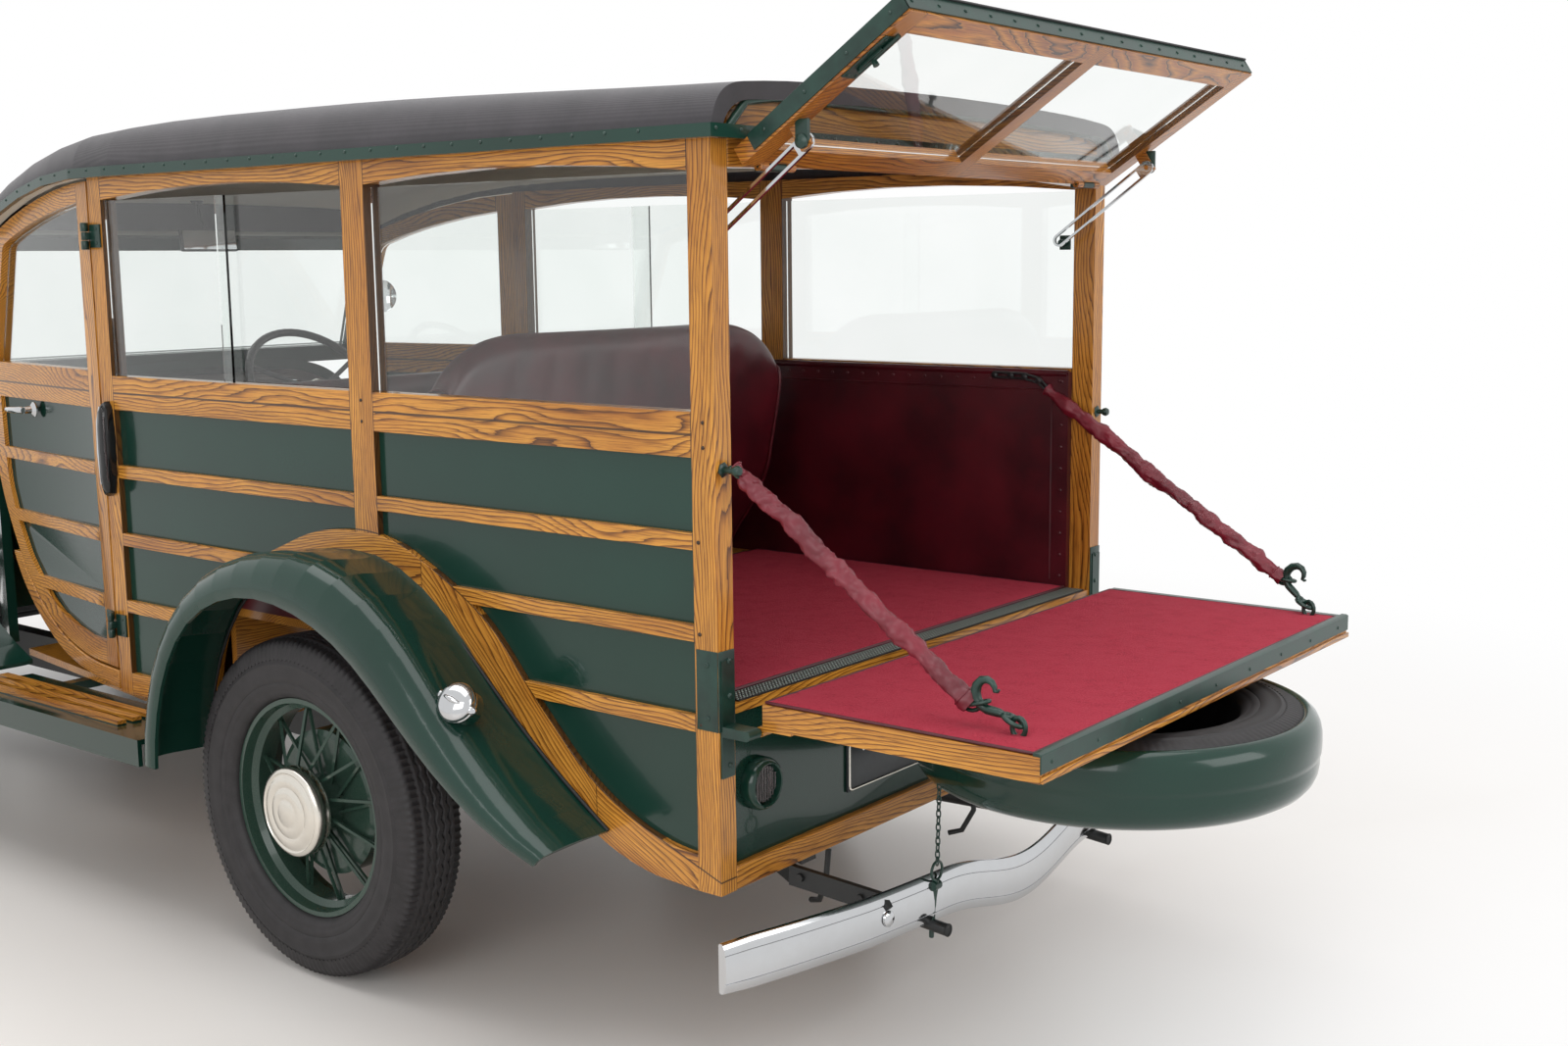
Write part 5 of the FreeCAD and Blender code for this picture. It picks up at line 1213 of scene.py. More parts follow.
# Bodywork
@dataclass
class Bodywork:
    """Timber, panels and sheet metal that keep their CAD shapes, the timber with rounded edges."""

    timber_edge: float = 0.0022

    def build(self) -> None:
        """Dress every carried-over node."""
        timbers = [(f"side_frame_{name}", f"side_timber_{name}", ASH_SIDE) for name in SIDES]
        timbers += [("rear_frame", "rear_timber", ASH_REAR), ("door_sills", "door_sill_timber", ASH_ALONG)]
        for node, name, finish in timbers:
            node_copy(node, name, finish, "car", self.timber_edge)
        for finish, names in (
                (PANEL_GREEN, "side_panels rear_panel cowl bonnet_left bonnet_right bonnet_sides"
                              " rear_fender_left rear_fender_right front_fender_left front_fender_right"
                              " headlamps roof_gutter"),
                (ASH_STEP, "running_boards"),
                (IRON, "rear_hinges"),
                (WHEEL_GREEN, "wheel_front_left wheel_front_right wheel_rear_left wheel_rear_right"),
                (ROOF_CLOTH, "roof_cover"),
                (GLASS, "window_glass door_glass_left door_glass_right liftgate_glass"),
                (CHROME, "liftgate_stays grille"),
                (BLACK, "chassis_frame front_axle rear_axle knuckle_left knuckle_right tie_rod"
                        " steering_column exhaust engine_block steering_wheel"),
                (DASH, "dashboard"),
                (ASH_ACROSS, "floor"),
                (HIDE, "side_linings")):
            for name in names.split():
                dress(name, finish)



# Shared forms

def ring(centre: Point, along: Point, across: Point, long: float, wide: float,
        steps: int = 14) -> list[Vector]:
    """Points of an oval loop.

    Args:
        centre: Its centre.
        along: The way of its length.
        across: The way of its width.
        long: Half its length.
        wide: Half its width.
        steps: How many points.

    Returns:
        The points.
    """
    u = Vector(along).normalized()
    v = Vector(across)
    v = (v - u * v.dot(u)).normalized()
    turns = [2 * math.pi * i / steps for i in range(steps)]
    return [Vector(centre) + u * long * math.cos(t) + v * wide * math.sin(t) for t in turns]


def pile_mat(name: str, low: Point, high: Point, body: str,
        replaced: str | None = None) -> tuple[Object, Object]:
    """A cut-pile carpet laid flat, with its sewn leather binding.

    Args:
        name: The carpet's name.
        low: Its lowest corner.
        high: Its highest corner.
        body: The body that carries it.
        replaced: The CAD node that it stands for.

    Returns:
        The carpet and its binding.
    """
    step = 0.0075
    wide, long = high[0] - low[0], high[1] - low[1]
    nx, ny = round(wide / step), round(long / step)
    rows = []
    for i in range(-1, nx + 2):
        row = []
        for j in range(-1, ny + 2):
            x = low[0] + wide * min(max(i, 0), nx) / nx
            y = low[1] + long * min(max(j, 0), ny) / ny
            edge = min(i, nx - i, j, ny - j)
            z = low[2] if edge < 0 else high[2] - (0.0022 if edge == 0 else 0.0)
            if edge >= 0:
                z += 0.0009 * noise.noise((x * 34, y * 34, 3.1)) + (
                    0.0007 * noise.noise((x * 190, y * 190, 0)))
            row.append((x, y, z))
        rows.append(row)
    shape = Shape(name)
    shape.grid(rows, PILE)
    shape.add([rows[0][0], rows[-1][0], rows[-1][-1], rows[0][-1]], [(0, 1, 2, 3)], PILE)
    carpet = shape.build(body, "red_carpet", 60)
    if replaced:
        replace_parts(carpet, replaced)
    edge = Shape(name + "_binding")
    z = (low[2] + high[2]) / 2
    corners = [(low[0], low[1]), (high[0], low[1]), (high[0], high[1]), (low[0], high[1])]
    line = []
    for (ax, ay), (bx, by) in zip(corners, corners[1:] + corners[:1]):
        line += [(ax + (bx - ax) * t / 24, ay + (by - ay) * t / 24, z) for t in range(24)]
    edge.tube(line, (high[2] - low[2]) * 0.52, BINDING, 8, True)
    binding = edge.build(body, "maroon_leather", 70)
    return carpet, binding


def rim_path(node: str, keep: Callable[[Vector], bool], order: Callable[[Vector], float],
        out: Callable[[Vector], float], cells: int = 26) -> list[Vector]:
    """The outermost line of a CAD node, in steps.

    Args:
        node: The CAD node.
        keep: True for corners that may lie on the line.
        order: A corner's place along the line.
        out: How far out a corner is.
        cells: How many steps.

    Returns:
        One point for each step that has corners.
    """
    found = [v.co.copy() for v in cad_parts[node].data.vertices if keep(v.co)]
    low, high = min(map(order, found)), max(map(order, found))
    best: dict[int, Vector] = {}
    for co in found:
        cell = int((order(co) - low) / (high - low + 1e-9) * cells)
        if cell not in best or out(co) > out(best[cell]):
            best[cell] = co
    return [best[cell] for cell in sorted(best)]


# Tailgate and what hangs from it
@dataclass
class Tailgate:
    """The lowered tailgate: timber, carpet, iron channel, eyes and hooks."""

    front: float = -1.9155
    back: float = -2.45
    half: float = 0.634
    top: float = 0.711
    foot: float = 0.669
    channel_wide: float = 0.032
    channel_tall: float = 0.027
    eyes: tuple = ((-2.37, 0.56, 0.712), (-2.386, -0.588, 0.712))
    sleeve_ends: tuple = ((-2.284, 0.56, 0.753), (-2.325, -0.5985, 0.783))

    def build(self) -> None:
        """Make every piece on the tailgate."""
        node_copy("tailgate", "tailgate_timber", ASH_TAILGATE, "tailgate", 0.002)
        pile_mat("tailgate_carpet", (self.back + 0.014, -0.606, self.top + 0.0002),
            (self.front - 0.005, 0.629, self.top + 0.0058), "tailgate")
        self.channel()
        self.hooks()
        self.under()

    def channel(self) -> None:
        """The folded iron channel along the rear edge and the right edge, with its screws."""
        sheet, top, tall = 0.0024, self.top, self.channel_tall
        shape = Shape("tailgate_channel")
        back = self.back
        fold = [(back - sheet, top - tall), (back - sheet, top + 0.0035), (back + 0.002, top + 0.0055),
            (back + 0.012, top + 0.0055), (back + 0.013, top), (back, top), (back, top - tall)]
        shape.plate([(x, -self.half - sheet, z) for x, z in fold], (0, 2 * self.half + sheet, 0), IRON)
        low = [(-self.half - sheet, top - tall), (-self.half - sheet, top + 0.0028),
            (-self.half + 0.022, top + 0.0028), (-self.half + 0.022, top), (-self.half, top),
            (-self.half, top - tall)]
        shape.plate([(self.front, y, z) for y, z in low], (back - self.front + 0.002, 0, 0), IRON)
        shape.block((back - 0.0052, -self.half - 0.001, self.foot + 0.0005),
            (back + 0.001, self.half - 0.001, self.foot + 0.0105), ASH_ACROSS, None, 0.001)
        shape.build("tailgate", "green_paint", 32, 0.0007)
        face = back - sheet - 0.0002
        level = top - tall * 0.5
        REPEATS.screws("tailgate_channel_screws", [[(face, -0.58, level), (face, 0.6, level)]], (-1, 0, 0),
            "tailgate", 0.147, 0.0034)
        side = -self.half - sheet - 0.0002
        REPEATS.screws("tailgate_side_screws", [[(back + 0.03, side, level),
            (self.front - 0.03, side, level)]], (0, -1, 0), "tailgate", 0.118, 0.0034)

    def hooks(self) -> None:
        """An eye plate, a joining link, a grab hook and the last chain link at each side."""
        shape = Shape("tailgate_hooks")
        for eye, end in zip(self.eyes, self.sleeve_ends):
            eye, end = Vector(eye), Vector(end)
            up = UP
            run = end - eye
            flat = Vector((run.x, run.y, 0)).normalized()
            shape.lathe(eye + up * 0.0005, (0, 0, 1), [(0, 0.016), (0.002, 0.0155), (0.0032, 0.013),
                (0.0034, 0.0001)], IRON, 28)
            shape.tube(ring(eye + up * 0.016, up, flat, 0.016, 0.012), 0.0042, IRON, 10, True)
            shape.tube(ring(eye + up * 0.026 + flat * 0.01, flat + up * 0.45, flat.cross(up), 0.0185,
                0.012), 0.0042, IRON, 10, True)
            base = eye + up * 0.031 + flat * 0.018
            u = (end - base).normalized()
            w = Vector((-0.55, 0, 1.0)) - u * Vector((-0.55, 0, 1.0)).dot(u)
            w.normalize()
            outline = [(-6, 0), (-1.8, 6.4), (5, 7.5), (9.5, 3), (9.5, -3), (5, -7.5), (-1.8, -6.4)]
            shape.tube([base + u * a / 1000 + u.cross(w) * b / 1000 for a, b in outline], 0.0044, IRON, 10,
                True)
            bill = [(9, 0, 4.0), (16, 0.5, 5.0), (26, 0, 5.4), (36, -0.5, 5.4), (46, 2, 5.6), (54, 8, 5.9),
                (58, 17, 6.0), (57, 27, 5.6), (51, 35, 5.0), (42, 38, 4.4), (34, 36, 3.8), (29, 31, 3.2),
                (27, 26, 2.6), (23, 27, 2.0), (21, 30, 1.4)]
            shape.tube([base + u * a / 890 + w * b / 800 for a, b, _ in bill], [r / 690 for *_, r in bill],
                IRON, 12)
            throat = base + u * 0.047 + w * 0.01
            shape.tube(ring(throat.lerp(end, 0.35), end - throat, u.cross(w), 0.017, 0.0105), 0.0036, IRON,
                10, True)
            shape.tube(ring(throat.lerp(end, 0.92), end - throat, w, 0.017, 0.0105), 0.0036, IRON, 10, True)
        shape.build("tailgate", "green_paint", 60)

    def under(self) -> None:
        """Iron straps under the tailgate that the pin chain and the spare carrier bolt to."""
        shape = Shape("tailgate_straps")
        low = self.foot - 0.0045
        for y in (0.31, -0.31):
            shape.block((-2.16, y - 0.02, low), (-1.99, y + 0.02, self.foot + 0.0005), IRON)
            for x in (-2.145, -2.005):
                shape.lathe((x, y, low - 0.004), (0, 0, 1), [(0, 0.0001), (0, 0.0062), (0.004, 0.0066)],
                    IRON, 6)
        shape.tube(ring((-2.065, 0.31, low - 0.009), (0, 0, 1), (1, 0, 0), 0.01, 0.007), 0.0022, IRON, 8,
            True)
        shape.build("tailgate", "green_paint", 40)


@dataclass
class ChainSleeves:
    """Crumpled leather sleeves over the stay chains, and the irons at their upper ends."""

    starts: tuple = ((-1.866, 0.64, 1.11), (-1.751, -0.612, 1.156))
    ends: tuple = ((-2.284, 0.56, 0.753), (-2.325, -0.5985, 0.783))
    radius: float = 0.0165
    rings: int = 150
    sides: int = 26

    def build(self) -> None:
        """Make the sleeves, the pin chain and the upper irons."""
        self.sleeves()
        self.upper_irons()
        self.pin_chain()

    def sleeves(self) -> None:
        """Both sleeves as one piece, from the posts down to the tailgate."""
        shape = Shape("leather_chain_sleeves")
        for number, (start, end) in enumerate(zip(self.starts, self.ends)):
            start, end = Vector(start), Vector(end)
            way = (end - start).normalized()
            side = way.orthogonal().normalized()
            up = way.cross(side)
            rows = []
            for i in range(self.rings + 1):
                t = i / self.rings
                seed = 17.3 * number
                sway = Vector((noise.noise((t * 7, seed, 0)), noise.noise((t * 7, seed, 5)),
                    noise.noise((t * 7, seed, 9)))) * 0.006 * math.sin(math.pi * t)
                centre = start.lerp(end, t) + sway
                swell = 1 + 0.3 * noise.noise((t * 12, seed, 2)) + 0.14 * noise.noise((t * 33, seed, 4))
                swell *= 1 - 0.34 * math.exp(-((t - 0.02) / 0.03) ** 2) - 0.22 * math.exp(
                    -((t - 0.95) / 0.02) ** 2)
                row = []
                for k in range(self.sides):
                    a = 2 * math.pi * k / self.sides
                    twist = a + 9.0 * t + 1.5 * noise.noise((t * 5, seed, 7))
                    fold = noise.noise((math.cos(twist) * 1.3, math.sin(twist) * 1.3, t * 25 + seed))
                    crease = abs(noise.noise((math.cos(twist) * 2.2, math.sin(twist) * 2.2, t * 44 + seed)))
                    r = self.radius * (swell * (1 + 0.32 * fold) - 0.32 * crease + 0.03)
                    flat = 1 - 0.22 * abs(math.sin(a + 0.8))
                    row.append(centre + (side * math.cos(a) * flat + up * math.sin(a)) * r)
                rows.append(row)
            cap_in = [[start.lerp(end, 0.01)] * self.sides]
            cap_out = [[start.lerp(end, 0.985)] * self.sides]
            shape.grid(cap_in + rows + cap_out, SLEEVE_HIDE, round_columns=True)
            seam = [row[6] for row in rows[3:-3:2]]
            shape.tube(seam, 0.0013, SLEEVE_HIDE, 6)
            for at in (0.006, 0.972):
                hem = [rows[int(at * self.rings)][k] for k in range(self.sides)]
                shape.tube(hem, 0.0019, SLEEVE_HIDE, 6, True)
        sleeve = shape.loose(70)
        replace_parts(sleeve, "tailgate_chains")
        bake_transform(sleeve)

    def upper_irons(self) -> None:
        """The eye bolt through the left post and the slotted plate on the right rail."""
        shape = Shape("sleeve_upper_irons")
        for y in (0.655, -0.655):
            reach = -1.883 if y > 0 else -1.874
            shape.tube([(-1.852, y, 1.108), (-1.86, y, 1.108), (reach, y, 1.108)], 0.0055, IRON, 12)
            shape.lathe((-1.8525, y, 1.108), (-1, 0, 0), [(0, 0.013), (0.003, 0.0135), (0.005, 0.011),
                (0.0052, 0.0001)], IRON, 6)
            shape.lathe((reach, y, 1.108), (-1, 0, 0), [(-0.004, 0.0001), (-0.003, 0.008), (0.003, 0.0095),
                (0.008, 0.007), (0.009, 0.0001)], IRON, 18)
        shape.tube(ring((-1.874, 0.647, 1.104), (-0.4, -0.5, -0.6), (0, 1, 0.3), 0.013, 0.0085), 0.0028,
            IRON, 10, True)
        bar = [(-1.612, -0.6125, 1.185), (-1.655, -0.612, 1.185), (-1.692, -0.611, 1.184),
            (-1.729, -0.611, 1.176), (-1.752, -0.612, 1.156)]
        for low in (0.0055, -0.0055):
            shape.tube([(x, y, z + low) for x, y, z in bar], 0.0034, BLACK, 10)
        for x, y, z in bar:
            shape.lathe((x, y - 0.002, z), (0, 1, 0), [(0, 0.0085), (0.004, 0.008), (0.0055, 0.006),
                (0.0058, 0.0001)], BLACK, 16)
        shape.build("car", "green_paint", 45)

    def pin_chain(self) -> None:
        """The chain that keeps the carrier pin, from the tailgate strap down to the bumper tube."""
        top, foot = Vector((-2.065, 0.31, 0.655)), Vector((-2.058, 0.31, 0.372))
        path = [top.lerp(foot, t / 12) for t in range(13)]
        chain = REPEATS.along("pin_chain_links", REPEATS.link_tree(), [path], None, "green_paint", IRON,
            Spacing=0.0128, Radius=0.0058, Wire=0.0015)
        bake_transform(chain)
        shape = Shape("carrier_pin")
        shape.tube(ring((-2.057, 0.31, 0.354), (0, 0, 1), (0, 1, 0), 0.0175, 0.0175, 22), 0.0026, IRON, 10,
            True)
        shape.tube([(-2.057, 0.31, 0.338), (-2.054, 0.31, 0.325), (-2.05, 0.31, 0.3), (-2.047, 0.31, 0.262),
            (-2.046, 0.31, 0.225)], [0.0045, 0.006, 0.006, 0.006, 0.0045], IRON, 12)
        shape.tube([(-2.054, 0.3, 0.326), (-2.054, 0.32, 0.326)], 0.009, IRON, 12)
        shape.build("car", "green_paint", 45)


# Liftgate
@dataclass
class Liftgate:
    """The raised liftgate: timber, edge iron with its rivets, latch, and stay ends."""

    hinge: tuple = (-1.881, 1.606)
    lift: float = 32.9
    length: float = 0.392
    half: float = 0.627
    thick: float = 0.032

    def at(self, back: float, side: float, high: float) -> Vector:
        """A point of the raised gate.

        Args:
            back: Distance from the hinge.
            side: Place to the left.
            high: Distance outward from the inner face.

        Returns:
            The point in the car's frame.
        """
        c, s = math.cos(math.radians(self.lift)), math.sin(math.radians(self.lift))
        return Vector((self.hinge[0] - back * c + high * s, side, self.hinge[1] + back * s + high * c))

    def build(self) -> None:
        """Make the timber in darker ash with painted shade, the edge iron and the fittings."""
        # The timber takes the darker ash: painted shade on the raised gate's underside.
        node_copy("liftgate", "liftgate_timber", ASH_GATE_PAINTED_SHADE, "liftgate", 0.0016)
        self.edge_iron()
        self.latch()
        self.stay_ends()

    def strip(self, shape: Shape, start: tuple, end: tuple, finish: Finish) -> None:
        """Add a bar between two corners given in the gate's own distances.

        Args:
            shape: The shape that it joins.
            start: One corner.
            end: The corner opposite.
            finish: Its finish.
        """
        corners = [(a, b, c) for a in (start[0], end[0]) for b in (start[1], end[1])
            for c in (start[2], end[2])]
        shape.add([self.at(*corner) for corner in corners], [(0, 1, 3, 2), (4, 6, 7, 5), (0, 4, 5, 1),
            (2, 3, 7, 6), (0, 2, 6, 4), (1, 5, 7, 3)], finish)

    def edge_iron(self) -> None:
        """Folded iron over both sides and the lower edge, a rubber lip above it, and rivets."""
        shape = Shape("liftgate_edge_iron")
        deep, far, sheet = 0.0045, self.length, 0.0022
        for side in (1, -1):
            edge = side * self.half
            self.strip(shape, (0.035, edge, deep), (far + sheet, edge + side * sheet, self.thick + sheet),
                IRON)
            self.strip(shape, (0.035, edge - side * 0.013, self.thick),
                (far + sheet, edge, self.thick + sheet), IRON)
        wide = self.half + sheet
        self.strip(shape, (far, -wide, deep), (far + sheet, wide, self.thick + sheet), IRON)
        self.strip(shape, (far - 0.013, -wide, self.thick), (far, wide, self.thick + sheet), IRON)
        self.strip(shape, (far - 0.002, -wide, self.thick + sheet), (far + 0.0055, wide,
            self.thick + 0.006), BLACK_RUBBER)
        shape.build("liftgate", "green_paint", 30, 0.0006)
        face, level = far + sheet + 0.0003, 0.02
        toward = self.at(1, 0, 0) - self.at(0, 0, 0)
        REPEATS.screws("liftgate_rear_rivets", [[self.at(face, -0.6, level), self.at(face, 0.61, level)]],
            toward, "liftgate", 0.075, 0.0034)
        edge = self.half + sheet + 0.0003
        for name, side in SIDES.items():
            REPEATS.screws(f"liftgate_{name}_rivets", [[self.at(0.07, side * edge, level),
                self.at(far - 0.03, side * edge, level)]], (0, side, 0), "liftgate", 0.094, 0.0032)

    def latch(self) -> None:
        """The bolt plate on the left rail's inner face."""
        shape = Shape("liftgate_latch")
        self.strip(shape, (0.235, 0.588, -0.0028), (0.335, 0.624, 0.0), IRON)
        self.strip(shape, (0.262, 0.596, -0.0075), (0.312, 0.612, -0.0028), IRON)
        shape.tube([self.at(0.255, 0.604, -0.006), self.at(0.345, 0.604, -0.006)], 0.0042, IRON, 12)
        shape.tube([self.at(0.287, 0.604, -0.006), self.at(0.287, 0.604, -0.018)], [0.004, 0.0055], IRON,
            12)
        for a, b in ((0.242, 0.595), (0.242, 0.617), (0.328, 0.595), (0.328, 0.617)):
            shape.lathe(self.at(a, b, -0.0028), self.at(0, 0, -1) - self.at(0, 0, 0),
                [(0, 0.0034), (0.001, 0.003), (0.0015, 0.0001)], IRON, 12)
        shape.build("liftgate", "green_paint", 32, 0.0005)

    def stay_ends(self) -> None:
        """Round bosses over the stay lugs and the clamp screws on the posts."""
        shape = Shape("stay_bosses")
        low = Shape("stay_slide_brackets")
        for side in (1, -1):
            eye = self.at(0.112, side * 0.6105, -0.032)
            shape.lathe(eye, (0, side, 0), [(-0.001, 0.0115), (0.002, 0.0125), (0.006, 0.0118),
                (0.0085, 0.008), (0.0092, 0.0001)], IRON, 24)
            shape.block(Vector((eye.x - 0.013, eye.y - 0.0035, eye.z)),
                Vector((eye.x + 0.013, eye.y + 0.0035, eye.z + 0.035)), IRON)
            place = Vector((-1.775, side * 0.6325, 1.4845))
            low.block(Vector((place.x - 0.02, min(place.y, place.y - side * 0.006), place.z - 0.016)),
                Vector((place.x + 0.006, max(place.y, place.y - side * 0.006), place.z + 0.016)), IRON)
            low.lathe((place.x - 0.006, place.y - side * 0.006, place.z), (0, -side, 0),
                [(0, 0.008), (0.012, 0.0075), (0.018, 0.0065), (0.0185, 0.0001)], IRON, 20)
        shape.build("liftgate", "green_paint", 40)
        low.build("car", "green_paint", 40)


# Rear of the body
@dataclass
class RearTrim:
    """Tail lamps, blank number plate, threshold strip, roof studs and moulding, and hinge screws."""

    plate_low: tuple = (-0.215, 0.456)
    plate_high: tuple = (0.292, 0.56)
    lamp_side: float = 0.556
    lamp_level: float = 0.542

    def build(self) -> None:
        """Make each piece."""
        self.tail_lamps()
        self.number_plate()
        self.threshold()
        self.roof_studs()
        self.hinge_screws()
        self.roof_moulding()

    def tail_lamps(self) -> None:
        """Green pressed rims round ribbed pink-grey lenses."""
        shape = Shape("tail_lamp_set")
        for side in (1, -1):
            centre = (-1.8405, side * self.lamp_side, self.lamp_level)
            rim = [(0.0, 0.0475), (0.012, 0.0475), (0.019, 0.0455), (0.0235, 0.0425), (0.0255, 0.039),
                (0.0245, 0.0365), (0.019, 0.035), (0.008, 0.0345), (0.006, 0.0335)]
            shape.lathe(centre, (-1, 0, 0), rim + [(0.006, 0.0001)], PANEL_GREEN, 56)
            inner = 0.0335
            for k in range(-4, 5):
                y = k * 0.0072
                half = math.sqrt(max(inner ** 2 - y ** 2, 0.0)) - 0.0012
                if half > 0.004:
                    shape.tube([(-1.8405 - 0.0125 - 0.002 * math.cos(k / 4), side * self.lamp_side + y,
                        self.lamp_level + half * t) for t in (-1, -0.5, 0, 0.5, 1)], 0.0034, TAIL_LENS, 8)
        obj = shape.build("car", "tail_lamp_red", 40)
        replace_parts(obj, "tail_lamps")

    def number_plate(self) -> None:
        """A blank pressed plate with its raised border and two bolts."""
        shape = Shape("blank_number_plate")
        (y0, z0), (y1, z1) = self.plate_low, self.plate_high
        shape.block((-1.8455, y0, z0), (-1.8405, y1, z1), PLATE_BLACK, None, 0.0015)
        ring_line = []
        for cy, cz, start in ((y1 - 0.012, z1 - 0.012, 0), (y0 + 0.012, z1 - 0.012, 90),
                (y0 + 0.012, z0 + 0.012, 180), (y1 - 0.012, z0 + 0.012, 270)):
            for step in range(5):
                angle = math.radians(start + step * 22.5)
                ring_line.append((-1.8462, cy + 0.008 * math.cos(angle), cz + 0.008 * math.sin(angle)))
        shape.tube(ring_line, 0.0024, POLISHED, 8, True)
        for y in (y0 + 0.05, y1 - 0.05):
            shape.lathe((-1.8452, y, z1 - 0.026), (-1, 0, 0), [(0, 0.0062), (0.0022, 0.0056),
                (0.003, 0.0001)], POLISHED, 16)
        shape.build("car", "black_frame", 40)

    def threshold(self) -> None:
        """The ribbed steel strip at the end of the cargo floor, and the carpet that meets it."""
        shape = Shape("threshold_plate")
        left, right, low = -1.85, -1.803, 0.7022
        shape.block((left, -0.616, low), (right, 0.616, low + 0.003), BLACK_RUBBER, None, 0.0008)
        shape.build("car", "black_frame", 30)
        rows = [[(left + 0.007 + k * 0.0083, -0.612, low + 0.0026), (left + 0.007 + k * 0.0083, 0.612,
            low + 0.0026)] for k in range(5)]
        REPEATS.screws("threshold_studs", rows, (0, 0, 1), "car", 0.0085, 0.0031, DARK_METAL)
        pile_mat("cargo_floor_carpet", (right + 0.003, -0.612, 0.7022), (-0.9, 0.612, 0.7095), "car",
            "cargo_carpet")

    def roof_studs(self) -> None:
        """Small pins along the roof moulding and the gutter."""
        for name, side in SIDES.items():
            path = rim_path("roof_gutter", lambda co: co.y * side > 0.3 and co.x > -1.84 and co.x < 0.55,
                lambda co: co.x, lambda co: co.y * side + co.z * 0.2)
            path = [Vector((p.x, p.y + side * 0.0005, p.z - 0.006)) for p in path]
            REPEATS.screws(f"roof_pins_{name}", [path], (0, side, 0.25), "car", 0.075, 0.0034)
        arc = rim_path("roof_gutter", lambda co: co.x < -1.85 and co.z > 1.66, lambda co: co.y,
            lambda co: co.z - co.x)
        arc = [Vector((p.x - 0.0008, p.y, p.z - 0.008)) for p in arc]
        REPEATS.screws("roof_pins_rear", [arc], (-1, 0, 0.2), "car", 0.062, 0.0034)

    def hinge_screws(self) -> None:
        """Coach screws on the tailgate hinge plates."""
        paths = [[(-1.8595, side * 0.652, 0.6), (-1.8595, side * 0.652, 0.782)] for side in (1, -1)]
        REPEATS.screws("tailgate_hinge_screws", paths, (-1, 0, 0), "car", 0.054, 0.0052)
        shape = Shape("post_foot_irons")
        for side in (1, -1):
            y0, y1 = sorted((side * 0.6765, side * 0.6745))
            shape.block((-1.853, y0, 0.66), (-1.806, y1, 0.8), IRON)
            shape.block((-1.8565, min(side * 0.634, side * 0.676), 0.66),
                (-1.8535, max(side * 0.634, side * 0.676), 0.8), IRON)
            for z in (0.682, 0.775):
                shape.lathe((-1.83, side * 0.6765, z), (0, side, 0), [(0, 0.0052), (0.0015, 0.0046),
                    (0.0025, 0.0001)], IRON, 14)
        shape.build("car", "green_paint", 30, 0.0005)

    def roof_moulding(self) -> None:
        """The half-round moulding between the roof cloth and the board in the roof's end."""
        arc = rim_path("rear_frame", lambda co: co.z > 1.66 and co.x < -1.82, lambda co: co.y,
            lambda co: co.z, 40)
        line = [(-1.868, 0.655, 1.658)] + [(-1.868, p.y, p.z + 0.003) for p in reversed(arc)] + [
            (-1.868, -0.655, 1.658)]
        shape = Shape("roof_end_moulding")
        shape.tube(line, 0.0075, PANEL_GREEN, 12)
        shape.build("car", "green_paint", 50)


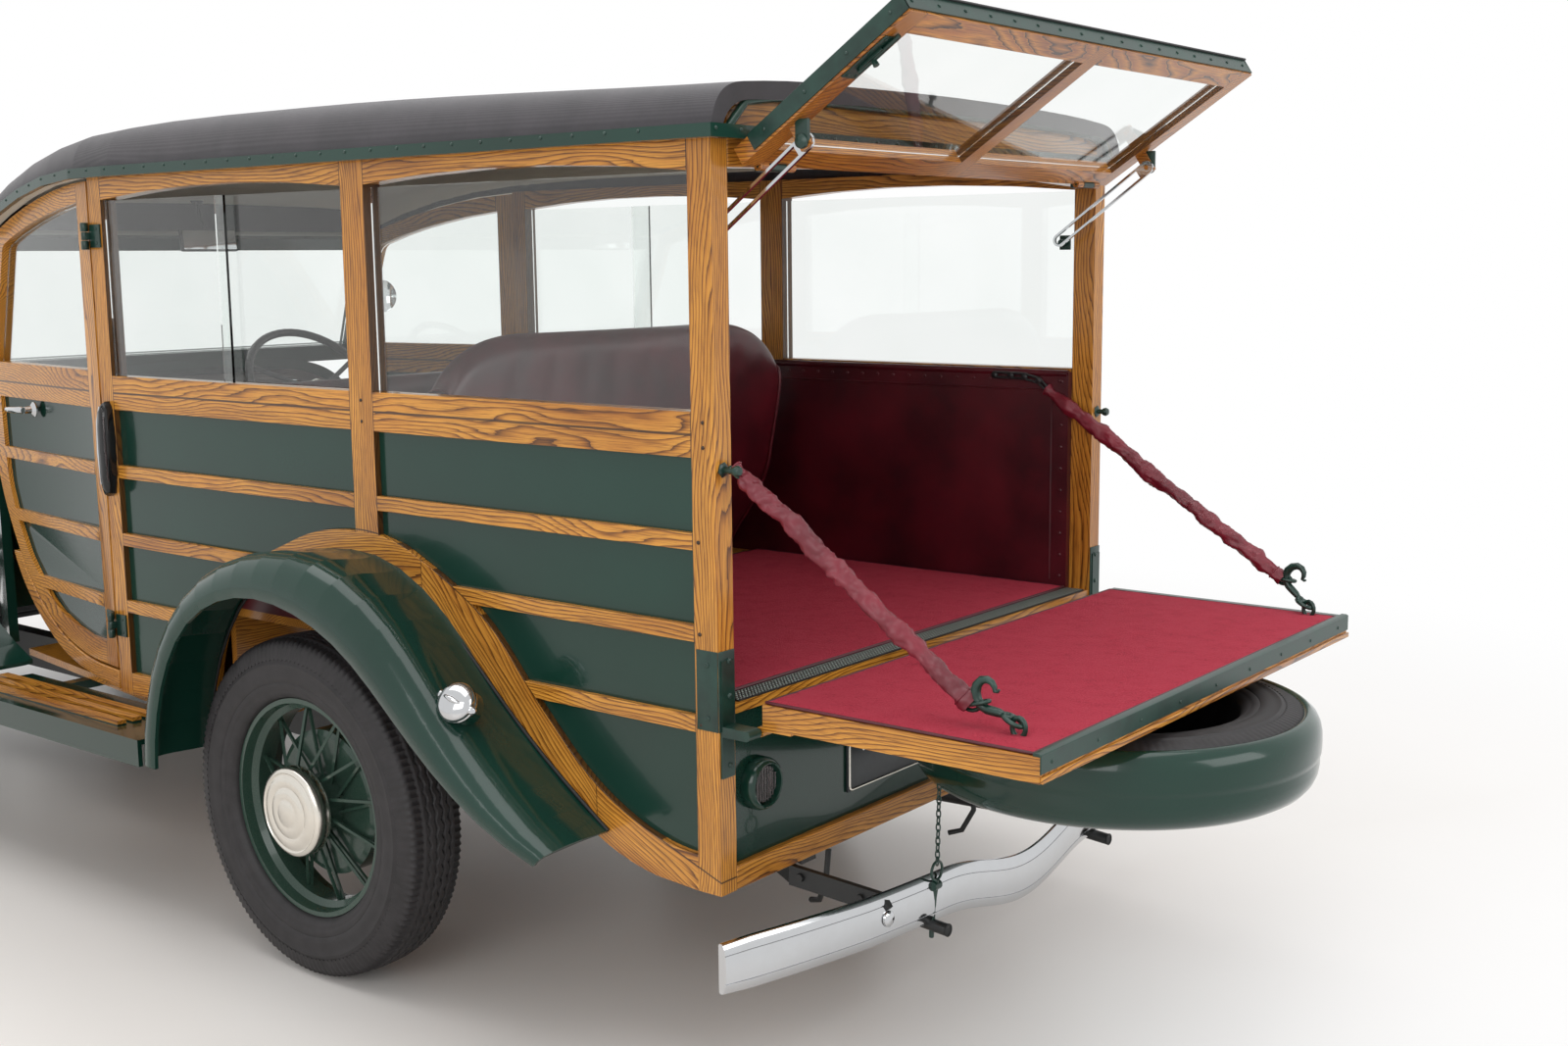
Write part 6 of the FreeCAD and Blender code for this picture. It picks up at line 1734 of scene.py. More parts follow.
# Doors
@dataclass
class Door:
    """A front door: sunk green panel between ash slats, handle and hinge leaves."""

    name: str
    side: int
    half: float = 0.675
    taper: float = 7.6
    depth: float = 0.013
    slat_levels: tuple = (0.984, 0.826, 0.668)
    slat_half: float = 0.0145
    stile: float = 0.058
    belt: float = 1.127

    def at(self, along: float, out: float, high: float) -> Vector:
        """A point of the door.

        Args:
            along: Distance forward from its hinge edge.
            out: Distance outward from its face.
            high: Height above the ground.

        Returns:
            The point in the car's frame.
        """
        t = math.radians(self.taper)
        return Vector((along * math.cos(t) + out * math.sin(t) - 0.0005,
            self.side * (self.half - along * math.sin(t) + out * math.cos(t)), high))

    def rim(self, high: float) -> float:
        """The panel's front edge at a height.

        Args:
            high: The height.

        Returns:
            Its distance forward.
        """
        table = ((0.566, 0.1), (0.574, 0.2), (0.608, 0.33), (0.66, 0.42), (0.728, 0.5), (0.815, 0.56),
            (0.905, 0.598), (1.0, 0.61), (1.127, 0.614))
        for (z0, x0), (z1, x1) in zip(table, table[1:]):
            if high <= z1:
                return x0 + (x1 - x0) * max(0.0, high - z0) / (z1 - z0)
        return table[-1][1]

    def build(self) -> None:
        """Carve the panel, then add the fittings."""
        body = f"door_{self.name}"
        obj = node_copy(f"door_{self.name}", f"door_timber_{self.name}", ASH_DOOR[self.name], body,
            0)
        self.carve(obj)
        soften(obj, 0.0016)
        self.handle(body)
        self.hinges(body)

    def carve(self, obj: Object) -> None:
        """Sink the panel between the slats by cutting four bays into the face.

        Args:
            obj: The door's timber.
        """
        bays = Shape("bays")
        edges = [self.belt]
        for level in self.slat_levels:
            edges += [level + self.slat_half, level - self.slat_half]
        edges.append(0.57)
        for top, foot in zip(edges[::2], edges[1::2]):
            steps = 7
            levels = [foot + (top - foot) * i / steps for i in range(steps + 1)]
            outline = [(self.stile, foot), *[(self.rim(z), z) for z in levels], (self.stile, top)]
            low = [self.at(a, -self.depth, z) for a, z in outline]
            bays.plate(low, self.at(0, 0.012, 1) - self.at(0, -self.depth, 1), ASH_DOOR[self.name])
        cutter = bays.loose()
        cut = obj.modifiers.new("Bays", "BOOLEAN")
        cut.operation, cut.object, cut.solver = "DIFFERENCE", cutter, "EXACT"
        graph = bpy.context.evaluated_depsgraph_get()
        mesh = bpy.data.meshes.new_from_object(obj.evaluated_get(graph))
        obj.modifiers.clear()
        obj.data = mesh
        mesh.materials.clear()
        mesh.materials.append(ASH_DOOR[self.name].material())
        mesh.polygons.foreach_set("material_index", [0] * len(mesh.polygons))
        mesh.shade_smooth()
        mesh.set_sharp_from_angle(angle=math.radians(30))
        bpy.data.objects.remove(cutter)

    def handle(self, body: str) -> None:
        """A plated lever handle on its rose.

        Args:
            body: The body that carries it.
        """
        shape = Shape(f"door_handle_{self.name}")
        out = self.at(0, 1, 0) - self.at(0, 0, 0)
        centre = self.at(0.4, 0.0, 1.103)
        shape.lathe(centre, out, [(0, 0.019), (0.003, 0.019), (0.006, 0.015), (0.01, 0.0095),
            (0.026, 0.0085), (0.027, 0.0001)], CHROME, 28)
        lever = [(0.392, 0.03), (0.405, 0.0315), (0.435, 0.032), (0.47, 0.031), (0.5, 0.028),
            (0.512, 0.025)]
        shape.tube([self.at(a, o, 1.103 - (a - 0.4) * 0.03) for a, o in lever],
            [0.007, 0.0095, 0.0085, 0.0078, 0.0072, 0.004], CHROME, 14)
        shape.build(body, "bright_chrome", 50)

    def hinges(self, body: str) -> None:
        """Iron hinge leaves with three knuckles on the door's axis, above and below.

        Args:
            body: The body that carries it.
        """
        axis = (-0.001, self.side * 0.689)
        leaf, post = Shape(f"door_hinge_leaves_{self.name}"), Shape(f"post_hinge_leaves_{self.name}")
        for level in (1.52, 0.62):
            for shape, low, high in ((leaf, -0.03, -0.01), (leaf, 0.01, 0.03), (post, -0.009, 0.009)):
                shape.lathe((*axis, level + low), (0, 0, 1), [(0, 0.0001), (0, 0.0066), (0.001, 0.0074),
                    (high - low - 0.001, 0.0074), (high - low, 0.0066), (high - low, 0.0001)], IRON, 20)
            inner, outer = sorted((self.side * 0.6752, self.side * 0.6795))
            post.block((-0.046, inner, level - 0.026), (-0.006, outer, level + 0.026), IRON, None, 0.001)
            inner, outer = sorted((self.side * 0.676, self.side * 0.689))
            post.block((-0.01, inner, level - 0.008), (-0.001, outer, level + 0.008), IRON)
            for low, high in ((-0.03, -0.011), (0.011, 0.03)):
                corners = [self.at(0.0065, 0.0005, level + low), self.at(0.044, 0.0005, level + low),
                    self.at(0.044, 0.0005, level + high), self.at(0.0065, 0.0005, level + high)]
                leaf.plate(corners, self.at(0, 0.004, 1) - self.at(0, 0.0005, 1), IRON)
                leaf.plate([self.at(0.001, 0.0145, level + low), self.at(0.012, 0.0045, level + low),
                    self.at(0.012, 0.0045, level + high), self.at(0.001, 0.0145, level + high)],
                    self.at(0.003, 0.0, 1) - self.at(0, 0.003, 1), IRON)
            out = self.at(0, 1, 0) - self.at(0, 0, 0)
            for drop in (-0.02, 0.02):
                leaf.lathe(self.at(0.032, 0.0042, level + drop), out, [(0, 0.0044), (0.0012, 0.004),
                    (0.002, 0.0001)], IRON, 12)
            for drop in (-0.016, 0.016):
                post.lathe((-0.032, self.side * 0.6795, level + drop), (0, self.side, 0),
                    [(0, 0.0044), (0.0012, 0.004), (0.002, 0.0001)], IRON, 12)
        leaf.build(body, "green_paint", 40)
        post.build("car", "green_paint", 40)


# Seats and cabin
@dataclass
class Pad:
    """A stuffed leather seat part: a section carried across the car, stitched, then blown up as cloth."""

    name: str
    section: Sequence[tuple[float, float]]
    half: float
    pleats: Sequence[float] = ()
    pleat_span: tuple = (0.0, 1.0)
    corner: float = 0.0
    corner_from: float = 0.6
    swell: float = 0.02
    stations: int = 74
    around: int = 66

    def outline(self) -> list[tuple[float, float]]:
        """The section as evenly spaced points on a smooth closed line.

        Returns:
            The points.
        """
        points = [Vector((x, z)) for x, z in self.section]
        count = len(points)
        dense = []
        for i in range(count):
            p0, p1, p2, p3 = (points[(i + k - 1) % count] for k in range(4))
            for step in range(12):
                t = step / 12
                dense.append(0.5 * (2 * p1 + (p2 - p0) * t + (2 * p0 - 5 * p1 + 4 * p2 - p3) * t * t
                    + (3 * p1 - p0 - 3 * p2 + p3) * t ** 3))
        lengths = [0.0]
        for a, b in zip(dense, dense[1:] + dense[:1]):
            lengths.append(lengths[-1] + (b - a).length)
        even, k = [], 0
        for n in range(self.around):
            want = lengths[-1] * n / self.around
            while lengths[k + 1] < want:
                k += 1
            share = (want - lengths[k]) / (lengths[k + 1] - lengths[k])
            even.append(dense[k].lerp(dense[(k + 1) % len(dense)], share))
        return [(p.x, p.y) for p in even]

    def build(self) -> Object:
        """Make the pad, its stitched lines and its piping.

        Returns:
            The pad, riding on the car.
        """
        line = self.outline()
        mid_x = sum(x for x, _ in line) / len(line)
        mid_z = sum(z for _, z in line) / len(line)
        top = max(z for _, z in line)
        foot = min(z for _, z in line)
        rows = []
        for s in range(self.stations + 1):
            u = -1 + 2 * s / self.stations
            u = math.copysign(1 - (1 - abs(u)) ** 1.25, u)
            shrink = (1 - min(abs(u), 1.0) ** 14) ** (1 / 5)
            over = max(0.0, (abs(u) - self.corner_from) / (1 - self.corner_from))
            drop = self.corner * (1 - math.sqrt(max(0.0, 1 - over ** 2.2)))
            row = []
            for x, z in line:
                keep = 0.72 + 0.28 * shrink
                px, pz = mid_x + (x - mid_x) * keep, mid_z + (z - mid_z) * keep
                pz -= drop * ((pz - foot) / (top - foot)) ** 1.5
                row.append((px, u * self.half * (0.997 - 0.004 * (1 - shrink)), pz))
            rows.append(row)
        ends = [[(mid_x, -self.half, mid_z - self.corner * 0.3)] * self.around]
        tail = [[(mid_x, self.half, mid_z - self.corner * 0.3)] * self.around]
        shape = Shape(self.name)
        shape.grid(ends + rows + tail, HIDE, round_columns=True)
        obj = shape.loose(180)
        self.blow(obj, line)
        obj.modifiers.new("Smooth", "SUBSURF").levels = 1
        obj.modifiers["Smooth"].render_levels = 1
        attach(obj, "car")
        self.piping(rows)
        return obj

    def held(self, co: Vector, line: Sequence[tuple[float, float]]) -> bool:
        """True where the cover is stitched down or rests on the seat's frame.

        Args:
            co: A point of the cover.
            line: The pad's section.

        Returns:
            True where the point stays.
        """
        foot = min(z for _, z in line)
        if co.z < foot + 0.012 or abs(co.y) > self.half * 0.965:
            return True
        low, high = self.pleat_span
        spread = (co.z - foot) / (max(z for _, z in line) - foot)
        ahead = co.x > sum(x for x, _ in line) / len(line)
        if self.pleats and low <= spread <= high and (ahead or spread > 0.8):
            step = 2 * self.half / self.stations
            return any(abs(co.y - y) < step * 0.55 for y in self.pleats)
        return False

    def blow(self, obj: Object, line: Sequence[tuple[float, float]]) -> None:
        """Inflate the cover between its stitches for twenty frames and keep the result.

        Args:
            obj: The pad.
            line: Its section.
        """
        mesh = obj.data
        before = [v.co.copy() for v in mesh.vertices]
        pins = [v.index for v in mesh.vertices if self.held(v.co, line)]
        group = obj.vertex_groups.new(name="Stitches")
        group.add(pins, 1.0, "REPLACE")
        cloth = obj.modifiers.new("Cover", "CLOTH")
        cloth.settings.quality = 4
        cloth.settings.use_pressure = True
        cloth.settings.uniform_pressure_force = 4.0
        cloth.settings.tension_stiffness = 9.0
        cloth.settings.compression_stiffness = 9.0
        cloth.settings.bending_stiffness = 0.4
        cloth.settings.vertex_group_mass = "Stitches"
        cloth.settings.effector_weights.gravity = 0.0
        cloth.point_cache.frame_end = 20
        scene = bpy.context.scene
        for number in range(1, 21):
            scene.frame_set(number)
        graph = bpy.context.evaluated_depsgraph_get()
        result = bpy.data.meshes.new_from_object(obj.evaluated_get(graph))
        obj.modifiers.remove(cloth)
        for vert, old, new in zip(mesh.vertices, before, result.vertices):
            move = new.co - old
            if move.length > self.swell:
                move *= self.swell / move.length
            vert.co = old + move
        scene.frame_set(1)
        obj.vertex_groups.clear()
        bpy.data.meshes.remove(result)
        mesh.update()

    def piping(self, rows: Sequence[Sequence[Point]]) -> None:
        """Round piping at both ends of the pad, where its side is sewn on.

        Args:
            rows: The pad's rows of points.
        """
        shape = Shape(self.name + "_piping")
        for row in (rows[2], rows[-3]):
            centre = Vector([sum(p[i] for p in row) / len(row) for i in range(3)])
            loop = [Vector(p) + (Vector(p) - centre).normalized() * 0.004 for p in row]
            shape.tube(loop, 0.0042, HIDE, 8, True)
        shape.build("car", "maroon_leather", 60)


@dataclass
class Cabin:
    """Seats, the linings' roll and border, dials, the steering wheel's boss, mirrors and dome lamp."""

    def build(self) -> None:
        """Make each piece."""
        self.seats()
        self.linings()
        self.dashboard()
        self.steering()
        self.mirrors()
        self.headlining()

    def seats(self) -> None:
        """Front and rear bench seats, each a cushion and a back."""
        x = AXLE
        spread = [-0.45 + 0.1 * k for k in range(10)]
        rear_back = Pad("rear_seat_back", [(x - 0.03, 0.712), (x - 0.075, 0.775), (x - 0.13, 0.86),
            (x - 0.172, 0.955), (x - 0.19, 1.04), (x - 0.208, 1.14), (x - 0.22, 1.22), (x - 0.222, 1.275),
            (x - 0.205, 1.304), (x - 0.178, 1.306), (x - 0.15, 1.285), (x - 0.118, 1.19), (x - 0.078, 1.08),
            (x - 0.045, 0.98), (x - 0.01, 0.89), (x + 0.03, 0.8), (x + 0.04, 0.73)], 0.548, spread,
            (0.25, 0.93), 0.15, 0.55)
        back = rear_back.build()
        cushion = Pad("rear_seat_cushion", [(x + 0.045, 0.712), (x + 0.043, 0.8), (x + 0.055, 0.862),
            (x + 0.11, 0.878), (x + 0.21, 0.884), (x + 0.33, 0.888), (x + 0.395, 0.876), (x + 0.414, 0.84),
            (x + 0.414, 0.78), (x + 0.412, 0.712), (x + 0.23, 0.708)], 0.548, spread, (0.8, 1.0), 0.0, 0.9,
            0.016)
        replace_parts(back, "rear_seat")
        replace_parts(cushion.build(), "rear_seat")
        front = Pad("front_seat_back", [(x + 0.64, 0.56), (x + 0.612, 0.66), (x + 0.594, 0.8),
            (x + 0.584, 0.92), (x + 0.578, 1.05), (x + 0.58, 1.145), (x + 0.6, 1.176), (x + 0.628, 1.172),
            (x + 0.645, 1.13), (x + 0.668, 1.02), (x + 0.7, 0.9), (x + 0.738, 0.8), (x + 0.76, 0.68),
            (x + 0.755, 0.57)], 0.548, spread, (0.3, 0.95), 0.06, 0.8).build()
        bench = Pad("front_seat_cushion", [(x + 0.765, 0.56), (x + 0.768, 0.7), (x + 0.78, 0.772),
            (x + 0.85, 0.782), (x + 0.96, 0.79), (x + 1.06, 0.792), (x + 1.105, 0.77), (x + 1.12, 0.71),
            (x + 1.108, 0.62), (x + 1.094, 0.56), (x + 0.93, 0.556)], 0.548, spread, (0.8, 1.0), 0.0, 0.9,
            0.016).build()
        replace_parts(front, "front_seat")
        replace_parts(bench, "front_seat")
        shape = Shape("front_seat_box")
        shape.block((x + 0.65, -0.545, 0.4485), (x + 1.085, 0.545, 0.553), HIDE, None, 0.012)
        shape.build("car", "maroon_leather", 40)

    def linings(self) -> None:
        """Leather-covered side boards with a rolled top edge, a stitched border and tacks."""
        for name, side in SIDES.items():
            shape = Shape(f"lining_roll_{name}")
            y = side * 0.6225
            roll = [(-1.798, 1.1925), (-1.6, 1.193), (-1.3, 1.193), (-0.9, 1.193), (-0.835, 1.188),
                (-0.7, 1.128), (-0.52, 1.048), (-0.405, 0.998)]
            shape.tube([(a, y, b) for a, b in roll], 0.0085, HIDE, 12)
            edge = [(-1.76, 0.72), (-1.76, 1.155), (-0.86, 1.155)]
            shape.tube([(a, side * 0.6172, b) for a, b in edge], 0.0028, HIDE, 8)
            shape.build("car", "maroon_leather", 50)
            path = [(-1.785, side * 0.6165, 0.73), (-1.785, side * 0.6165, 1.175)]
            top = [(-1.78, side * 0.6165, 1.176), (-0.87, side * 0.6165, 1.176)]
            REPEATS.screws(f"lining_tacks_{name}", [path, top], (0, -side, 0), "car", 0.045, 0.0042, HIDE)

    def dashboard(self) -> None:
        """Dials with plated bezels and needles, and switches."""
        shape = Shape("dashboard_dials")
        face, tilt = 0.5935, Vector((-1, 0, 0.22)).normalized()
        for y, radius in ((-0.3, 0.045), (-0.19, 0.033), (-0.41, 0.033), (0.0, 0.03), (0.16, 0.03)):
            centre = Vector((face + 0.004, y, 1.07))
            shape.lathe(centre, tilt, [(-0.004, radius), (0.007, radius), (0.0095, radius * 0.95),
                (0.0085, radius * 0.86), (0.004, radius * 0.84)], CHROME, 36)
            shape.lathe(centre, tilt, [(0.002, radius * 0.85), (0.0042, radius * 0.84), (0.0046, 0.0001)],
                DIAL, 36)
            side = tilt.cross(UP).normalized()
            up = side.cross(tilt)
            for k in range(9):
                a = math.radians(-130 + k * 32.5)
                way = side * math.sin(a) + up * math.cos(a)
                shape.tube([centre + tilt * 0.0052 + way * radius * 0.62,
                    centre + tilt * 0.0052 + way * radius * 0.78], 0.0008, BLACK, 5)
            shape.tube([centre + tilt * 0.0065 - (side + up) * radius * 0.12,
                centre + tilt * 0.0065 + (side + up) * radius * 0.45], [0.0012, 0.0006], BLACK, 6)
        for y in (-0.1, -0.07, 0.07, 0.26, 0.32, 0.38):
            shape.lathe((face, y, 1.045), tilt, [(-0.002, 0.006), (0.008, 0.005), (0.012, 0.008),
                (0.018, 0.0085), (0.0195, 0.0001)], CHROME, 18)
        shape.build("car", "dash_paint", 40)

    def steering(self) -> None:
        """The wheel's centre boss, finger ridges under its rim and the horn button."""
        shape = Shape("steering_boss")
        top = Vector((0.445, -0.27, 1.085))
        way = Vector((-0.787933, -0.027647, 0.61514))
        shape.lathe(top, way, [(0.012, 0.0375), (0.018, 0.036), (0.022, 0.03), (0.0235, 0.021),
            (0.021, 0.02), (0.026, 0.018), (0.029, 0.011), (0.0295, 0.0001)], POLISHED, 36)
        side = way.orthogonal().normalized()
        up = way.cross(side)
        for k in range(60):
            a = 2 * math.pi * k / 60
            out = side * math.cos(a) + up * math.sin(a)
            tangent = way.cross(out)
            centre = top + out * 0.215
            shape.tube([centre - tangent * 0.0035 + out * 0.0002, centre + tangent * 0.0035 + out * 0.0002],
                0.01135, BLACK_RUBBER, 10)
        shape.build("steering_wheel", "black_rubber", 50)

    def mirrors(self) -> None:
        """The oblong interior mirror on its stalk and the round outer one on its arm."""
        shape = Shape("cabin_mirror")
        centre = Vector((0.375, 0.11, 1.518))
        tilt = Matrix.Translation(centre) @ Matrix.Rotation(math.radians(8), 4, "Y")
        shape.block((-0.001, -0.085, -0.03), (0.01, 0.085, 0.03), BLACK, tilt, 0.005)
        shape.block((-0.0028, -0.08, -0.025), (-0.0012, 0.08, 0.025), CHROME, tilt, 0.0005)
        shape.tube([centre + Vector((0.008, 0, 0)), centre + Vector((0.03, 0, 0.045)),
            centre + Vector((0.045, 0, 0.1))], 0.005, BLACK, 10)
        shape.lathe(centre + Vector((0.045, 0, 0.094)), (0, 0, 1), [(0, 0.014), (0.01, 0.018),
            (0.0102, 0.0001)], BLACK, 20)
        shape.build("car", "black_frame", 40)
        shape = Shape("outer_mirror")
        face = Vector((0.635, -0.672, 1.351))
        way = Vector((-1.0, 0.12, 0.02)).normalized()
        shape.lathe(face, way, [(-0.016, 0.0001), (-0.014, 0.018), (-0.009, 0.036), (-0.002, 0.0475),
            (0.002, 0.0495), (0.003, 0.048), (0.001, 0.046), (0.0008, 0.0001)], CHROME, 44)
        shape.tube([face + Vector((0.013, 0, 0)), face + Vector((0.03, 0.02, -0.015)),
            Vector((0.6745, -0.6, 1.325))], [0.0055, 0.0048, 0.0055], CHROME, 12)
        shape.lathe((0.675, -0.598, 1.325), (0, -1, 0), [(-0.004, 0.016), (0.006, 0.016), (0.009, 0.011),
            (0.0095, 0.0001)], CHROME, 24)
        shape.build("car", "bright_chrome", 50)

    def headlining(self) -> None:
        """The round dome lamp under the roof."""
        shape = Shape("dome_lamp")
        shape.lathe((-0.62, 0.0, 1.735), (0, 0, -1), [(0, 0.052), (0.006, 0.054), (0.011, 0.05),
            (0.013, 0.042), (0.024, 0.032), (0.029, 0.016), (0.03, 0.0001)], DIAL, 40)
        shape.build("car", "lamp_chrome", 50)


def soften_line(points: list[Vector]) -> list[Vector]:
    """A line with its inner points drawn towards their neighbours.

    Args:
        points: The line.

    Returns:
        The softened line.
    """
    for _ in range(6):
        points = [points[0]] + [(a + b * 2 + c) / 4 for a, b, c in zip(points, points[1:], points[2:])] + [
            points[-1]]
    return points


# Outside pieces
@dataclass
class SpareCover:
    """The pressed cover under the tailgate, with its rolled rim, waist line and carrier."""

    centre: tuple = (-2.245, 0.0, 0.573)
    outer: float = 0.375

    def build(self) -> None:
        """Spin the cover's wall, then add the boss, the arm and the bolts."""
        r = self.outer
        profile = [(0.062, r - 0.0345), (0.0655, r - 0.03), (0.066, r - 0.0245), (0.063, r - 0.0185),
            (0.054, r - 0.009), (0.043, r - 0.0035), (0.03, r - 0.0008), (0.016, r - 0.0002),
            (0.002, r - 0.0003), (-0.005, r - 0.001), (-0.0085, r - 0.003), (-0.013, r - 0.0033),
            (-0.026, r - 0.0032), (-0.04, r - 0.0052), (-0.054, r - 0.011), (-0.066, r - 0.021),
            (-0.075, r - 0.036), (-0.0805, r - 0.056), (-0.083, r - 0.08), (-0.084, r - 0.11),
            (-0.0852, r - 0.15), (-0.0855, 0.09), (-0.0855, 0.0001), (-0.0815, 0.0001), (-0.0815, 0.09),
            (-0.0812, r - 0.15), (-0.079, r - 0.08), (-0.0765, r - 0.057), (-0.0712, r - 0.038),
            (-0.0625, r - 0.0245), (-0.051, r - 0.015), (-0.026, r - 0.0075), (0.03, r - 0.0055),
            (0.042, r - 0.0085), (0.051, r - 0.0135), (0.057, r - 0.0205), (0.059, r - 0.026),
            (0.0585, r - 0.031)]
        shape = Shape("spare_wheel_cover")
        shape.lathe(self.centre, (0, 0, 1), profile, PANEL_GREEN, 160, True)
        x, y, z = self.centre
        shape.lathe((x, y, 0.4915), (0, 0, 1), [(0, 0.072), (0.03, 0.07), (0.036, 0.06), (0.15, 0.06),
            (0.156, 0.07), (0.1768, 0.072)], BLACK, 48)
        shape.block((x - 0.15, -0.06, 0.6587), (x + 0.25, 0.06, 0.6684), BLACK)
        for dx in (-0.12, 0.1, 0.22):
            for dy in (-0.042, 0.042):
                shape.lathe((x + dx, dy, 0.659), (0, 0, -1), [(0, 0.009), (0.006, 0.0088),
                    (0.0062, 0.0001)], BLACK, 6)
        for k in range(5):
            a = 2 * math.pi * k / 5
            shape.lathe((x + 0.052 * math.cos(a), 0.052 * math.sin(a), 0.4875), (0, 0, -1),
                [(0, 0.0085), (0.006, 0.008), (0.0062, 0.0001)], BLACK, 6)
        obj = shape.build("tailgate", "green_paint", 38)
        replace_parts(obj, "spare_cover")


@dataclass
class Bumper:
    """A plated spring-steel bar with two rolled lines and a soft dip, on its irons and tubes."""

    name: str
    place: float
    level: float
    facing: int
    node: str
    half: float = 0.803
    tall: float = 0.092
    dip: float = 0.042

    def centre(self, share: float) -> tuple[float, float]:
        """The bar's plan place and its height at a share of its half length.

        Args:
            share: The share, from -1 to 1.

        Returns:
            The place forward and the height.
        """
        bend = 0.5 + 0.5 * math.cos(math.pi * min(1.0, abs(share) / 0.34))
        lift = max(0.0, abs(share) - 0.6) * 0.022
        return self.place - self.facing * 0.1 * share * share, self.level - self.dip * bend + lift

    def build(self) -> None:
        """Carry the rolled section along the bar, then add what holds it."""
        section = [(-0.001, -0.5), (0.0015, -0.497), (0.0035, -0.47), (0.0068, -0.385), (0.0086, -0.315),
            (0.0088, -0.293), (0.0072, -0.286), (0.0072, -0.274), (0.0088, -0.266), (0.0094, -0.18),
            (0.0098, -0.06), (0.0098, 0.06), (0.0094, 0.18), (0.0088, 0.266), (0.0072, 0.274),
            (0.0072, 0.286), (0.0088, 0.293), (0.0086, 0.315), (0.0068, 0.385), (0.0035, 0.47),
            (0.0015, 0.497), (-0.001, 0.5), (-0.004, 0.5), (-0.006, 0.47), (-0.006, -0.47), (-0.004, -0.5)]
        shape = Shape(self.name)
        rows = []
        for k in range(121):
            share = -1 + k / 60
            plan, centre = self.centre(share)
            tall = self.tall * (1 - 0.06 * max(0.0, abs(share) - 0.93) / 0.07)
            rows.append([(plan + self.facing * out, share * self.half, centre + tall * up)
                for out, up in section])
        shape.grid(rows, CHROME, round_columns=True)
        for row in (rows[0], rows[-1]):
            shape.add(row, [tuple(range(len(row)))], CHROME)
        if self.facing < 0:
            self.rear_irons(shape)
        else:
            self.front_irons(shape)
        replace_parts(shape.build("car", "bright_chrome", 34), self.node)

    def rear_irons(self, shape: Shape) -> None:
        """Black frame irons and the carrier tubes with their plugs.

        Args:
            shape: The bumper's shape, which they join.
        """
        for side in (1, -1):
            y = side * 0.44
            shape.plate([(-1.725, side * 0.392, 0.332), (-1.83, y - 0.006, 0.316),
                (-1.83, y - 0.006, 0.354), (-1.725, side * 0.392, 0.368)], (0, 0.012, 0), BLACK)
            shape.plate([(-1.822, y - 0.006, 0.316), (-2.03, y - 0.006, 0.306), (-2.046, y - 0.006, 0.322),
                (-2.03, y - 0.006, 0.344), (-1.822, y - 0.006, 0.354)], (0, 0.012, 0), BLACK)
            shape.tube([(-2.029, y, 0.325), (-2.03, side * 0.375, 0.29), (-2.028, side * 0.312, 0.256)],
                0.0085, BLACK, 12)
            shape.tube([(-2.026, side * 0.31, 0.251), (-2.068, side * 0.31, 0.2475),
                (-2.0815, side * 0.31, 0.2465)], 0.0115, BLACK, 22)
            shape.lathe((-2.08, side * 0.31, 0.2466), (-1, 0, 0.02), [(0.0, 0.0118), (0.003, 0.0122),
                (0.0042, 0.01), (0.002, 0.0085), (0.0018, 0.0001)], BLACK_RUBBER, 24)
            shape.tube([(-1.775, side * 0.26, 0.322), (-1.776, side * 0.27, 0.262),
                (-1.752, side * 0.26, 0.214), (-1.724, side * 0.25, 0.205)], 0.0058, BLACK, 12)
            for x, z in ((-1.85, 0.336), (-1.985, 0.327)):
                shape.lathe((x, y + side * 0.006, z), (0, side, 0), [(0, 0.0085), (0.006, 0.008),
                    (0.0062, 0.0001)], BLACK, 6)
            plan, centre = self.centre(y / self.half)
            shape.lathe((plan - 0.0098, y, centre), (-1, 0, 0), [(-0.001, 0.015), (0.003, 0.0145),
                (0.0065, 0.01), (0.0075, 0.0001)], CHROME, 28)

    def front_irons(self, shape: Shape) -> None:
        """Black irons to the frame and the plated bolt heads.

        Args:
            shape: The bumper's shape, which they join.
        """
        for side in (1, -1):
            y = side * 0.357
            shape.plate([(2.3162, y - 0.006, 0.508), (2.3162, y - 0.006, 0.552), (2.592, y - 0.006, 0.422),
                (2.592, y - 0.006, 0.378)], (0, 0.012, 0), BLACK)
            plan, centre = self.centre(y / self.half)
            shape.lathe((plan + 0.009, y, centre), (1, 0, 0), [(-0.001, 0.0135), (0.001, 0.0125),
                (0.0012, 0.0001)], CHROME, 28)


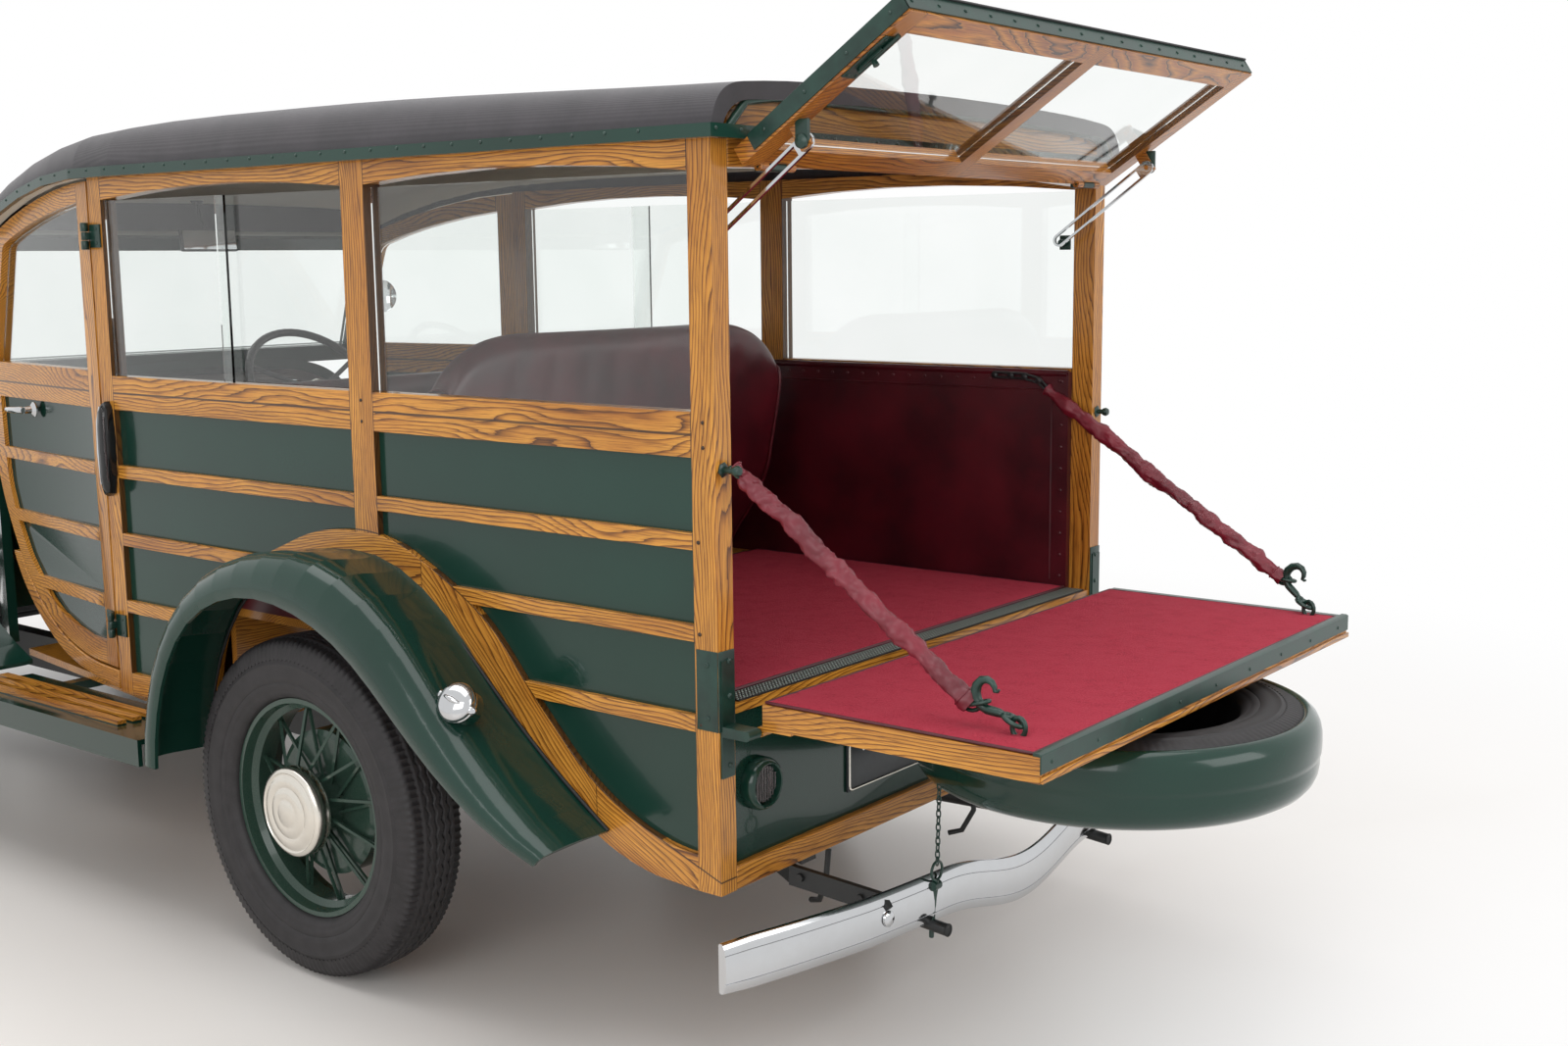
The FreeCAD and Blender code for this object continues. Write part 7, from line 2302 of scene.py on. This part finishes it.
@dataclass
class SideTrim:
    """Fuel cap, direction arms, fender welts and timber plugs."""

    def build(self) -> None:
        """Make each piece."""
        self.fuel_cap()
        for name, side in SIDES.items():
            self.direction_arm(name, side)
            self.fender_bead(name, side)
        self.sill_screws()

    def fuel_cap(self) -> None:
        """The domed plated cap with its two ears, on its painted neck."""
        shape = Shape("fuel_filler")
        base = Vector((-1.338, 0.787, 0.65))
        way = Vector((-0.25, 0.8, 0.5)).normalized()
        neck = [(-0.012, 0.034), (0.01, 0.0335), (0.018, 0.032)]
        shape.lathe(base, way, neck, PANEL_GREEN, 48)
        cap = [(0.017, 0.033), (0.018, 0.0368), (0.024, 0.0378), (0.027, 0.036), (0.029, 0.0374),
            (0.034, 0.0372), (0.0385, 0.0345), (0.0435, 0.029), (0.0475, 0.0205), (0.0495, 0.011),
            (0.05, 0.0001)]
        shape.lathe(base, way, cap, CHROME, 64)
        side = way.cross(UP).normalized()
        up = side.cross(way)
        flat = (side * 0.94 + up * 0.34).normalized()
        for turn in (1, -1):
            out = flat * turn
            ear = [(0.02, 0.0265, 0.004), (0.03, 0.031, 0.007), (0.037, 0.03, 0.0085),
                (0.0415, 0.031, 0.0075), (0.0435, 0.033, 0.004)]
            shape.tube([base + way * high + out * reach for reach, high, _ in ear], [r for *_, r in ear],
                CHROME, 14)
        ridge = [base + way * (0.0505 - 0.016 * (k / 6) ** 2) + flat * (0.031 * k / 6)
            for k in range(-6, 7)]
        shape.tube(ridge, [0.0012 + 0.0045 * (1 - abs(k) / 6.5) for k in range(-6, 7)], CHROME, 12)
        obj = shape.build("car", "bright_chrome", 40)
        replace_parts(obj, "filler_cap")

    def direction_arm(self, name: str, side: int) -> None:
        """A folded direction arm in its black case on the door post, red at its edges.

        Args:
            name: The side's name.
            side: One to the left, minus one to the right.
        """
        shape = Shape(f"direction_arm_{name}")
        face = side * 0.675
        case = [(-0.04, 0.934), (-0.022, 0.926), (-0.014, 0.95), (-0.012, 1.02), (-0.014, 1.1),
            (-0.022, 1.138), (-0.034, 1.146), (-0.046, 1.128), (-0.05, 1.06), (-0.048, 0.98)]
        rows = []
        mid = Vector((sum(p[0] for p in case) / 10, sum(p[1] for p in case) / 10))
        for share, out in ((1.0, 0.0), (1.0, 0.012), (0.94, 0.021), (0.8, 0.026), (0.45, 0.0285),
                (0.02, 0.029)):
            rows.append([(mid.x + (x - mid.x) * share, face + side * out,
                mid.y + (z - mid.y) * (0.1 + 0.9 * share)) for x, z in case])
        shape.grid(rows, GLOSS_BLACK, round_columns=True)
        shape.tube([(-0.0175, face + side * 0.0235, 0.955), (-0.016, face + side * 0.0255, 1.03),
            (-0.018, face + side * 0.024, 1.1), (-0.0255, face + side * 0.0215, 1.135)],
            [0.0024, 0.0034, 0.0032, 0.002], CHROME, 10)
        shape.tube([(-0.0435, face + side * 0.0225, 0.965), (-0.045, face + side * 0.0245, 1.04),
            (-0.0425, face + side * 0.023, 1.11), (-0.0345, face + side * 0.0205, 1.137)],
            [0.0022, 0.0032, 0.003, 0.0018], RED_LENS, 10)
        shape.build("car", "black_frame", 50)

    def fender_bead(self, name: str, side: int) -> None:
        """The black welt pinched between the rear fender and the body.

        Args:
            name: The side's name.
            side: One to the left, minus one to the right.
        """
        hub = Vector((AXLE, 0, 0.355))
        path = rim_path(f"rear_fender_{name}", lambda co: co.y * side < 0.69 and co.z > 0.36,
            lambda co: math.atan2(co.z - hub.z, hub.x - co.x),
            lambda co: (co - Vector((hub.x, co.y, hub.z))).length, 44)
        shape = Shape(f"fender_welt_{name}")
        line = [Vector((p.x, side * 0.6795, p.z)) + (p - Vector((hub.x, p.y, hub.z))).normalized() * 0.001
            for p in path]
        shape.tube(soften_line(line), 0.0036, BLACK_RUBBER, 8)
        shape.build("car", "black_rubber", 60)

    def sill_screws(self) -> None:
        """Dark timber plugs over the screws in the posts and the slats' ends."""
        for name, side in SIDES.items():
            rows = []
            for level in (0.984, 0.826, 0.668):
                rows.append([(-1.815, side * 0.6753, level), (-1.814, side * 0.6753, level)])
            paths = [[(-1.828, side * 0.6753, 1.145), (-1.828, side * 0.6753, 1.187)],
                [(-0.94, side * 0.6753, 1.145), (-0.94, side * 0.6753, 1.187)]] + rows
            REPEATS.screws(f"timber_plugs_{name}", paths, (0, side, 0), "car", 0.042, 0.0036, DARK_PLUG)


@dataclass
class Nose:
    """Headlamp rims and glasses, bonnet louvres and the radiator cap."""

    lamp: tuple = (2.255, 0.405, 0.905)
    radius: float = 0.098

    def build(self) -> None:
        """Make each piece."""
        self.lamps()
        self.louvres()
        self.cap()

    def lamps(self) -> None:
        """A plated rim, a bright bowl and a fluted glass on each lamp."""
        rims, glass = Shape("headlamp_rims"), Shape("headlamp_glasses")
        r = self.radius
        for side in (1, -1):
            x, y, z = self.lamp[0], side * self.lamp[1], self.lamp[2]
            rims.lathe((x, y, z), (1, 0, 0), [(0.064, r + 0.0003), (0.067, r + 0.0035), (0.078, r + 0.0048),
                (0.088, r + 0.0038), (0.0945, r - 0.0015), (0.0975, r - 0.007), (0.096, r - 0.009),
                (0.0985, r * 0.885), (0.1125, r * 0.6), (0.1203, 0.0001)], CHROME, 64)
            rings = []
            for step in range(65):
                a = 2 * math.pi * (step % 64) / 64
                line = []
                for share in (0.9, 0.8, 0.65, 0.5, 0.3, 0.1, 0.001):
                    yy, zz = r * share * math.sin(a), r * share * math.cos(a)
                    flute = 0.001 * math.cos(yy * 2 * math.pi / 0.012) * (1 if share > 0.05 else 0)
                    line.append((x + 0.0985 + 0.024 * (1 - share ** 2) + flute, y + yy, z + zz))
                rings.append(line)
            glass.grid(rings, LENS)
        rims.build("car", "lamp_chrome", 40)
        glass.build("car", "lamp_chrome", 180)

    def louvres(self) -> None:
        """Upright pressed louvres along both bonnet sides, set on the CAD surface."""
        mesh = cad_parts["bonnet_sides"].data
        tree = BVHTree.FromPolygons([v.co for v in mesh.vertices], [p.vertices[:] for p in mesh.polygons])
        for name, side in SIDES.items():
            shape = Shape(f"bonnet_louvres_{name}")
            for k in range(24):
                x = 1.16 + k * 0.034
                row = []
                for level in range(9):
                    z = 0.64 + level * 0.0235
                    hit, normal, _, _ = tree.ray_cast(Vector((x, side * 1.2, z)), Vector((0, -side, 0)))
                    if hit is None or hit.y * side < 0:
                        continue
                    row.append((hit, normal if normal.y * side > 0 else -normal))
                if len(row) < 5:
                    continue
                rows = []
                for i, (hit, normal) in enumerate(row):
                    end = math.sin(math.pi * min(1.0, (i + 0.02) / 1.6, (len(row) - 0.98 - i) / 1.6) / 2)
                    rows.append([hit + Vector((dx, 0, 0)) + normal * (out * end - 0.0006)
                        for dx, out in ((0.011, 0.0), (0.006, 0.0035), (0.0, 0.0062), (-0.006, 0.0078),
                        (-0.0085, 0.007), (-0.009, 0.0))])
                shape.grid(rows, PANEL_GREEN)
            if shape.verts:
                shape.build("car", "green_paint", 40)

    def cap(self) -> None:
        """The plated radiator cap, with a plain ring grip."""
        shape = Shape("radiator_cap")
        centre = (2.13, 0.0, 1.036)
        shape.lathe(centre, (0, 0, 1), [(-0.004, 0.026), (0.004, 0.027), (0.007, 0.024), (0.012, 0.023),
            (0.016, 0.018), (0.019, 0.008), (0.0195, 0.0001)], CHROME, 36)
        shape.build("car", "bright_chrome", 40)


def main() -> None:
    """Build the studio and every sub-assembly in order."""
    logging.basicConfig(level=logging.INFO, format="%(name)s: %(message)s")
    Studio().build()
    LOG.info("studio")
    for part in ASSEMBLY:
        part.build()
        LOG.info("built %s", type(part).__name__)


ASSEMBLY = [
    Bodywork(), Tailgate(), ChainSleeves(), Liftgate(), RearTrim(), Cabin(), SpareCover(),
    Bumper("rear_bumper_bar", -2.06, 0.3, -1, "rear_bumper"),
    Bumper("front_bumper_bar", 2.61, 0.4, 1, "front_bumper"),
    SideTrim(), Nose()
] + [Door(name, side) for name, side in SIDES.items()] + [
    RoadWheel(f"tyre_{end}_{side}", (place, sign * track, 0.355), float(sign), f"wheel_{end}_{side}")
    for end, place, track in (("rear", AXLE, 0.72), ("front", AXLE + 2.845, 0.705))
    for side, sign in SIDES.items()
] + [RoadWheel("spare_tyre", (AXLE - 1.42, 0.0, 0.573), 0.0, "tailgate")]

if __name__ == "__main__":
    main()
